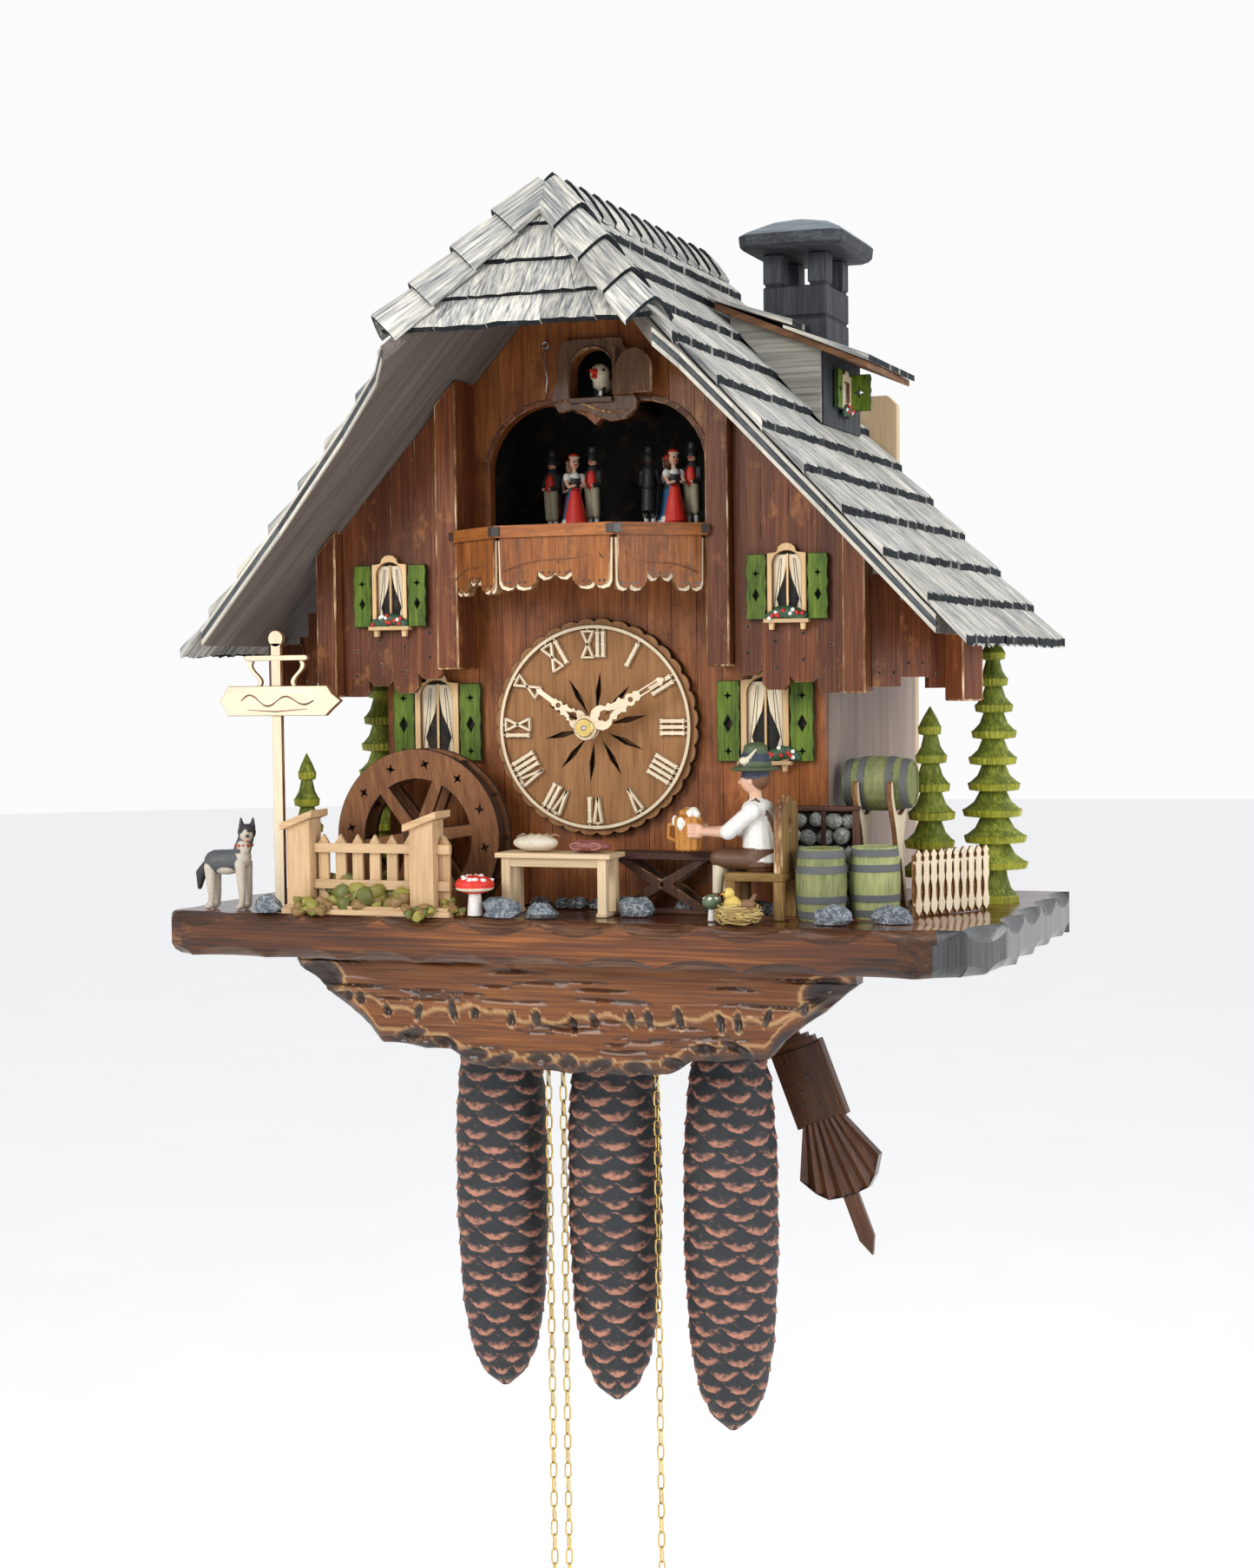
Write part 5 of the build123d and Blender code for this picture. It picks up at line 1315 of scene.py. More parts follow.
# ---- dial ---------------------------------------------------------------------------------------
NUMERALS = ("XII", "I", "II", "III", "IIII", "V", "VI", "VII", "VIII", "IX", "X", "XI")
LETTER_WIDTH = {"I": 3.3, "V": 6.4, "X": 8.6}
NUMERAL_FOOT, NUMERAL_HEAD = 38.2, 54.0
RAYS, RAY_START = 10, 6.0


def stroke(a, b, half):
    a, b = np.array(a, float), np.array(b, float)
    d = (b - a) / np.linalg.norm(b - a)
    n = np.array((-d[1], d[0])) * half
    return [tuple(a - n), tuple(b - n), tuple(b + n), tuple(a + n)]


def bar_letter():
    """Outline of a numeral's single bar, with notched ends and a bead half way."""
    height = NUMERAL_HEAD - NUMERAL_FOOT
    side = [(0.0, 0.9), (0.8, 0.0), (1.6, 1.5), (1.15, 2.4), (1.15, 0.46 * height), (1.55, 0.5 * height),
            (1.15, 0.54 * height), (1.15, height - 2.4), (1.6, height - 1.5), (0.8, height),
            (0.0, height - 0.9)]
    return side + [(-u, v) for u, v in side[-2:0:-1]]


def numeral(shape, text, clock_angle):
    """Sawn Roman numeral with its foot towards the dial's middle, bridged to the ring."""
    height = NUMERAL_HEAD - NUMERAL_FOOT
    place = Place((0, -6.1, DIAL_Z), 0, -clock_angle)
    at = -sum(LETTER_WIDTH[c] for c in text) / 2
    for letter in text:
        middle = at + LETTER_WIDTH[letter] / 2
        if letter == "I":
            outlines = [bar_letter()]
        elif letter == "V":
            outlines = [stroke((0, 0.6), (s * 2.3, height - 0.4), 0.95) for s in (-1, 1)]
            outlines.append([(-3.0, height - 1.3), (3.0, height - 1.3), (3.0, height), (-3.0, height)])
        else:
            outlines = [stroke((-s * 3.2, 0.9), (s * 3.2, height - 0.9), 0.85) for s in (-1, 1)]
            outlines += [[(-4.0, v), (4.0, v), (4.0, v + 1.4), (-4.0, v + 1.4)]
                         for v in (0.0, height - 1.4)]
        for outline in outlines:
            shape.add(prism([(u + middle, v + NUMERAL_FOOT) for u, v in outline], 0, 2.3), place, 0,
                      **DEEP)
        shape.add(slab(middle - 0.5, middle + 0.5, NUMERAL_HEAD - 0.6, 55.2, 0, 2.2), place, 0)
        at += LETTER_WIDTH[letter]


def scallop_ring(radius, count, depth, steps=6):
    points = []
    for i in range(count * steps):
        a = 2 * math.pi * i / (count * steps)
        r = radius - depth + depth * abs(math.sin(a * count / 2)) ** 0.6
        points.append((r * math.sin(a), r * math.cos(a)))
    return points


HAND_SIDE = ((4.0, 5.4), (6.6, 8.0), (7.2, 11.5), (6.4, 14.5), (4.4, 16.4), (5.6, 18.6), (3.8, 20.0),
             (3.6, 23.0), (5.0, 25.5),
             (3.2, 26.5), (2.4, 28.0), (3.7, 29.5), (3.9, 31.5), (2.6, 33.2), (3.4, 35.0), (2.1, 37.0),
             (2.0, 48.5), (2.7, 50.5),
             (1.5, 52.5), (0.0, 54.0))
HEART = ((0.0, 19.5), (1.0, 16.5), (2.9, 14.8), (3.3, 12.6), (2.0, 11.2), (0.9, 12.4), (1.2, 10.2),
         (0.0, 9.2))


def hand_outlines(length, wide, slotted):
    """Pierced and barbed wooden hand: hub, heart, bead and a slotted blade."""
    k = length / 54.0
    side = [(u * wide, v * k) for u, v in HAND_SIDE]
    hub = [(7.0 * math.sin(a), 7.0 * math.cos(a))
           for a in (math.radians(40 + 280 * i / 16) for i in range(17))]
    outer = side + [(-u, v) for u, v in side[-2::-1]] + [(u, v) for u, v in hub[::-1]]
    heart = [(u * wide * 0.9, v * k + (1.0 - k) * 6) for u, v in HEART]
    heart += [(-u, v) for u, v in heart[-2:0:-1]]
    holes = [circle(0, 0, 2.6, 20), heart, circle(0, 31 * k, 1.25, 14)]
    if slotted:
        holes.append([(-0.75, 37.5 * k), (0.75, 37.5 * k), (0.75, 49 * k), (-0.75, 49 * k)])
    return [outer] + holes


def make_dial():
    board, ring, digits = Shape(), Shape(), Shape()
    middle = Place((0, 0, DIAL_Z))
    rays = []
    for i in range(RAYS):
        a = math.radians(RAY_START + 360.0 * i / RAYS)
        rim = [(0, 10.5), (1.35, 20.0), (0, 29.0), (-1.35, 20.0)]
        rays.append([(u * math.cos(a) + v * math.sin(a), -u * math.sin(a) + v * math.cos(a))
                     for u, v in rim])
    board.add(plate([scallop_ring(60.8, 36, 1.7), circle(0, 0, 3.8, 20)] + rays, 0.4, 5.9, 0.35), middle)
    board.add(plate([circle(0, 0, 32, 48), circle(0, 0, 4.2, 20)], 0.2, 0.6, 0.1), middle, 0)
    ring.add(plate([circle(0, 0, 57.0, 120), circle(0, 0, 54.7, 120)], 6.0, 8.4, 0.3), middle)
    for hour, text in enumerate(NUMERALS):
        numeral(digits, text, hour * 30)
    make("dial_board_carved", board, "case", [DIAL_WOOD, DIAL_EDGE], ("dial_board",), angle=30)
    make("dial_ring_cut", ring, "case", [CREAM, TOAST], ("dial_ring",), angle=30)
    make("dial_numerals", digits, "case", [CREAM, TOAST], (), bevel=0.22, worn=1)
    hands = (("hour_hand", 305.0, 38.0, 0.8, (15.2, 16.6), False),
             ("minute_hand", 60.0, 54.0, 1.0, (20.2, 21.6), True))
    for name, angle, length, wide, w, slotted in hands:
        hand = Shape()
        place = Place((0, 0, DIAL_Z), 0, -angle)
        hand.add(plate(hand_outlines(length, wide, slotted), *w, 0.25), place, 0)
        make(name + "_carved", hand, name, [CREAM, TOAST], (name,))
        hub = Shape()
        start = (0, 2.0, DIAL_Z)
        if name == "minute_hand":
            hub.add(lathe([(0, 1.9), (22.0, 1.9)], start, (0, -1, 0), 16), Plain)
            hub.add(lathe([(23.7, 2.0), (23.7, 4.9), (24.1, 5.2), (25.2, 5.2), (25.6, 4.8), (25.6, 0.4)],
                          start, (0, -1, 0), 32),
                    Plain)
            hub.add(lathe([(25.5, 1.5), (26.3, 1.5), (26.8, 0.8)], start, (0, -1, 0), 12), Plain, 1)
        else:
            hub.add(lathe([(0, 3.4), (18.0, 3.4)], start, (0, -1, 0), 20), Plain)
        make(name + "_hub", hub, name, [BRASS, STEEL], angle=30)


DIAL_EDGE = wood("dial_edge", [(0.008, 0.005, 0.003), (0.03, 0.014, 0.006), (0.07, 0.03, 0.012)], (8, 0.7),
                 rough=0.6)
make_dial()


# ---- windows ------------------------------------------------------------------------------------
def bonnet(half, z0, z1, rise, steps=6):
    """Window frame outline with a raised curved head."""
    points = [(-half, z0), (half, z0), (half, z1 - rise)]
    shoulder = half * 0.55
    points += [(shoulder, z1 - rise + 0.6)]
    for i in range(steps + 1):
        a = math.pi * i / steps
        points.append((shoulder * 0.92 * math.cos(a), z1 - rise + 0.9 + (rise - 0.9) * math.sin(a)))
    return points + [(-shoulder, z1 - rise + 0.6), (-half, z1 - rise)]


def curtain(side, half, z0, z1):
    """Curtain swept to one side and tied, with a flared foot."""
    reach = half - 0.3
    inner = [(0.5, 1.0), (0.9, 0.82), (2.2, 0.62), (reach * 0.62, 0.4), (reach * 0.8, 0.28),
             (reach * 0.62, 0.16),
             (reach * 0.55, 0.0)]
    points = [(side * u, z0 + (z1 - z0) * v) for u, v in inner]
    points += [(side * reach, z0), (side * reach, z1)]
    return points if side < 0 else points[::-1]


def shutter_outline(u0, u1, v0, v1, wave=0.8):
    steps = 9
    left = [(u0 + wave * 0.5 * (1 - math.cos(i * 1.9)), v0 + (v1 - v0) * i / steps)
            for i in range(steps + 1)]
    right = [(u1 - wave * 0.5 * (1 - math.cos(i * 2.3 + 1)), v0 + (v1 - v0) * i / steps)
             for i in range(steps + 1)]
    return left + right[::-1]


def window(place, half, z0, z1, shutter, rise, cuts, sill):
    frame_shape, green, shade_sheet = Shape(), Shape(), Shape()
    frame_wide = half * 0.27
    inner = half - frame_wide
    opening = [(-inner, z0 + 5.0), (inner, z0 + 5.0)]
    opening += [(inner * math.cos(a), z1 - rise - inner * 0.75 + inner * 0.9 * math.sin(a))
                for a in (math.pi * i / 10 for i in range(11))]
    frame_shape.add(plate([bonnet(half, z0 + 1, z1, rise), opening], 1.6, 4.2, 0.3), place)
    # Near-black sheet behind the opening: painted shade for the inside of the case.
    shade_sheet.add(slab(-inner - 0.6, inner + 0.6, z0 + 3, z1 - rise * 0.7 - 1, 0.2, 0.9), place)
    for side in (-1, 1):
        top = z1 - rise - inner * 0.1
        drape = plate([curtain(side, inner + 0.4, z0 + 4.6, top)], 1.0, 1.7, 0.15)
        frame_shape.add((drape[0], drape[1], [2] * len(drape[1])), place, **DEEP)
        # Dark lines on the curtains: painted shade in the folds.
        for k in (0.45, 0.75):
            line = [(side * (inner * k * (0.35 + 0.65 * (1 - t)) + inner * 0.25),
                     z0 + 6 + (top - z0 - 8) * t, 1.75)
                    for t in (0.0, 0.35, 0.7, 1.0)]
            shade_sheet.add(tube(line, 0.18, 5), place)
    frame_shape.add(slab(-0.55, 0.55, z0 + 5, z1 - rise - inner * 0.05, 1.4, 2.6), place)
    if sill:
        frame_shape.add(slab(-half - 1.5, half + 1.5, z0 + 1.2, z0 + 3.2, 1.0, 6.2), place, **LEVEL)
        for side in (-1, 1):
            u = side * half * 0.8
            frame_shape.add(prism([(u - 1, z0 - 2.5), (u + 1, z0 - 2.5), (u + 1.4, z0 + 1.2),
                                   (u - 1.4, z0 + 1.2)], 1.0, 4.2),
                            place)
    for side in (-1, 1):
        u0, u1 = sorted((side * (half + 0.1), side * (half + shutter)))
        holes = [shape(side * (half + shutter / 2 + 0.3), z0 + (z1 - rise - z0) * t) for t, shape in cuts]
        green.add(plate([shutter_outline(u0, u1, z0 + 3.0, z1 - rise - 0.4)] + holes, 1.2, 4.0, 0.35),
                  place, 0,
                  **DEEP)
        # Near-black sheet behind the shutter: painted shade seen through its cut-outs.
        shade_sheet.add(slab(u0 + 0.8, u1 - 0.8, z0 + 5, z1 - rise - 3, 0.3, 1.0), place)
    return frame_shape, green, shade_sheet


def flowers(place, half, z, count, depth=3.4, seed=0):
    """Painted flower bank under a window."""
    luck = random.Random(seed)
    shape = Shape()
    for i in range(count):
        t = (i + 0.5) / count * 2 - 1
        r = 2.6 + 1.4 * (1 - t * t) + luck.uniform(-0.3, 0.4)
        shape.add(ball((t * half, z + 2.8 * (1 - t * t) + luck.uniform(-0.5, 0.5),
                        depth + luck.uniform(-0.3, 0.3)),
                       (r, r * 0.9, r * 0.6), 7, 10, 0.15, i), place, paint=(0.03, 0.085, 0.04))
    for i in range(count + 3):
        t = luck.uniform(-0.95, 0.95)
        red = i % 3 != 1
        shape.add(ball((t * half, z + 3.6 * (1 - t * t) + luck.uniform(-2.2, 2.4), depth + 2.2),
                       (1.25, 1.25, 0.8), 6, 8, 0.1, i), place,
                  paint=(0.55, 0.02, 0.015) if red else (0.85, 0.83, 0.78))
    return shape


def make_windows():
    small_cuts = ((0.72, lambda u, v: star(u, v, 1.5, 0.6)), (0.42, lambda u, v: diamond(u, v, 1.7, 3.0)))
    large_cuts = ((0.82, lambda u, v: star(u, v, 1.7, 0.7)), (0.5, lambda u, v: diamond(u, v, 2.5, 4.4)),
                  (0.18, lambda u, v: star(u, v, 1.7, 0.7)))
    sets = [(Place((side * 117.0, -20.0, 0)), 10.9, 155.6, 199.3, 12.0, 5.5, small_cuts, True)
            for side in (-1, 1)]
    sets += [(Place((side * 98.0, 0, 0)), 13.75, 79.0, 133.0, 14.0, 6.5, large_cuts, True)
             for side in (-1, 1)]
    frames, greens, shade_sheets = [], [], []
    for args in sets:
        made = window(*args)
        frames.append(made[0])
        greens.append(made[1])
        shade_sheets.append(made[2])
    for i, (frame_shape, green, shade_sheet) in enumerate(zip(frames, greens, shade_sheets)):
        stands_for = ("windows",) if i == 0 else ()
        make(f"window_frame_{i + 1}", frame_shape, "case", [MAPLE, TOAST, CREAM], stands_for)
        make(f"window_shutters_{i + 1}", green, "case", [MOSS_GREEN, SHUTTER_SIDE])
        make(f"window_painted_shade_{i + 1}", shade_sheet, "case", [SHADE_BLACK])
    for i, side in enumerate((-1, 1)):
        bank = flowers(Place((side * 117.0, -20.0, 0)), 10.0, 159.5, 8, 4.6, i)
        make(f"window_flowers_{i + 1}", bank, "case", [RESIN], angle=60)
    bank = flowers(Place((108.0, 0, 0)), 9.0, 84.0, 9, 4.8, 9)
    make("window_flowers_3", bank, "case", [RESIN], angle=60)
    dormer_frame, dormer_green, dormer_glass = Shape(), Shape(), Shape()
    place = Place((108.4, 0, 0), 90)
    dormer_frame.add(plate([bonnet_at(123, 10, 283.5, 306.5, 3.0),
                            [(117, 288), (129, 288), (129, 300), (117, 300)]],
                           0.4, 2.8, 0.2), place)
    dormer_glass.add(slab(114.5, 131.5, 286, 303, 0.1, 0.6), place)
    star_hole = star(106.7, 295.0, 3.0, 1.1)
    dormer_green.add(plate([shutter_outline(101.3, 112.3, 283.5, 306.0), star_hole], 0.6, 3.4, 0.35), place,
                     0)
    other = Place((108.3, 135.5, 0), 0)
    dormer_green.add(plate([shutter_outline(0.4, 14.4, 284.2, 305.6), star(7.4, 295.0, 2.8, 1.0)], -1.4,
                           1.4, 0.35),
                     other, 0)
    make("dormer_window_frame", dormer_frame, "case", [CREAM, TOAST])
    make("dormer_window_shutters", dormer_green, "case", [MOSS_GREEN, SHUTTER_SIDE])
    make("dormer_window_glass", dormer_glass, "case", [PANE])
    make("dormer_flowers", flowers(Place((109.0, 123, 0), 90), 8.0, 281.0, 6, 2.0, 5), "case", [RESIN],
         angle=60)


def bonnet_at(middle, half, z0, z1, rise):
    return [(u + middle, v) for u, v in bonnet(half, z0, z1, rise)]


SHUTTER_SIDE = wood("shutter_side", [(0.008, 0.016, 0.006), (0.025, 0.05, 0.012), (0.06, 0.11, 0.02)],
                    (6, 0.6), rough=0.6)
PANE = painted("pale_pane", (0.68, 0.66, 0.58), 0.4, 0.15)
make_windows()


# ---- cuckoo -------------------------------------------------------------------------------------
SKIN, WHITE, BLACK, RED = (0.74, 0.45, 0.31), (0.82, 0.81, 0.77), (0.022, 0.022, 0.025), (0.72, 0.03, 0.018)
CREAM_PAINT, BROWN, BLUE, KHAKI = (0.70, 0.62,
                                   0.45), (0.16, 0.065, 0.025), (0.02, 0.13, 0.28), (0.42, 0.38, 0.25)


def make_cuckoo():
    outline = [(-25, 284), (-22, 290.5), (-20.5, 300), (-20.5, 309), (-17, 316), (17, 316), (20.5, 309),
               (20.5, 299),
               (20, 291), (27, 281), (26, 276), (20, 271.5), (11, 270), (4, 272.5), (-4, 276.5),
               (-12, 277.4),
               (-20, 276)]
    board = Shape()
    board.add(plate([outline, arch(0, CUCKOO_FOOT, CUCKOO_Z, CUCKOO_R)], 0.3, 4.9, 0.5), FACADE)
    for side in (-1, 1):
        rim = [(side * (13.6 + 0.2), 285, 5.0)]
        rim += [(side * 13.8 * math.cos(a), CUCKOO_Z + 13.8 * math.sin(a), 5.0)
                for a in (math.pi / 2 * i / 8 for i in range(9))]
        board.add(tube(rim, 0.7, 6), FACADE, 0)
    scroll = [(-24 + 46 * t, 281.5 - 5.5 * t + 2.2 * math.sin(t * 6.3), 5.0)
              for t in (i / 14 for i in range(15))]
    board.add(tube(scroll, [0.5 + 0.5 * math.sin(math.pi * i / 14) for i in range(15)], 6), FACADE, 1)
    board.add(slab(-12.8, 12.8, 280.6, 283.4, 0.4, 8.0), FACADE, 0, **LEVEL)
    board.add(slab(-15, 15, 276.6, 280, -64, -7), FACADE, 0, **UPRIGHT)
    make("cuckoo_board", board, "case", [BIRD_BOARD, WORN], ("cuckoo_house",), bevel=0.25)
    x, y, z = 2.5, 1.5, 297.0
    blobs = [egg((x, y, z), (5.6, 5.4, 5.7), CREAM_PAINT),
             egg((x, y + 4, z - 5), (5.2, 7.5, 5.6), CREAM_PAINT),
             capsule((x - 1, y - 4, z + 0.6), (x - 2.2, y - 10, z + 1.4), 2.2, 0.45, RED),
             capsule((x - 1, y - 4, z - 1.2), (x - 1.8, y - 8.6, z - 2.6), 1.9, 0.4, RED),
             capsule((x, y + 8, z - 6), (x, y + 20, z - 9), 3.4, 1.5, CREAM_PAINT),
             capsule((x - 2, y - 1, z - 8), (x - 2.4, y - 3, z - 13.2), 1.0, 0.8, BLACK),
             capsule((x + 2.4, y - 1, z - 8), (x + 2.8, y - 3, z - 13.2), 1.0, 0.8, BLACK),
             egg((x - 4.2, y - 3.2, z + 1.8), (0.7, 0.7, 0.7), BLACK, 0.3),
             egg((x + 3.6, y - 4.0, z + 1.8), (0.7, 0.7, 0.7), BLACK, 0.3)]
    stand("cuckoo_bird_carved", sculpt("cuckoo_bird_carved", blobs, 0.4, 2, 0.05), (0, 0, 0), 0,
          "cuckoo_bird")
    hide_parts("cuckoo_bird")
    slide = Shape()
    slide.add(tube([(0, 3, 286), (0, 45, 286), (0, 90, 286)], 1.4, 10), Plain)
    slide.add(slab(-0.8, 3.8, 285, 291, -4, -1.2), FACADE, 0)
    make("cuckoo_slide", slide, "cuckoo_bird", [STEEL], bevel=0.2)
    door = Shape()
    leaf_place = Place((14.5, -8.0, 0), -15)
    door.add(plate([arch(13.0, CUCKOO_FOOT + 0.5, CUCKOO_Z - 1.2, 12.0, 10)], -1.2, 1.2, 0.3), leaf_place)
    door.add(lathe([(0, 1.2), (26, 1.2)], (14.5, -8.0, CUCKOO_FOOT + 0.5), (0, 0, 1), 10), Plain)
    make("cuckoo_door_leaf", door, "cuckoo_door", [BIRD_BOARD, WORN], ("cuckoo_door",))
    wires = Shape()
    hook = [(-29, 313, 0.8), (-29.5, 309, 3.5), (-28, 302, 4.2), (-27.0, 295, 4.0), (-28.5, 289, 2.2),
            (-28.6, 287, 0.7)]
    wires.add(tube(hook, 0.5, 8), FACADE)
    loop = [(-29 + 1.8 * math.cos(a), 314.5 + 1.8 * math.sin(a), 1.0)
            for a in (turned(i, 12) for i in range(13))]
    wires.add(tube(loop, 0.45, 8), FACADE)
    make("cuckoo_latch_wire", wires, "case", [STEEL])


BIRD_BOARD = wood("bird_board", [(0.045, 0.020, 0.012), (0.11, 0.052, 0.028), (0.20, 0.11, 0.06)],
                  (14, 0.8), rough=0.45,
                  bump=0.3, coat=0.1)
make_cuckoo()


# ---- dancers ------------------------------------------------------------------------------------
DANCER_R = 17.0
DANCER_ANGLES = (-65.0, 115.0)
DANCER_SPREAD = 40.0


def woman():
    blobs = [capsule((0, 0, 0.8), (0, 0, 3.0), 8.0, 7.8, WHITE, True),
             capsule((0, 0.4, 2.4), (0, 0, 23), 7.9, 3.4, BLUE, True),
             capsule((0, -1.5, 3.2), (0, -0.9, 22.5), 7.4, 3.1, RED, True),
             capsule((0, 0, 22), (0, 0, 29), 3.1, 3.7, BLACK),
             egg((0, -1.5, 31), (2.9, 2.4, 2.4), WHITE), capsule((0, 0, 32), (0, 0, 36), 1.4, 1.3, SKIN),
             egg((0, -0.3, 38.7), (2.9, 3.0, 3.5), SKIN), egg((0, 1.0, 39.0), (3.2, 2.9, 3.6), BROWN),
             egg((0, 0.5, 42.0), (3.1, 3.0, 2.2), RED), egg((0, -0.9, 41.6), (3.3, 2.9, 0.8), CREAM_PAINT),
             egg((0, -3.15, 37.3), (0.8, 0.35, 0.3), RED, 0.3)]
    for side in (-1, 1):
        blobs += [egg((side * 4.4, 0, 30.2), (2.4, 2.3, 2.8), WHITE),
                  capsule((side * 5.2, -0.6, 28.6), (side * 5.0, -4.2, 24.6), 1.2, 1.0, SKIN),
                  capsule((side * 5.0, -4.2, 24.6), (side * 2.0, -6.0, 25.5), 1.0, 0.9, SKIN),
                  egg((side * 1.1, -3.1, 39.2), (0.45, 0.35, 0.45), BLACK, 0.25)]
    return blobs


def man():
    blobs = [capsule((0, 2.6, 11), (0, 1.6, 24), 4.6, 4.2, BLACK, True),
             capsule((0, 0.6, 23), (0, 0.4, 34.5), 4.3, 3.9, BLACK),
             egg((0, -2.9, 28.5), (2.9, 1.9, 6.2), RED), egg((0, -0.8, 36.2), (2.5, 2.3, 1.0), WHITE),
             capsule((0, 0, 35), (0, 0, 38), 1.5, 1.4, SKIN), egg((0, -0.2, 40.6), (2.8, 3.0, 3.5), SKIN),
             egg((0, 0.9, 41.0), (3.0, 2.7, 3.2), (0.06, 0.03, 0.02)),
             capsule((0, 0, 43.2), (0, 0, 43.9), 4.5, 4.3, BLACK, True),
             capsule((0, 0, 43.8), (0, 0, 48.2), 2.9, 2.6, BLACK, True),
             egg((0, -3.0, 39.3), (0.8, 0.35, 0.3), RED, 0.3)]
    for side in (-1, 1):
        blobs += [egg((side * 2.1, -1.6, 1.1), (1.6, 3.1, 1.2), BLACK),
                  capsule((side * 2.1, 0, 2), (side * 2.0, 0, 10), 1.3, 1.5, WHITE),
                  capsule((side * 2.1, -0.8, 9.5), (side * 1.8, -1.6, 23.5), 2.3, 2.9, KHAKI),
                  capsule((side * 4.4, 0.2, 33.4), (side * 5.4, -1.8, 27), 1.8, 1.5, BLACK),
                  capsule((side * 5.4, -1.8, 27), (side * 2.6, -5.4, 26), 1.4, 1.2, BLACK),
                  egg((side * 2.2, -6.0, 25.8), (1.0, 1.0, 1.0), SKIN),
                  egg((side * 1.1, -3.05, 41.0), (0.45, 0.35, 0.45), BLACK, 0.25)]
    return blobs


def make_dancers():
    lady, gentleman = sculpt("dancer_woman", woman(), 0.42, 3), sculpt("dancer_man", man(), 0.42, 3)
    for side, name in ((-1, "turntable_left"), (1, "turntable_right")):
        cx, cy = side * 30.0, 40.0
        disc = Shape()
        disc.add(lathe([(0, 26.4), (0.5, 26.9), (4.5, 26.9), (4.9, 26.4)], (cx, cy, 207.05), (0, 0, 1), 48),
                 Plain)
        make(name + "_disc", disc, name, [VOID_WOOD], (name,), bevel=0.2)
        gear = Shape()
        gear.add(toothed(60, 30.0, 0.9), Place((cx, cy, 205.0), 0, 0, -90), 0)
        gear.add(lathe([(0, 2.5), (17.5, 2.5)], (cx, cy, 186), (0, 0, 1), 12), Plain)
        make(name + "_gear", gear, name, [BRASS], angle=20)
        for pair, start in enumerate(DANCER_ANGLES):
            a, b = math.radians(start), math.radians(start + DANCER_SPREAD)
            lady_at = (cx + DANCER_R * math.cos(a), cy + DANCER_R * math.sin(a), DECK_Z)
            man_at = (cx + DANCER_R * math.cos(b), cy + DANCER_R * math.sin(b), DECK_Z)
            facing = 18 if pair == 0 else (-150 if side > 0 else 8)
            stand(f"{name}_woman_{pair + 1}", lady, lady_at, facing + 24, name)
            stand(f"{name}_man_{pair + 1}", gentleman, man_at, facing - 22, name)


def toothed(teeth, radius, half):
    """Flat gear about the origin, in u and v."""
    rim = []
    for i in range(teeth):
        for share, r in ((-0.27, radius - 1.25), (-0.11, radius + 0.75), (0.11, radius + 0.75),
                         (0.27, radius - 1.25)):
            a = 2 * math.pi * (i + share) / teeth
            rim.append((r * math.cos(a), r * math.sin(a)))
    return prism(rim, -half, half)


VOID_WOOD = wood("stage_black", [(0.01, 0.008, 0.007), (0.025, 0.018, 0.014), (0.05, 0.035, 0.025)],
                 (20, 1.0), rough=0.6)
make_dancers()


# ---- garden -------------------------------------------------------------------------------------
def granite(name, dark, mid, pale):
    material, tree, shader = blank(name)
    vector = grain_vector(tree, "x", (3.0, 3.0))
    fine = noise(tree, vector, scale=3.0, detail=5.0, roughness=0.8)
    veins = noise(tree, vector, scale=0.55, detail=4.0, roughness=0.75)
    colour = ramp(tree, fine, [(0.3, dark), (0.55, mid), (0.75, pale)])
    line = ramp(tree, veins, [(0.47, 0.0), (0.5, 1.0), (0.53, 0.0)])
    colour = mix(tree, maths(tree, "MULTIPLY", line, 0.8), colour, (0.62, 0.64, 0.66))
    tree.links.new(colour, shader.inputs["Base Color"])
    tree.links.new(ramp(tree, fine, [(0.3, 0.5), (0.7, 0.8)]), shader.inputs["Roughness"])
    relief = node(tree, "ShaderNodeBump", {"Height": fine, "Strength": 0.6, "Distance": 0.0006})
    tree.links.new(relief.outputs["Normal"], shader.inputs["Normal"])
    return material


GRANITE = granite("granite", (0.04, 0.055, 0.07), (0.11, 0.135, 0.16), (0.30, 0.33, 0.36))
PEBBLE = granite("pebble", (0.10, 0.105, 0.085), (0.19, 0.20, 0.165), (0.30, 0.31, 0.26))
DARK_PEBBLE = granite("dark_pebble", (0.018, 0.02, 0.022), (0.045, 0.05, 0.055), (0.10, 0.11, 0.12))


def moss(shape, spots, seed):
    luck = random.Random(seed)
    for x, y, z, r, count in spots:
        for i in range(count):
            size = r * luck.uniform(0.25, 0.5)
            p = (x + luck.uniform(-r, r), y + luck.uniform(-r, r) * 0.6, z + luck.uniform(0, r * 0.8))
            tone = luck.choice(((0.30, 0.27, 0.05), (0.20, 0.17, 0.03), (0.13, 0.14, 0.03),
                                (0.26, 0.15, 0.05)))
            shape.add(ball(p, (size, size, size * 0.8), 5, 7, 0.35, i), Plain, paint=tone)


def picket(x, z0, z1, half):
    return [(x - half, z0), (x + half, z0), (x + half, z1 - half * 1.5), (x, z1),
            (x - half, z1 - half * 1.5)]


# Half width of a turned pale at each height.
PALE_SHAPE = ((0.3, 0.4), (0.4, 1.2), (2.3, 3.4), (2.7, 5.6), (2.5, 8.0), (1.7, 11.0), (1.5, 13.8),
              (1.7, 16.6),
              (2.5, 19.4), (2.7, 21.2), (2.2, 23.4), (2.3, 26.4), (2.7, 28.8), (1.9, 30.0), (1.6, 31.4),
              (2.6, 33.2), (0.5, 35.8))


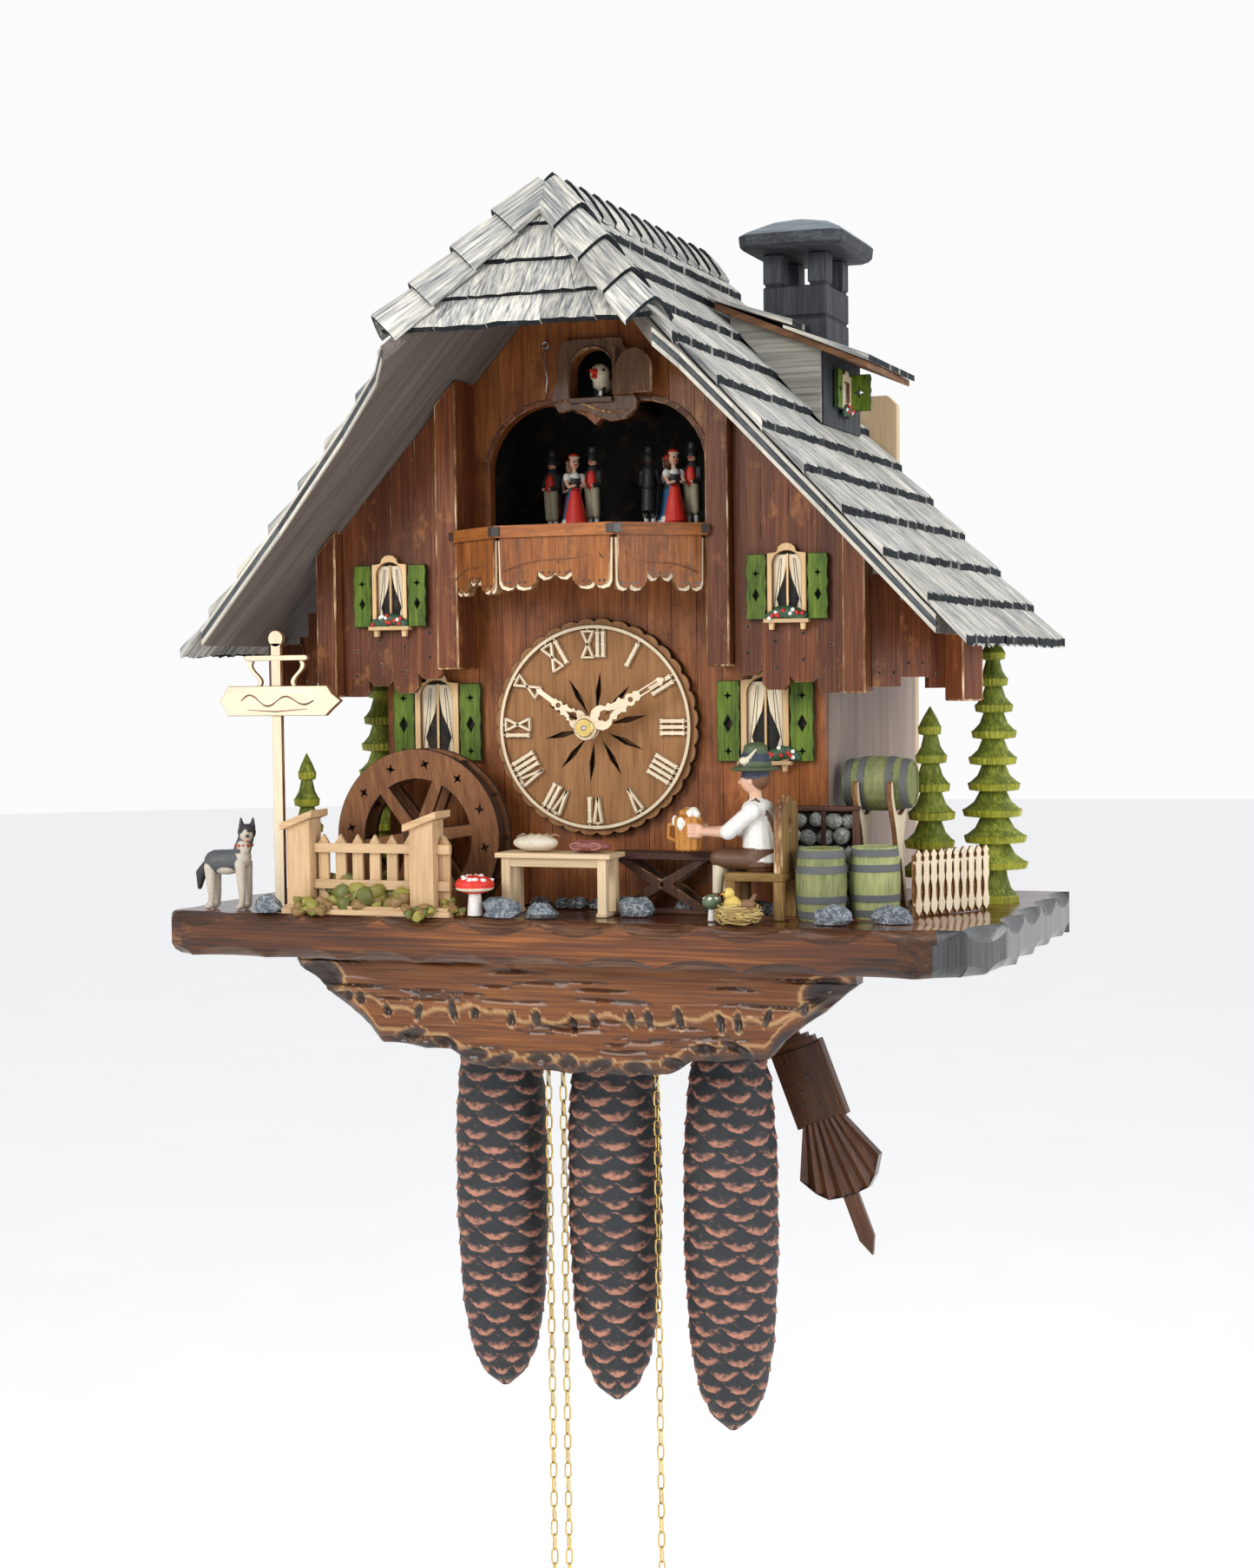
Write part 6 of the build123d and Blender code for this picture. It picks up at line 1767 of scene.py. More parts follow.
def make_fence_and_sign():
    shape = Shape()
    shape.add(slab(-160, -58, 0.1, 3.0, 60, 78), FACADE, 0, **LEVEL)
    shape.add(slab(-158.5, -59.5, 3.0, 5.0, 61.5, 76.5), FACADE, 0, **LEVEL)
    for x in (-150, -75):
        shape.add(slab(x - 7, x + 7, 5, 47.6, 62, 76), FACADE)
        cap = [(x - 10, 46.4), (x + 10, 53.8), (x + 10, 57.6), (x - 10, 50.2)]
        shape.add(prism(cap, 59.2, 78.8), FACADE, 0, **LEVEL)
        shape.add(prism([(x - 7, 47.4), (x + 7, 47.4), (x + 7, 52.4), (x - 7, 47.6)], 62, 76), FACADE)
    for z in (14, 34):
        shape.add(slab(-143, -60, z, z + 5, 69, 72), FACADE, 0, **LEVEL)
    for i in range(8):
        shape.add(prism(picket(-138 + 10.5 * i, 4.8, 44, 3.1), 66.8, 69), FACADE)
    make("fence_front", shape, "case", [FENCE, TOAST], ("fences_and_sign",), bevel=0.35)
    growth = Shape()
    moss(growth, ((-120, -66, 4, 13, 60), (-96, -66, 4, 12, 55), (-75, -80, 1, 7, 22), (-66, -66, 4, 6, 26),
                  (-140, -78, 2, 8, 30), (-128, -64, 12, 9, 26), (-100, -63, 14, 8, 22),
                  (-58, -72, 1, 5, 16)), 3)
    make("fence_moss", growth, "case", [RESIN], angle=70)
    side = Shape()
    place = Place((183, -17, 0), math.degrees(math.atan2(53, 30)))
    pales, pitch = 10, 5.9
    for i in range(pales):
        u = 3.2 + i * pitch
        left = [(u - half, v) for half, v in PALE_SHAPE]
        right = [(u + half, v) for half, v in PALE_SHAPE]
        side.add(plate([left[::-1] + right], -0.2, 1.2, 0.2), place)
    side.add(slab(0.6, 59.0, 0.6, 33.0, -1.6, -0.3), place, 1, **LEVEL)
    for v in (6.3, 28.4):
        side.add(slab(0.4, 59.2, v, v + 1.3, -0.3, 1.0), place, 0, **LEVEL)
    make("fence_side", side, "case", [CREAM, TOAST])
    sign = Shape()
    post = Place((-172, -56, 0))
    sign.add(plate([[(-3, 0.2), (3, 0.2), (3, 150), (-3, 150)]], -1.5, 1.5, 0.2), post)
    sign.add(plate([circle(0, 152.5, 4.6, 20)], -1.5, 1.5, 0.2), post)
    bar = [(-19, 140.2), (19, 140.2), (20.4, 141.6), (19, 143.2), (-19, 143.2), (-20.4, 141.6)]
    sign.add(plate([bar], -1.6, 1.6, 0.2), post, **LEVEL)
    for s in (-1, 1):
        bend = [(s * (13.5 + 3.2 * math.sin(math.pi * (0.25 + 1.5 * t))), 140.0 - 14.2 * t)
                for t in (i / 10 for i in range(11))]
        curl = [(u + 1.3, v) for u, v in bend] + [(u - 1.3, v) for u, v in bend[::-1]]
        sign.add(plate([curl[::-1]], -1.2, 1.2, 0.2), post)
    board = [(-37, 117.5), (-33.5, 112.5), (-32, 109.2), (30, 109.2), (33.5, 112.5), (39.5, 117.5),
             (34, 121.6),
             (31, 126), (-31, 126), (-34, 121.6)]
    sign.add(plate([[(u + 1.2, v) for u, v in board]], -1.4, 2.4, 0.3), post, **LEVEL)
    make("sign_board", sign, "case", [CREAM, TOAST])
    flourish = Shape()
    swirl = [(-22 + 46 * t, 117.6 + 3.6 * math.sin(t * 12.6) * (1 - 0.5 * t), 2.5)
             for t in (i / 40 for i in range(41))]
    flourish.add(tube(swirl, [0.25 + 0.22 * abs(math.sin(i * 0.31)) for i in range(41)], 5), post)
    flourish.add(tube([(-18, 112.6, 2.5), (0, 111.6, 2.5), (20, 113.0, 2.5)], [0.15, 0.35, 0.15], 5), post)
    make("sign_flourish", flourish, "case", [DARK])


TREE_TIP = wood("tree_tips", [(0.10, 0.11, 0.008), (0.25, 0.26, 0.022), (0.44, 0.43, 0.06)], (9, 1.4),
                rough=0.5,
                bump=0.4, tone=0.2, contrast=(0.32, 0.68))
TREE_FOOT = ((0, 0.74), (3.2, 0.74), (4.2, 0.66), (8, 0.50), (14, 0.40), (19, 0.36))
TREE_SIDES = 96
TREES = ((-165, -36, 88, 12), (-176, 82, 134, 20), (176, 54, 111, 16), (206, 80, 151, 19))


def make_trees():
    """Carved firs: a flared foot, then tiers whose lower edges are cut into short vertical scallops."""
    for index, (x, y, height, radius) in enumerate(TREES):
        luck = random.Random(index)
        foot = radius
        tiers = max(4, round((height - foot) / 15.5))
        profile = [(v * radius / 19, radius * r) for v, r in TREE_FOOT]
        lobes = [0.03, 0.03, 0, 0, 0, 0]
        turns = [0.0] * len(profile)
        tips = [0, 1]
        for k in range(tiers):
            low = foot + (height - foot) * k / tiers
            rise = (height - foot) / tiers
            wide = radius * (1 - 0.74 * (k / tiers) ** 1.25) * luck.uniform(0.95, 1.03)
            turn = luck.uniform(0, 6)
            first = len(profile)
            profile += [(low - 0.8, wide * 0.55), (low, wide * 0.94), (low + 0.25 * rise, wide),
                        (low + 0.31 * rise, wide * 0.88),
                        (low + 0.55 * rise, wide * 0.62),
                        (low + 0.96 * rise, wide * (0.44 if k < tiers - 1 else 0.05))]
            lobes += [0, 0.06, 0.05, 0.02, 0.03, 0]
            turns += [turn] * 6
            tips += [first, first + 1]

        def wave(a, i, lobes=lobes, turns=turns, count=round(radius * 1.25)):
            cut = 1 - lobes[i] * (1 - abs(math.sin(a * count / 2 + turns[i])))
            return cut * (1 + 0.05 * math.sin(a * 3 + turns[i]) * (i > 5))

        verts, faces = lathe(profile, (x, y, 0), (0, 0, 1), TREE_SIDES, wave)
        mats = [1 if min(face) // TREE_SIDES in tips and len(face) == 4 else 0 for face in faces]
        tree_shape = Shape()
        tree_shape.add((verts, faces, mats), Plain, **UPRIGHT)
        make(f"tree_{index + 1}", tree_shape, "case", [TREE, TREE_TIP], ("trees",) if index == 0
             else (), angle=38)


def make_stones():
    rocks, heap, dark = Shape(), Shape(), Shape()
    for i, (x, y, r) in enumerate(((-169, -75, 8), (-31, -70, 9.5), (-8, -68, 8), (37, -45, 8.5),
                                   (152, -62, 9), (181, -49, 9))):
        rocks.add(ball((x, y, r * 0.36), (r * 1.15, r * 0.85, r * 0.85), 6, 8, 0.22, i + 20, True), Plain)
    for i, (x, y, r) in enumerate(((-30, -16, 6), (-18, -12, 5.5), (-8, -14, 6), (3, -12, 5),
                                   (20, -14, 6.5), (55, -12, 6),
                                   (84, -14, 6.5), (96, -10, 6), (70, -10, 5.5), (112, -24, 6),
                                   (104, -14, 6), (90, -6, 5),
                                   (-44, -30, 5), (-52, -24, 6))):
        dark.add(ball((x, y, r * 0.4), (r * 1.1, r, r * 0.75), 8, 12, 0.1, i, True), Plain)
    luck = random.Random(2)
    for row in range(6):
        for col in range(4):
            x = 112.5 + col * 9.6 + (4.4 if row % 2 else 0) + luck.uniform(-0.8, 0.8)
            if x < 148:
                heap.add(ball((x, -3.6 + luck.uniform(-1, 1), 5.5 + row * 9.0 + luck.uniform(-0.8, 0.8)),
                              (luck.uniform(4.6, 5.6), 3.2, luck.uniform(4.0, 4.8)), 9, 14, 0.08,
                              row * 9 + col), Plain)
    posts = Shape()
    for x in (110.0, 130.0, 147.5):
        posts.add(slab(x, x + 2.5, 0.3, 57.6, 0.4, 7.0), FACADE)
    posts.add(slab(109.5, 150.5, 55.5, 58.0, 0.3, 7.4), FACADE, 0, **LEVEL)
    # Near-black sheet behind the pebbles: painted shade in the gaps between them.
    posts.add(slab(110.5, 149.5, 0.3, 57, 0.3, 1.2), FACADE, 1)
    make("rocks", rocks, "case", [GRANITE], ("stones",), angle=16)
    make("dark_pebbles", dark, "case", [DARK_PEBBLE], angle=60)
    make("pebble_wall", heap, "case", [PEBBLE], angle=60)
    make("pebble_wall_frame", posts, "case", [TABLE_DARK, SHADE_BLACK], bevel=0.3)


def make_furniture():
    table, cross, chair = Shape(), Shape(), Shape()
    table.add(slab(-40, 27, 31.4, 34, 33, 57), FACADE, 0, **LEVEL)
    table.add(slab(-36, 23, 26.5, 31.4, 35.5, 54.5), FACADE, 0, **LEVEL)
    for u in (-37, 19):
        for w in (35, 50):
            table.add(slab(u, u + 5, 0.1, 31.4, w, w + 5), FACADE)
        table.add(slab(u - 0.5, u + 5.5, 0.1, 2.2, 34, 56), FACADE, 0, **UPRIGHT)
    make("serving_table", table, "case", [PALE, TOAST], ("garden_furniture",), bevel=0.3)
    cross.add(slab(14, 76, 29.5, 33, 6, 28), FACADE, 0, **LEVEL)
    for w in (8, 23):
        cross.add(plate([[(18, 2), (25, 2), (45, 13.2), (65, 2), (72, 2), (51, 15.6), (72, 29.4),
                          (65, 29.4),
                          (45, 18), (25, 29.4), (18, 29.4), (39, 15.6)], circle(45, 15.6, 1.6, 12)], w,
                        w + 3, 0.2), FACADE)
        cross.add(slab(16, 74, 0.1, 2.4, w - 1, w + 4), FACADE, 0, **LEVEL)
    make("cross_table", cross, "case", [TABLE_DARK, WORN], bevel=0.25)
    chair.add(slab(89.6, 122, 20.6, 25, 22, 52), FACADE, 0, **LEVEL)
    for u in (90, 116.5):
        for w in (22.5, 46.5):
            chair.add(slab(u, u + 5.5, 0.1, 20.6, w, w + 5.5), FACADE)
    outline = [(22, 25), (52, 25), (52, 56), (49.5, 62), (45, 60.5), (41, 64.5), (37, 66), (33, 64.5),
               (29, 60.5), (24.5, 62),
               (22, 56)]
    back = [(-u, v) for u, v in outline][::-1]
    hole = [(-37 + 3 * math.cos(a), 50 + 4 * math.sin(a)) for a in (turned(i, 12) for i in range(12))]
    chair.add(plate([back, hole], 117, 121.8, 0.4), Place((0, 0, 0), 90))
    make("chair", chair, "case", [OCHRE, WORN], bevel=0.5)


def make_figure():
    x, y = 103.0, -37.0
    green, navy = (0.075, 0.11, 0.05), (0.03, 0.04, 0.07)
    leather = (0.11, 0.05, 0.022)
    body = [capsule((x + 3, y, 31), (x + 1.5, y, 55), 10.6, 8.6, WHITE),
            egg((x + 1, y, 58), (8.6, 11.8, 6.0), WHITE),
            capsule((x + 3, y, 27.6), (x + 2.6, y, 35), 10.8, 10.4, leather, True),
            capsule((x, y - 5, 31), (84, y - 6, 32), 5.6, 5.0, leather),
            capsule((x, y + 5, 31), (84, y + 6, 32), 5.6, 5.0, leather),
            capsule((84, y - 6, 30), (83, y - 6, 14), 3.6, 2.8, CREAM_PAINT),
            capsule((84, y + 6, 30), (83, y + 6, 14), 3.6, 2.8, CREAM_PAINT),
            capsule((83, y - 6, 14), (83, y - 6, 7), 2.8, 2.8, BROWN),
            capsule((83, y + 6, 14), (83, y + 6, 7), 2.8, 2.8, BROWN),
            egg((81, y - 6, 4.6), (5.2, 2.9, 2.6), BLACK), egg((81, y + 6, 4.6), (5.2, 2.9, 2.6), BLACK),
            capsule((x, y, 62), (x - 0.6, y, 68), 3.6, 3.4, SKIN),
            egg((x - 1.6, y, 73.4), (6.9, 6.4, 7.2), SKIN),
            egg((x + 1.0, y, 74.4), (6.6, 6.8, 6.6), BROWN), egg((x - 8.6, y, 72.4), (1.5, 1.1, 1.2), SKIN),
            egg((x - 7.2, y - 2.6, 75.0), (0.9, 0.7, 0.6), BLACK, 0.4),
            egg((x - 7.2, y + 2.6, 75.0), (0.9, 0.7, 0.6), BLACK, 0.4),
            egg((x - 1.5, y - 6.6, 72.8), (1.2, 0.8, 1.7), SKIN),
            egg((x - 1.5, y + 6.6, 72.8), (1.2, 0.8, 1.7), SKIN),
            egg((x - 0.5, y, 79.6), (13.2, 12.4, 1.9), green),
            capsule((x - 0.5, y, 80), (x - 0.3, y, 83), 9.0, 8.6, navy, True),
            capsule((x - 0.3, y, 82.6), (x, y, 91), 8.9, 6.0, green, True),
            egg((x, y, 90.6), (6.6, 6.2, 3.0), green),
            egg((x - 4, y - 8.6, 84), (2.6, 1.4, 2.2), CREAM_PAINT),
            capsule((x - 3, y - 8.4, 84), (x + 3, y - 8.2, 90), 1.1, 0.6, CREAM_PAINT)]
    for s in (-1, 1):
        body.append(egg((x + 0.5, y + s * 10.2, 57.2), (5.0, 4.0, 5.2), WHITE))
        strap = [(x + 12.4, y + s * 1.5, 36), (x + 11.4, y + s * 4, 46), (x + 9.0, y + s * 6, 55),
                 (x + 2.0, y + s * 6.8, 63.6),
                 (x - 5.8, y + s * 6.0, 57)]
        body += [capsule(a, b, 0.9, 0.9, leather, False, 0.25) for a, b in zip(strap, strap[1:])]
    piece = stand("drinker_carved", sculpt("drinker_carved", body, 0.55, 3), (0, 0, 0), 0, "case")
    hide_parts("drinker_body")
    cloth, hand = WHITE, SKIN
    mx, my = 65.0, -37.0
    amber, foam = (0.50, 0.21, 0.035), (0.86, 0.84, 0.76)
    arm = []
    for s in (-1, 1):
        elbow = (x - 12, y + s * 11.4, 46.5)
        arm += [capsule((x - 1, y + s * 10.6, 56), elbow, 4.3, 4.4, cloth),
                capsule(elbow, (x - 19, y + s * 9.4, 46), 3.6, 2.6, hand),
                capsule((x - 19, y + s * 9.4, 46), (mx + 9.4, my + s * 5.0, 46), 2.6, 2.2, hand),
                egg((mx + 8.0, my + s * 4.2, 46), (2.8, 2.4, 3.6), hand)]
        arm += [capsule((mx + 7.6, my + s * 4.4, 43.4 + 1.9 * i), (mx + 2.8, my + s * 7.6, 43.6 + 1.9 * i),
                        1.0, 0.85, hand)
                for i in range(4)]
    for i in range(10):
        a = turned(i, 10)
        arm.append(capsule((mx + 5.6 * math.cos(a), my + 5.6 * math.sin(a), 37),
                           (mx + 6.0 * math.cos(a), my + 6.0 * math.sin(a), 52),
                           1.9, 1.9, amber))
    arm += [capsule((mx, my, 36.4), (mx, my, 53), 6.2, 6.4, amber, True),
            capsule((mx, my, 35.8), (mx, my, 38), 7.0, 6.8, amber, True)]
    luck = random.Random(4)
    for i in range(13):
        a, r = luck.uniform(0, 6.28), luck.uniform(0.5, 6.2)
        arm.append(egg((mx + r * math.cos(a), my + r * math.sin(a), 54.6 + luck.uniform(-0.8, 1.8)),
                       luck.uniform(2.0, 3.0), foam))
    arm += [egg((mx - 6.8, my - 2.4, 51.4), (1.7, 1.9, 3.2), foam),
            egg((mx - 2, my - 7.4, 50.4), (2.0, 1.5, 3.6), foam)]
    grip = [(mx - 6, my + 1.5, 50), (mx - 11.5, my + 1.5, 49), (mx - 11.8, my + 1.5, 42),
            (mx - 6.5, my + 1.5, 40)]
    arm += [capsule(a, b, 1.2, 1.2, amber) for a, b in zip(grip, grip[1:])]
    piece = stand("drinker_arm_and_mug", sculpt("drinker_arm_and_mug", arm, 0.5, 2), (0, 0, 0), 0,
                  "drinker_arm")
    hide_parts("drinker_arm")


def barrel(shape, base, axis, length, belly, end):
    staves = 16
    profile = [(0.8, 0.3), (0.8, end - 1.2), (0, end - 1.1)]
    profile += [(length * i / 12, end + (belly - end) * math.sin(math.pi * i / 12)) for i in range(13)]
    profile += [(length, end - 1.1), (length - 0.8, end - 1.2), (length - 0.8, 0.3)]

    def seams(a, _):
        return 1 - 0.02 * abs(math.cos(a * staves / 2)) ** 8

    shape.add(lathe(profile, base, axis, staves * 4, seams), Plain, 0, **UPRIGHT)
    for t0, t1 in ((0.03, 0.13), (0.24, 0.34), (0.66, 0.76), (0.87, 0.97)):
        r0, r1 = (end + (belly - end) * math.sin(math.pi * t) + 0.05 for t in (t0, t1))
        shape.add(lathe([(length * t0, r0 - 0.6), (length * t0, r0 + 0.35), (length * t1, r1 + 0.35),
                         (length * t1, r1 - 0.6)],
                        base, axis, 48), Plain, 1)


def make_barrels():
    shape = Shape()
    for x, y in ((138, -36), (163, -20)):
        barrel(shape, (x, y, 0.1), (0, 0, 1), 37.9, 13.7, 11.9)
    cx, cy, cz, length, r = 155, 25, 69, 37, 15
    barrel(shape, (cx - length / 2, cy, cz), (1, 0, 0), length, r, 12.6)
    for k in (3.5, 7.0, 9.6):
        ring = [(cx - length / 2 + 0.7, cy + k * math.cos(a), cz + k * math.sin(a))
                for a in (turned(i, 24) for i in range(25))]
        shape.add(tube(ring, 0.35, 5), Plain, 1)
    make("barrel_set", shape, "case", [BARREL, HOOP], ("barrels",), angle=30)
    stand_shape = Shape()
    for x in (144.2, 163.2):
        place = Place((x, 0, 0), 90)
        y0 = cy
        outline = [(y0 - 16, 0.2), (y0 - 11, 0.2), (y0 - 1, 28), (y0 + 1, 28), (y0 + 11, 0.2),
                   (y0 + 16, 0.2), (y0 + 5.5, 33),
                   (y0 + 10, 44), (y0 + 15.0, 53), (y0 + 19.5, 62), (y0 + 20, 70), (y0 + 16.6, 71),
                   (y0 + 14.4, 62.5),
                   (y0 + 9.5, 54), (y0 + 3.5, 52), (y0 - 3.5, 52), (y0 - 9.5, 54), (y0 - 14.4, 62.5),
                   (y0 - 16.6, 71),
                   (y0 - 20, 70), (y0 - 19.5, 62), (y0 - 15, 53), (y0 - 10, 44), (y0 - 5.5, 33)]
        stand_shape.add(plate([outline], 0, 2.8, 0.25), place)
    make("barrel_cradle", stand_shape, "case", [CREAM, TOAST])
    tie = Shape()
    tie.add(tube([(146.5, cy, 31), (155, cy, 31), (163.8, cy, 31)], 1.9, 12), Plain)
    make("barrel_cradle_rod", tie, "case", [TABLE_DARK])


def make_ornaments():
    back, cream, dark = (0.075, 0.08, 0.085), (0.55, 0.49, 0.40), (0.03, 0.03, 0.035)
    dog = [capsule((-210, -62.5, 27), (-196, -62.5, 28), 6.6, 6.2, back),
           egg((-203, -62.5, 24.6), (9.5, 5.4, 5.0), cream),
           egg((-193, -62.5, 29.5), (5.4, 5.2, 6.6), cream),
           capsule((-193, -62.5, 33), (-190, -62.5, 41), 5.0, 4.4, back),
           egg((-190.8, -64.5, 35.5), (4.0, 3.6, 5.2), cream),
           egg((-189.6, -62.5, 43.8), (5.2, 5.2, 4.8), dark),
           egg((-188.6, -64.8, 42.6), (3.7, 3.6, 3.9), cream),
           capsule((-187.4, -66.4, 42.2), (-185.2, -69.8, 41.4), 2.5, 1.5, cream),
           egg((-184.8, -70.6, 42.2), (1.0, 0.9, 0.8), BLACK, 0.4),
           egg((-185.8, -69.6, 39.8), (0.9, 1.4, 0.9), (0.75, 0.25, 0.16), 0.4),
           egg((-190.2, -67.6, 44.8), (0.7, 0.6, 0.7), BLACK, 0.5),
           egg((-186.2, -66.6, 44.8), (0.7, 0.6, 0.7), BLACK, 0.5),
           capsule((-193.0, -62.0, 46.4), (-193.8, -61.6, 51.6), 2.0, 0.6, dark),
           capsule((-187.0, -61.0, 46.6), (-186.6, -60.6, 51.6), 2.0, 0.6, dark),
           capsule((-214.5, -62, 27), (-220, -61.5, 20), 2.4, 3.2, dark),
           capsule((-220, -61.5, 20), (-221.5, -61, 12), 3.2, 1.4, dark),
           egg((-191.6, -66.9, 34.0), (0.9, 0.7, 0.9), (0.05, 0.045, 0.05), 0.5)]
    for px, py, top in ((-212, -66, 24), (-212, -59, 24), (-192, -66.4, 26), (-192, -58.8, 26)):
        dog += [capsule((px, py, top), (px + 1, py, 8), 3.2, 1.9, cream),
                capsule((px + 1, py, 8), (px + 0.6, py, 2.6), 1.9, 1.8, cream),
                egg((px - 0.2, py - 1.2, 1.7), (2.3, 2.8, 1.6), cream)]
    for i in range(9):
        a = math.pi * (0.9 + 1.2 * i / 8)
        dog.append(egg((-191.6 + 4.9 * math.cos(a), -62.5 + 4.9 * math.sin(a), 36.4), 0.75,
                       (0.30, 0.05, 0.02), 0.4))
    piece = stand("dog_carved", sculpt("dog_carved", dog, 0.5, 2, 0.05), (0, 0, 0), 0, "case")
    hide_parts("garden_ornaments")
    stool = [capsule((-47, -68, 0.6), (-47, -68, 15), 4.4, 3.2, WHITE, True),
             egg((-47, -68, 15.6), (10.6, 10.4, 2.2), CREAM_PAINT),
             egg((-47, -68, 17.6), (10.8, 10.6, 5.2), RED)]
    for i in range(11):
        a, t = i * 2.4, 0.35 + 0.6 * ((i * 0.37) % 1)
        stool.append(egg((-47 + 10.2 * t * math.cos(a), -68 + 10.2 * t * math.sin(a),
                          17.6 + 5.2 * math.sqrt(1 - (t * 0.93) ** 2)),
                         (1.2, 1.2, 0.8), WHITE, 0.5))
    stand("toadstool", sculpt("toadstool", stool, 0.4, 2), (0, 0, 0), 0, "case")
    grey_green = (0.12, 0.17, 0.10)
    small = [capsule((86, -62, 0.5), (86, -62, 9), 2.2, 1.6, WHITE, True),
             egg((86, -62, 10.6), (5.2, 5.2, 4.0), grey_green)]
    small += [egg((86 + 4 * math.cos(a), -62 + 4 * math.sin(a), 12.6), (0.7, 0.7, 0.6), WHITE, 0.4)
              for a in (0.4, 2.2, 3.6, 4.8, 5.7)]
    stand("small_mushroom", sculpt("small_mushroom", small, 0.35, 2), (0, 0, 0), 0, "case")
    straw, luck = Shape(), random.Random(8)
    for i in range(150):
        a, lift = luck.uniform(0, 6.28), luck.uniform(0, 1)
        r = 9.2 + 2.4 * math.sin(lift * 3.1) + luck.uniform(-1.2, 1.0)
        z = 1.0 + lift * 8.5
        turn = a + luck.uniform(0.5, 1.1)
        straw.add(tube([(103 + r * math.cos(a), -69 + r * math.sin(a), z),
                        (103 + (r + 0.8) * math.cos((a + turn) / 2),
                         -69 + (r + 0.8) * math.sin((a + turn) / 2), z + luck.uniform(-1, 1.5)),
                        (103 + r * math.cos(turn), -69 + r * math.sin(turn),
                         max(0.6, z + luck.uniform(-2, 2)))], 0.42, 5), Plain,
                  paint=luck.choice(((0.50, 0.36, 0.12), (0.62, 0.48, 0.20), (0.36, 0.24, 0.08))))
    straw.add(ball((103, -69, 3.4), (9.6, 9.6, 4.0), 8, 16, 0.05, 3, True), Plain, paint=(0.30, 0.20, 0.07))
    make("nest_straw", straw, "case", [RESIN], angle=60)
    chick = [egg((100, -70, 10.5), (4.6, 4.2, 4.4), (0.70, 0.52, 0.12)),
             egg((98.5, -71.5, 16.2), (3.0, 2.9, 3.0), (0.74, 0.56, 0.14)),
             capsule((96.4, -73.0, 16.2), (94.8, -74.2, 15.8), 0.9, 0.3, (0.62, 0.24, 0.03)),
             egg((97.0, -73.9, 17.2), 0.45, BLACK, 0.3),
             egg((106.5, -67, 9.5), (5.0, 3.6, 3.4), (0.24, 0.13, 0.06)),
             capsule((108, -67, 10), (111, -66, 15), 1.9, 1.0, (0.20, 0.10, 0.05))]
    stand("nest_chick", sculpt("nest_chick", chick, 0.4, 2, 0.08), (0, 0, 0), 0, "case")
    food = Shape()
    food.add(ball((-19.5, -47, 39.0), (13.0, 6.6, 4.7), 14, 24, 0.05, 2), Plain, paint=(0.66, 0.58, 0.45))
    for i in range(5):
        food.add(tube([(-29 + i * 4.6, -51.5, 42.6), (-27 + i * 4.6, -47, 43.9),
                       (-25.4 + i * 4.6, -42.5, 42.4)], [0.2, 0.6, 0.2], 5),
                 Plain, paint=(0.45, 0.34, 0.22))
    food.add(ball((11.5, -46.5, 37.8), (12.4, 6.6, 3.5), 14, 24, 0.06, 6), Plain, paint=(0.23, 0.075, 0.06))
    for k in (-5.5, 4.5):
        ring = [(11.5 + k + 3.6 * math.cos(a), -52.6 + 1.4 * abs(math.cos(a)), 37.9 + 1.7 * math.sin(a))
                for a in (turned(i, 16) for i in range(17))]
        food.add(tube(ring, 0.35, 5), Plain, paint=(0.50, 0.22, 0.17))
    make("bread_and_ham", food, "case", [RESIN], angle=60)


make_fence_and_sign()
make_trees()
make_stones()
make_furniture()
make_figure()
make_barrels()
make_ornaments()


# ---- water wheel --------------------------------------------------------------------------------
WHEEL_AT = (-97.0, 40.0)
WHEEL_R, WHEEL_SPOKES, WHEEL_STARS = 50.0, 6, 12


def wheel_openings():
    """Openings between straight spokes, and stars round the rim."""
    holes = []
    for i in range(WHEEL_SPOKES):
        middle = turned(i, WHEEL_SPOKES)
        half = math.pi / WHEEL_SPOKES
        arc = [middle + (half - 0.10) * t for t in (-1, -0.6, -0.2, 0.2, 0.6, 1)]
        foot = [middle + (half - 0.30) * t for t in (0.6, -0.6)]
        holes.append([(33.0 * math.sin(a), 33.0 * math.cos(a)) for a in arc] +
                     [(10.0 * math.sin(a), 10.0 * math.cos(a)) for a in foot])
    return holes


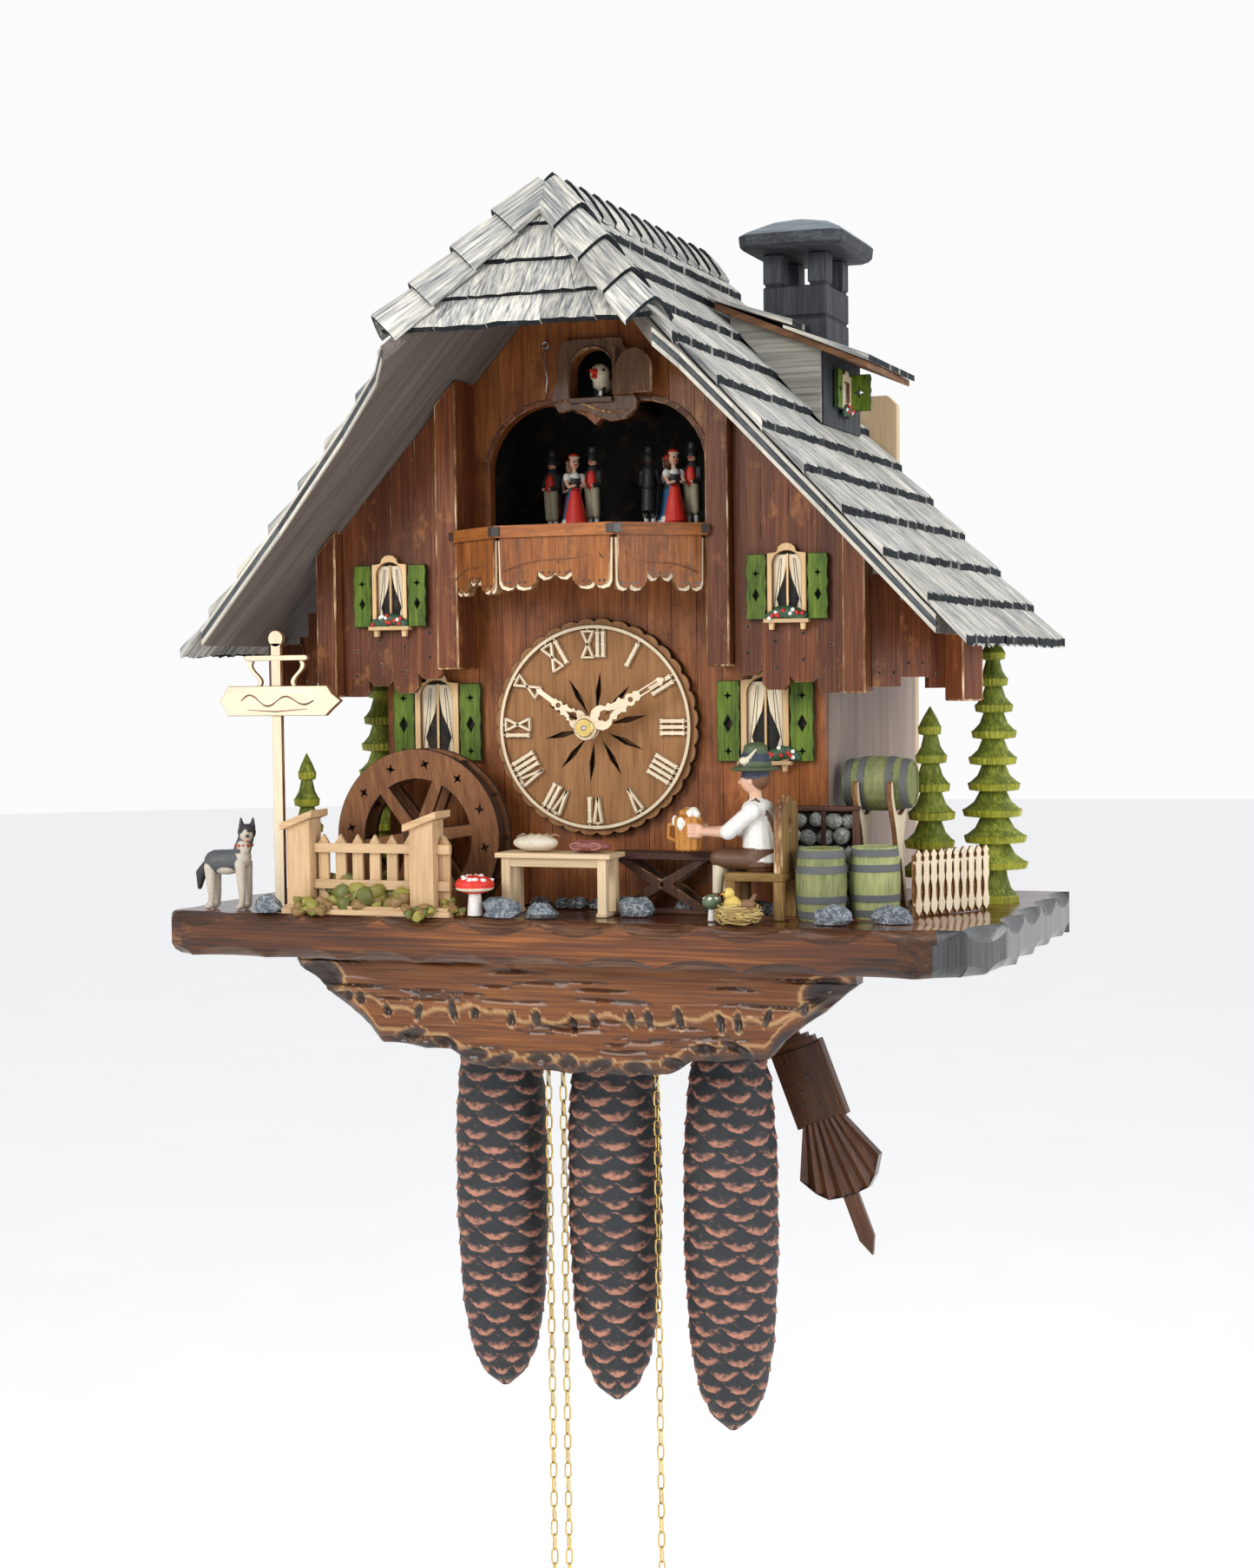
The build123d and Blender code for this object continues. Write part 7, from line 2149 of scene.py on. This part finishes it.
def make_water_wheel():
    place = Place((WHEEL_AT[0], 0, WHEEL_AT[1]), 0, 8)
    front, drum = Shape(), Shape()
    stars = []
    for i in range(WHEEL_STARS):
        a = 2 * math.pi * (i + 0.5) / WHEEL_STARS
        stars.append(star(41.5 * math.sin(a), 41.5 * math.cos(a), 2.5, 0.9, 4, a))
    front.add(plate([circle(0, 0, WHEEL_R - 0.1, 96)] + wheel_openings() + stars, 31, 34, 0.3), place)
    front.add(plate([circle(0, 0, WHEEL_R - 0.1, 96)] + wheel_openings(), 16, 19, 0.3), place)
    drum.add(plate([circle(0, 0, 47.5, 72), circle(0, 0, 44.5, 72)], 19, 31, 0.2), place)
    for i in range(12):
        paddle = Place((WHEEL_AT[0], 0, WHEEL_AT[1]), 0, 30 * i)
        drum.add(slab(-0.9, 0.9, 34.5, 49.4, 19, 31), paddle)
    drum.add(lathe([(0, 9), (18.5, 9)], (WHEEL_AT[0], -15.6, WHEEL_AT[1]), (0, -1, 0), 32), Plain)
    drum.add(lathe([(0, 4.0), (1.6, 4.0), (2.2, 3.0)], (WHEEL_AT[0], -34, WHEEL_AT[1]), (0, -1, 0), 20),
             Plain)
    drum.add(lathe([(0, 1.9), (46, 1.9)], (WHEEL_AT[0], 11.5, WHEEL_AT[1]), (0, -1, 0), 14), Plain)
    make("water_wheel_discs", front, "water_wheel", [WHEEL, WHEEL_DARK], ("water_wheel",))
    make("water_wheel_drum", drum, "water_wheel", [WHEEL_DARK, WHEEL_DARK], bevel=0.3)


WHEEL_DARK = wood("wheel_dark", [(0.012, 0.006, 0.004), (0.04, 0.018, 0.01), (0.09, 0.045, 0.025)],
                  (10, 0.7), rough=0.6)
make_water_wheel()


# ---- base board ---------------------------------------------------------------------------------
WEIGHT_X, FREE_X = (-75.8, -5.2, 65.0), (-37.5, -28.5, 28.3)
PLATE_T, GOUGE_LENGTH, GOUGE_DEPTH = 24.0, 46.0, 7.5
PLATE_CORNERS = ((-236, 150), (-236, -66), (-229, -80), (-214, -84), (196, -84), (224, -72), (236, -34),
                 (236, 150))


def walk(corners, spacing):
    """Evenly spaced points along a closed outline, with their outward normals and distances."""
    corners = [np.array(c, float) for c in corners]
    points, run = [], 0.0
    for i, a in enumerate(corners):
        b = corners[(i + 1) % len(corners)]
        length = float(np.linalg.norm(b - a))
        count = max(1, round(length / spacing))
        for k in range(count):
            points.append((a + (b - a) * k / count, run + length * k / count))
        run += length
    out = []
    for i, (p, s) in enumerate(points):
        ahead, back = points[(i + 1) % len(points)][0], points[i - 1][0]
        d = (ahead - back) / np.linalg.norm(ahead - back)
        out.append((p, np.array([d[1], -d[0]]), s))
    return out


def gouge(s, phase):
    t = ((s / GOUGE_LENGTH + phase) % 1.0) * 2 - 1
    return 0.7 + GOUGE_DEPTH * max(0.0, 1 - t * t) ** 0.8


END_GREY = wood("base_end_grey", [(0.016, 0.017, 0.018), (0.050, 0.053, 0.054), (0.12, 0.122, 0.118)],
                (40, 1.2), "z",
                rough=0.3, coat=0.5, bump=0.3)


def make_base():
    shape = Shape()
    outline = walk(PLATE_CORNERS, 2.6)
    rings = []
    for level in range(6):
        ring = []
        for p, n, s in outline:
            top, low = gouge(s, 0.1), gouge(s, 0.62) * 0.8
            if p[1] > 149:
                top = low = 0.5
            inset, z = ((top, 0.0), (top * 0.32, -top * 0.42), (0.0, -top * 0.95),
                        (0.0, -PLATE_T + low * 0.95),
                        (low * 0.32, -PLATE_T + low * 0.42), (low, -PLATE_T))[level]
            q = p - n * inset
            ring.append((q[0], q[1], z))
        rings.append(ring)
    verts, faces = loft(rings)
    mats = []
    size = len(outline)
    for face in faces:
        if len(face) > 4:
            mats.append(0)
            continue
        level = min(face) // size
        x, y = verts[face[0]][:2]
        end = abs(x) > 222 or (x > 190 and y < -60)
        mats.append(2 if x > 207 else 1 if level in (0, 1, 3, 4) or end else 0)
    shape.add((verts, faces, mats), Plain, along=(1, 0, 0), across=(0, 0, 1))
    tongue = prism([(-130.5, 149.8), (130.5, 149.8), (130.5, 206.5), (-130.5, 206.5)], -PLATE_T, 0)
    shape.add(tongue, Plain, 0, **LEVEL)
    board = make("base_board", shape, "case", [BASE, GOUGED, END_GREY], ("base_plate",),
                 angle=28)
    cutters = Shape()
    for x in WEIGHT_X:
        cutters.add(lathe([(0, 5), (40, 5)], (x, 30, -30), (0, 0, 1), 24), Plain)
    for x in FREE_X:
        cutters.add(lathe([(0, 4), (40, 4)], (x, FREE_Y, -30), (0, 0, 1), 20), Plain)
    box = [[(x, y, z) for x, y in ((-80, 59), (80, 59), (80, 73), (-80, 73))] for z in (-30, 10)]
    cutters.add(loft(box), Plain)
    box = [[(x, y, z) for x, y in ((-132, -38), (-62, -38), (-62, -12), (-132, -12))] for z in (-13, 10)]
    cutters.add(loft(box), Plain)
    cut(board, cutters)


def masked(name, base, dark, worn, coat=0.3):
    """Carved wood whose paint says how dark (red) and how worn (green) each point is."""
    material = wood(name, base, (48, 1.4), rough=0.34, bump=0.35, tone=0.0, coat=coat)
    tree = material.node_tree
    shader = tree.nodes["Principled BSDF"]
    source = shader.inputs["Base Color"].links[0].from_socket
    paint = node(tree, "ShaderNodeAttribute", attribute_name="paint")
    split = node(tree, "ShaderNodeSeparateColor", {"Color": paint.outputs["Color"]})
    colour = mix(tree, split.outputs["Green"], source, worn)
    colour = mix(tree, split.outputs["Red"], colour, dark)
    tree.links.new(colour, shader.inputs["Base Color"])
    return material


GOUGED = wood("gouged_edge", [(0.018, 0.010, 0.008), (0.075, 0.030, 0.014), (0.24, 0.11, 0.05)], (60, 1.4),
              "x", rough=0.3,
              bump=0.15, coat=0.2, tone=0.0, contrast=(0.35, 0.7))
CARVED = masked("carved_skirt_wood", [(0.05, 0.014, 0.005), (0.17, 0.055, 0.014), (0.32, 0.12, 0.032)],
                (0.018, 0.016, 0.017), (0.62, 0.38, 0.17))
SKIRT_EDGE = ((0, -86), (46, -86), (60, -83), (70, -77), (112, -74), (120, -65), (162, -33))
LEDGE = ((0, -56), (60, -53), (110, -52), (150, -41), (162, -36))


def along_line(points, u):
    for (u0, v0), (u1, v1) in zip(points, points[1:]):
        if u <= u1:
            return v0 + (v1 - v0) * (u - u0) / (u1 - u0)
    return points[-1][1]


def make_skirt():
    luck = random.Random(11)
    gouges = []
    for i in range(26):
        u = luck.uniform(-150, 150)
        gouges.append((u, luck.uniform(-48, -27), luck.uniform(-0.03, 0.03), luck.uniform(14, 30),
                       luck.uniform(0.6, 1.0), 1.2))
    for i in range(22):
        u = luck.uniform(-105, 105)
        gouges.append((u, luck.uniform(-76, -56), luck.uniform(-0.04, 0.04), luck.uniform(10, 26),
                       luck.uniform(0.5, 0.9), 1.1))
    for i in range(17):
        u = -136 + 17 * i + luck.uniform(-5, 5)
        gouges.append((u, along_line(LEDGE, abs(u)) + luck.uniform(-3, 1), 1.45 + luck.uniform(-0.3, 0.3),
                       luck.uniform(4, 6.5),
                       luck.uniform(2.2, 3.2), 2.4))
    for i in range(11):
        u = -95 + 19 * i + luck.uniform(-4, 4)
        gouges.append((u, along_line(SKIRT_EDGE, abs(u)) + luck.uniform(5, 8), luck.uniform(-0.5, 0.5),
                       luck.uniform(6, 10),
                       luck.uniform(3, 4.4), 3.4))
    gouges += [(side * 146, -36, side * 0.3, 13, 9, 6.5) for side in (-1, 1)]
    columns, rows = 290, 46
    points, colours = [], []
    for j in range(rows + 1):
        for i in range(columns + 1):
            u = -162 + 324 * i / columns
            low = along_line(SKIRT_EDGE, abs(u)) + 1.3 * abs(math.sin(u * 0.11))
            v = -24.2 + (low + 24.2) * j / rows
            rough = math.sin(u * 0.11 + 3 * math.sin(v * 0.5)) * 0.3 + math.sin(v * 1.3 + u * 0.02) * 0.25
            depth, dark, worn = 0.4 + rough * 0.5, 0.0, 0.0
            below = along_line(LEDGE, abs(u)) + 2.2 * math.sin(u * 0.09) + 1.2 * math.sin(u * 0.31) - v
            if below > 0:
                depth += min(below, 2.6)
                worn = max(worn, 0.9 - below / 2.6)
            elif below > -1.3:
                worn = 0.6
            edge = v - low
            if edge < 7:
                fall = 1 - edge / 7
                depth += 4.2 * fall ** 1.4
                dark = max(dark, min(1.0, fall * 1.6) * (0.55 + 0.45 * math.sin(u * 0.17) ** 2))
            elif edge < 9:
                worn = max(worn, 0.55)
            for gu, gv, lean, reach, wide, deep in gouges:
                du, dv = u - gu, v - gv
                if abs(du) > reach + wide or abs(dv) > reach + wide:
                    continue
                a = (du * math.cos(lean) + dv * math.sin(lean)) / reach
                b = (-du * math.sin(lean) + dv * math.cos(lean)) / wide
                q = a * a + b * b
                if q < 1:
                    depth += deep * (1 - q)
                    dark = max(dark, min(1.0, 2.2 * (1 - q)) * (0.9 if deep > 2 else 0.75))
                elif q < 1.35 and deep > 2:
                    worn = max(worn, 0.75)
            points.append((u, v, 58 - depth))
            colours.append((dark, min(worn, 1.0) * 0.8, 0.0))
    size = columns + 1
    count = len(points)
    back = [(u, v, 42.0) for u, v, _ in points]
    faces = []
    for j in range(rows):
        for i in range(columns):
            a = j * size + i
            faces.append((a, a + size, a + size + 1, a + 1))
            faces.append((count + a, count + a + 1, count + a + size + 1, count + a + size))
    rim = list(range(size)) + [size * (j + 1) - 1 for j in range(1, rows + 1)]
    rim += [rows * size + i for i in range(columns - 1, -1, -1)]
    rim += [j * size for j in range(rows - 1, 0, -1)]
    for k, a in enumerate(rim):
        b = rim[(k + 1) % len(rim)]
        faces.append((a, b, count + b, count + a))
    shape = Shape()
    shape.add((points + back, faces), FACADE, **LEVEL)
    shape.paint[-1] = np.array([[*c, 1.0] for c in colours] + [[0.6, 0.0, 0.0, 1.0]] * count)
    make("skirt_carving", shape, "case", [CARVED], ("carved_skirt",), angle=50)


make_base()
make_skirt()


# ---- weights ------------------------------------------------------------------------------------
CONE_TOP_Z, CONE_LENGTH, CONE_R = (-58.0, -60.0, -71.0), 229.0, 27.8
CONE_PROFILE = ((0, 0.22), (0.012, 0.40), (0.05, 0.70), (0.12, 0.84), (0.3, 0.955), (0.55, 0.965),
                (0.78, 0.86), (0.9, 0.68),
                (0.965, 0.42), (1.0, 0.08))
SCALE_ROW, SCALES_ROUND = 8.3, 7
CONE_DARK, COPPER, NECK = (0.020, 0.023, 0.027), (0.47, 0.21, 0.14), (0.11, 0.06, 0.04)


def make_weights():
    columns, rows = 112, 260
    for index, (x, top) in enumerate(zip(WEIGHT_X, CONE_TOP_Z)):
        name = ("weight_left", "weight_middle", "weight_right")[index]
        luck = np.random.default_rng(index)
        speckle = luck.random((rows + 1, columns))
        speckle = (speckle + np.roll(speckle, 1, 1) + np.roll(speckle, 1, 0)) / 3
        points, colours = [], []
        turn = 2.1 * index
        for j in range(rows + 1):
            t = j / rows
            base_r = CONE_R * along_line(CONE_PROFILE, t)
            down = t * CONE_LENGTH
            for i in range(columns):
                a = turned(i, columns)
                best = 99.0
                best_u = 0.0
                for step in range(-1, 3):
                    row = math.floor(down / SCALE_ROW) + step
                    share = (a + turn) / (2 * math.pi) * SCALES_ROUND + 0.5 * (row % 2)
                    u = (share - math.floor(share)) * 2 - 1
                    lip = row * SCALE_ROW + 4.2 - 6.6 * abs(u) ** 2.1
                    above = lip - down
                    if 0 <= above < best:
                        best, best_u = above, u
                rise = math.exp(-best / 5.5) * (1 - 0.45 * best_u ** 2)
                fade = min(1.0, t * 14, (1 - t) * 16)
                r = base_r + 1.9 * rise * fade - 0.9 * fade + 0.12 * (speckle[j, i] - 0.5)
                r = min(r, CONE_R - 0.05)
                mask = max(0.0, 1 - best / (5.0 * (1.05 - best_u ** 2) + 0.2)) * min(1.0, 1.4 - abs(best_u))
                mask = min(1.0, max(0.0, mask * 2.1 - 1.5 * (1 - speckle[j, i] * 1.25)))
                ground = np.array(NECK) * max(0, 1 - t * 18) + np.array(CONE_DARK) * min(1, t * 18)
                colour = ground * (1 - mask) + np.array(COPPER) * mask * (0.8 + 0.4 * speckle[j, i])
                points.append((x + r * math.cos(a), 30 + r * math.sin(a), top - down))
                colours.append((*colour, 1.0))
        rings = [points[k * columns:(k + 1) * columns] for k in range(rows + 1)]
        shape = Shape()
        shape.add(loft(rings), Plain, **UPRIGHT)
        shape.paint[-1] = np.array(colours)
        make(name + "_cone", shape, name, [CONE_FINISH], (name,), angle=70)
        hook = Shape()
        loop = [(x + 2.6 * math.sin(a), 30, top + 1.6 - 2.6 * math.cos(a))
                for a in (turned(i, 16) for i in range(17))]
        hook.add(tube(loop, 0.8, 8, caps=False), Plain)
        make(name + "_hook", hook, name, [BRASS])
        line = np.array([(x, 30.0, z) for z in np.arange(top + 3.5, 181.0, LINK_PITCH)])
        make(name + "_chain", chain_shape(line), name, [BRASS], angle=60)


def cone_finish():
    material, tree, shader = blank("cone_finish")
    base = node(tree, "ShaderNodeAttribute", attribute_name="paint").outputs["Color"]
    fine = noise(tree, grain_vector(tree, "x", (0.9, 0.9)), detail=5.0, roughness=0.75)
    level = maths(tree, "ADD", maths(tree, "MULTIPLY", fine, 0.9), 0.55)
    base = node(tree, "ShaderNodeHueSaturation", {"Color": base, "Value": level}).outputs["Color"]
    tree.links.new(base, shader.inputs["Base Color"])
    tree.links.new(ramp(tree, fine, [(0.3, 0.5), (0.7, 0.75)]), shader.inputs["Roughness"])
    relief = node(tree, "ShaderNodeBump", {"Height": fine, "Strength": 0.5, "Distance": 0.0005})
    tree.links.new(relief.outputs["Normal"], shader.inputs["Normal"])
    return material


CONE_FINISH = cone_finish()
make_weights()


# ---- pendulum -----------------------------------------------------------------------------------
PIVOT_Z, PENDULUM_Y, PENDULUM_SWING = 160.0, 66.0, 20.9


def make_pendulum():
    place = Place((0, PENDULUM_Y, PIVOT_Z), 0, PENDULUM_SWING)
    shape = Shape()
    shape.add(prism([(-4.5, -378), (0, -388), (4.5, -378), (4.5, 4), (-4.5, 4)], -2, 2), place, 0)
    shape.add(slab(-15.6, 15.6, -307.5, -262, -4.6, 3.2), place, 0)
    shape.add(slab(-14.2, 14.2, -305, -263.5, 3.0, 4.9), place, 0)
    for i, (half, low, high) in enumerate(((12.5, -262, -258.8), (9.0, -259, -256.2))):
        shape.add(slab(-half, half, low, high, -3.4, 3.2), place, 0, **LEVEL)
    for k in range(3):
        shape.add(slab(13.4 + 0.75 * k, 13.8 + 0.75 * k, -305.5, -263, 3.0, 5.0), place, 1)
    for u, v, reach in ((-9, -283, 8), (-4, -288, 9), (2, -280, 7), (-7, -295, 9), (3, -298, 6)):
        shape.add(tube([(u - reach / 2, v, 4.85), (u, v + 0.6, 5.05), (u + reach / 2, v + 0.9, 4.85)],
                       [0.15, 0.5, 0.15], 5),
                  place, 2)
    edge = ((-25, -335), (-18.5, -345.2), (-12.6, -350.6), (-4.4, -351.7), (4.4, -351.7), (12.6, -350.6),
            (18.5, -345.2),
            (25, -335))
    flutes = len(edge) - 1
    for i in range(flutes):
        a, b = edge[i], edge[i + 1]
        t0, t1 = i / flutes, (i + 1) / flutes
        c, d = (-12 + 24 * t0, -306.5), (-12 + 24 * t1, -306.5)
        middle_low, middle_top = ((a[0] + b[0]) / 2, (a[1] + b[1]) / 2 + 1.4), ((c[0] + d[0]) / 2, -306.5)
        front, deep = 3.9, 1.1
        rings = [[(*c, front), (*middle_top, front - 0.5), (*d, front), (*d, -3.8), (*c, -3.8)],
                 [(*a, front), (*middle_low, deep), (*b, front), (*b, -3.8), (*a, -3.8)]]
        shape.add(loft(rings), place, 0)
        shape.add(loft([[(*a, front), (*middle_low, deep), (*b, front)],
                        [(a[0] * 1.01, a[1] - 0.3, -3.6), (middle_low[0] * 1.01, middle_low[1] - 0.3, -3.6),
                         (b[0] * 1.01, b[1] - 0.3, -3.6)]]), place, 2)
    make("pendulum_bob", shape, "pendulum", [PENDULUM, WORN_BROWN, EBONY], ("pendulum",),
         bevel=0.5)
    steel = Shape()
    steel.add(lathe([(0, 1.5), (52.5, 1.5)], (0, 68, PIVOT_Z), (0, -1, 0), 12), Plain)
    steel.add(prism([(-5.5, -3.5), (-2, -1), (2, -1), (5.5, -3.5), (3.5, 2), (-3.5, 2)], 13.6, 15.0), place)
    make("pendulum_arbor", steel, "pendulum", [STEEL], bevel=0.15)


WORN_BROWN = wood("worn_brown", [(0.05, 0.022, 0.012), (0.12, 0.055, 0.028), (0.24, 0.13, 0.07)], (12, 0.8),
                  rough=0.5)
make_pendulum()


# ---- roof boards --------------------------------------------------------------------------------
def make_roof_boards():
    shape = Shape()
    plan = [(0.3, -61.0), (75, -113.4)]
    plan += [(x, y + 0.6) for x, y in FRONT_EDGE[2:-1]]
    plan += [(BOARD_X, front_y(BOARD_X) + 0.6), (BOARD_X, ROOF_BACK_Y), (0.3, ROOF_BACK_Y)]
    for side in (-1, 1):
        low = [(side * x, y, roof_z(x, 16.9)) for x, y in plan]
        top = [(side * x, y, roof_z(x, 7.3)) for x, y in plan]
        shape.add(loft([low, top]), Plain, 0, along=(side * 0.68, 0, -0.73), across=(0, 1, 0))
    lift = 3.6
    hip = [(0, -63.5), (71.0, -111.4), (-71.0, -111.4)]
    top = [(x, y, RIDGE_Z + HIP_SLOPE * (y + 61) - lift) for x, y in hip]
    low = [(x * 0.985, y + 3.0, z - 1.5) for x, y, z in top]
    shape.add(loft([low, top]), Plain, 0, along=(1, 0, 0), across=(0, 0, 1))
    make("roof_boards_cut", shape, "case", [SOFFIT_WOOD, BARGE_DARK], ("roof_boards",),
         bevel=0.4)


SOFFIT_WOOD = wood("soffit_wood", [(0.095, 0.075, 0.062), (0.165, 0.14, 0.12), (0.26, 0.225, 0.20)],
                   (60, 1.0), rough=0.65,
                   bump=0.3, tone=0.0)
make_roof_boards()


# ---- works and case -----------------------------------------------------------------------------
KEPT = {
    SIDE: ("case_side_walls",),
    PLYWOOD: ("back_board", "back_cover"),
    PLATE_BRASS: ("movement_plates", "great_wheel", "centre_wheel", "third_wheel", "escape_wheel",
                  "minute_wheel",
                  "music_chain_wheel", "time_chain_wheel", "cuckoo_chain_wheel"),
    STEEL: ("gong", "strike_hammer"),
    PALE_CASE: ("bellows_boxes", "bellows_lid_left", "bellows_lid_right", "music_box"),
}
for finish, names in KEPT.items():
    for kept in names:
        data = NODES[kept].data
        data.materials.clear()
        data.materials.append(finish)


def make_hand_wheels():
    """The two small wheels behind the front wall that turn with the hands."""
    wheels = (("hour_hand", 40, 11.3, 10.0, 0.8), ("minute_hand", 12, 3.4, 13.0, 0.9))
    for name, teeth, radius, y, half in wheels:
        shape = Shape()
        shape.add(toothed(teeth, radius, half), Place((0, y, DIAL_Z)))
        make(name + "_wheel", shape, name, [BRASS], angle=20)


make_hand_wheels()


# ---- studio -------------------------------------------------------------------------------------
FLOOR_Z, FLOOR_RADIUS = -1.0, 14.0


def make_floor():
    """Plain pale round floor, open to the bright studio on every side."""
    rim = [(FLOOR_RADIUS * math.cos(a), FLOOR_RADIUS * math.sin(a), FLOOR_Z)
           for a in (turned(i, 64) for i in range(64))]
    mesh = bpy.data.meshes.new("floor")
    mesh.from_pydata(rim, [], [tuple(range(len(rim)))])
    material, tree, shader = blank("floor")
    fine = noise(tree, node(tree, "ShaderNodeTexCoord").outputs["Object"], scale=6.0)
    tree.links.new(ramp(tree, fine, [(0.3, (0.49, 0.49, 0.49)), (0.7, (0.51, 0.51, 0.51))]),
                   shader.inputs["Base Color"])
    shader.inputs["Roughness"].default_value = 0.9
    shader.inputs["Emission Color"].default_value = (1, 1, 1, 1)
    shader.inputs["Emission Strength"].default_value = 0.55
    mesh.materials.append(material)
    floor = bpy.data.objects.new("floor", mesh)
    link(floor)


def lamp(name, position, target, size, watts, colour=(1, 1, 1)):
    data = bpy.data.lights.new(name, "AREA")
    data.shape = "RECTANGLE"
    data.size, data.size_y = size
    data.energy = watts
    data.color = colour
    light = bpy.data.objects.new(name, data)
    light.location = position
    light.rotation_euler = (Vector(target) - Vector(position)).to_track_quat("-Z", "Y").to_euler()
    link(light)


def make_world():
    """Soft light from all round, seen as the plain white of the studio."""
    world = bpy.data.worlds.new("studio")
    world.use_nodes = True
    tree = world.node_tree
    light = tree.nodes["Background"]
    light.inputs["Color"].default_value = (0.95, 0.96, 1.0, 1)
    light.inputs["Strength"].default_value = 0.62
    seen = tree.nodes.new("ShaderNodeBackground")
    seen.inputs["Color"].default_value = (0.97, 0.97, 0.98, 1)
    mix = tree.nodes.new("ShaderNodeMixShader")
    tree.links.new(tree.nodes.new("ShaderNodeLightPath").outputs["Is Camera Ray"], mix.inputs[0])
    tree.links.new(light.outputs[0], mix.inputs[1])
    tree.links.new(seen.outputs[0], mix.inputs[2])
    tree.links.new(mix.outputs[0], tree.nodes["World Output"].inputs["Surface"])
    bpy.context.scene.world = world


def make_lights():
    centre = (0, -0.2, -0.2)
    lamp("key", (-0.9, -2.2, 0.75), centre, (1.1, 1.1), 33.0, (1.0, 0.985, 0.96))
    lamp("fill", (2.0, -1.2, 0.3), centre, (1.4, 1.6), 20.0, (0.96, 0.98, 1.0))
    lamp("top", (0.2, -0.3, 2.1), centre, (1.6, 1.2), 12.0)
    lamp("rim", (1.6, 0.7, 0.8), centre, (0.8, 1.2), 14.0)
    make_world()
    bpy.context.scene.view_settings.view_transform = "Standard"


make_floor()
make_lights()
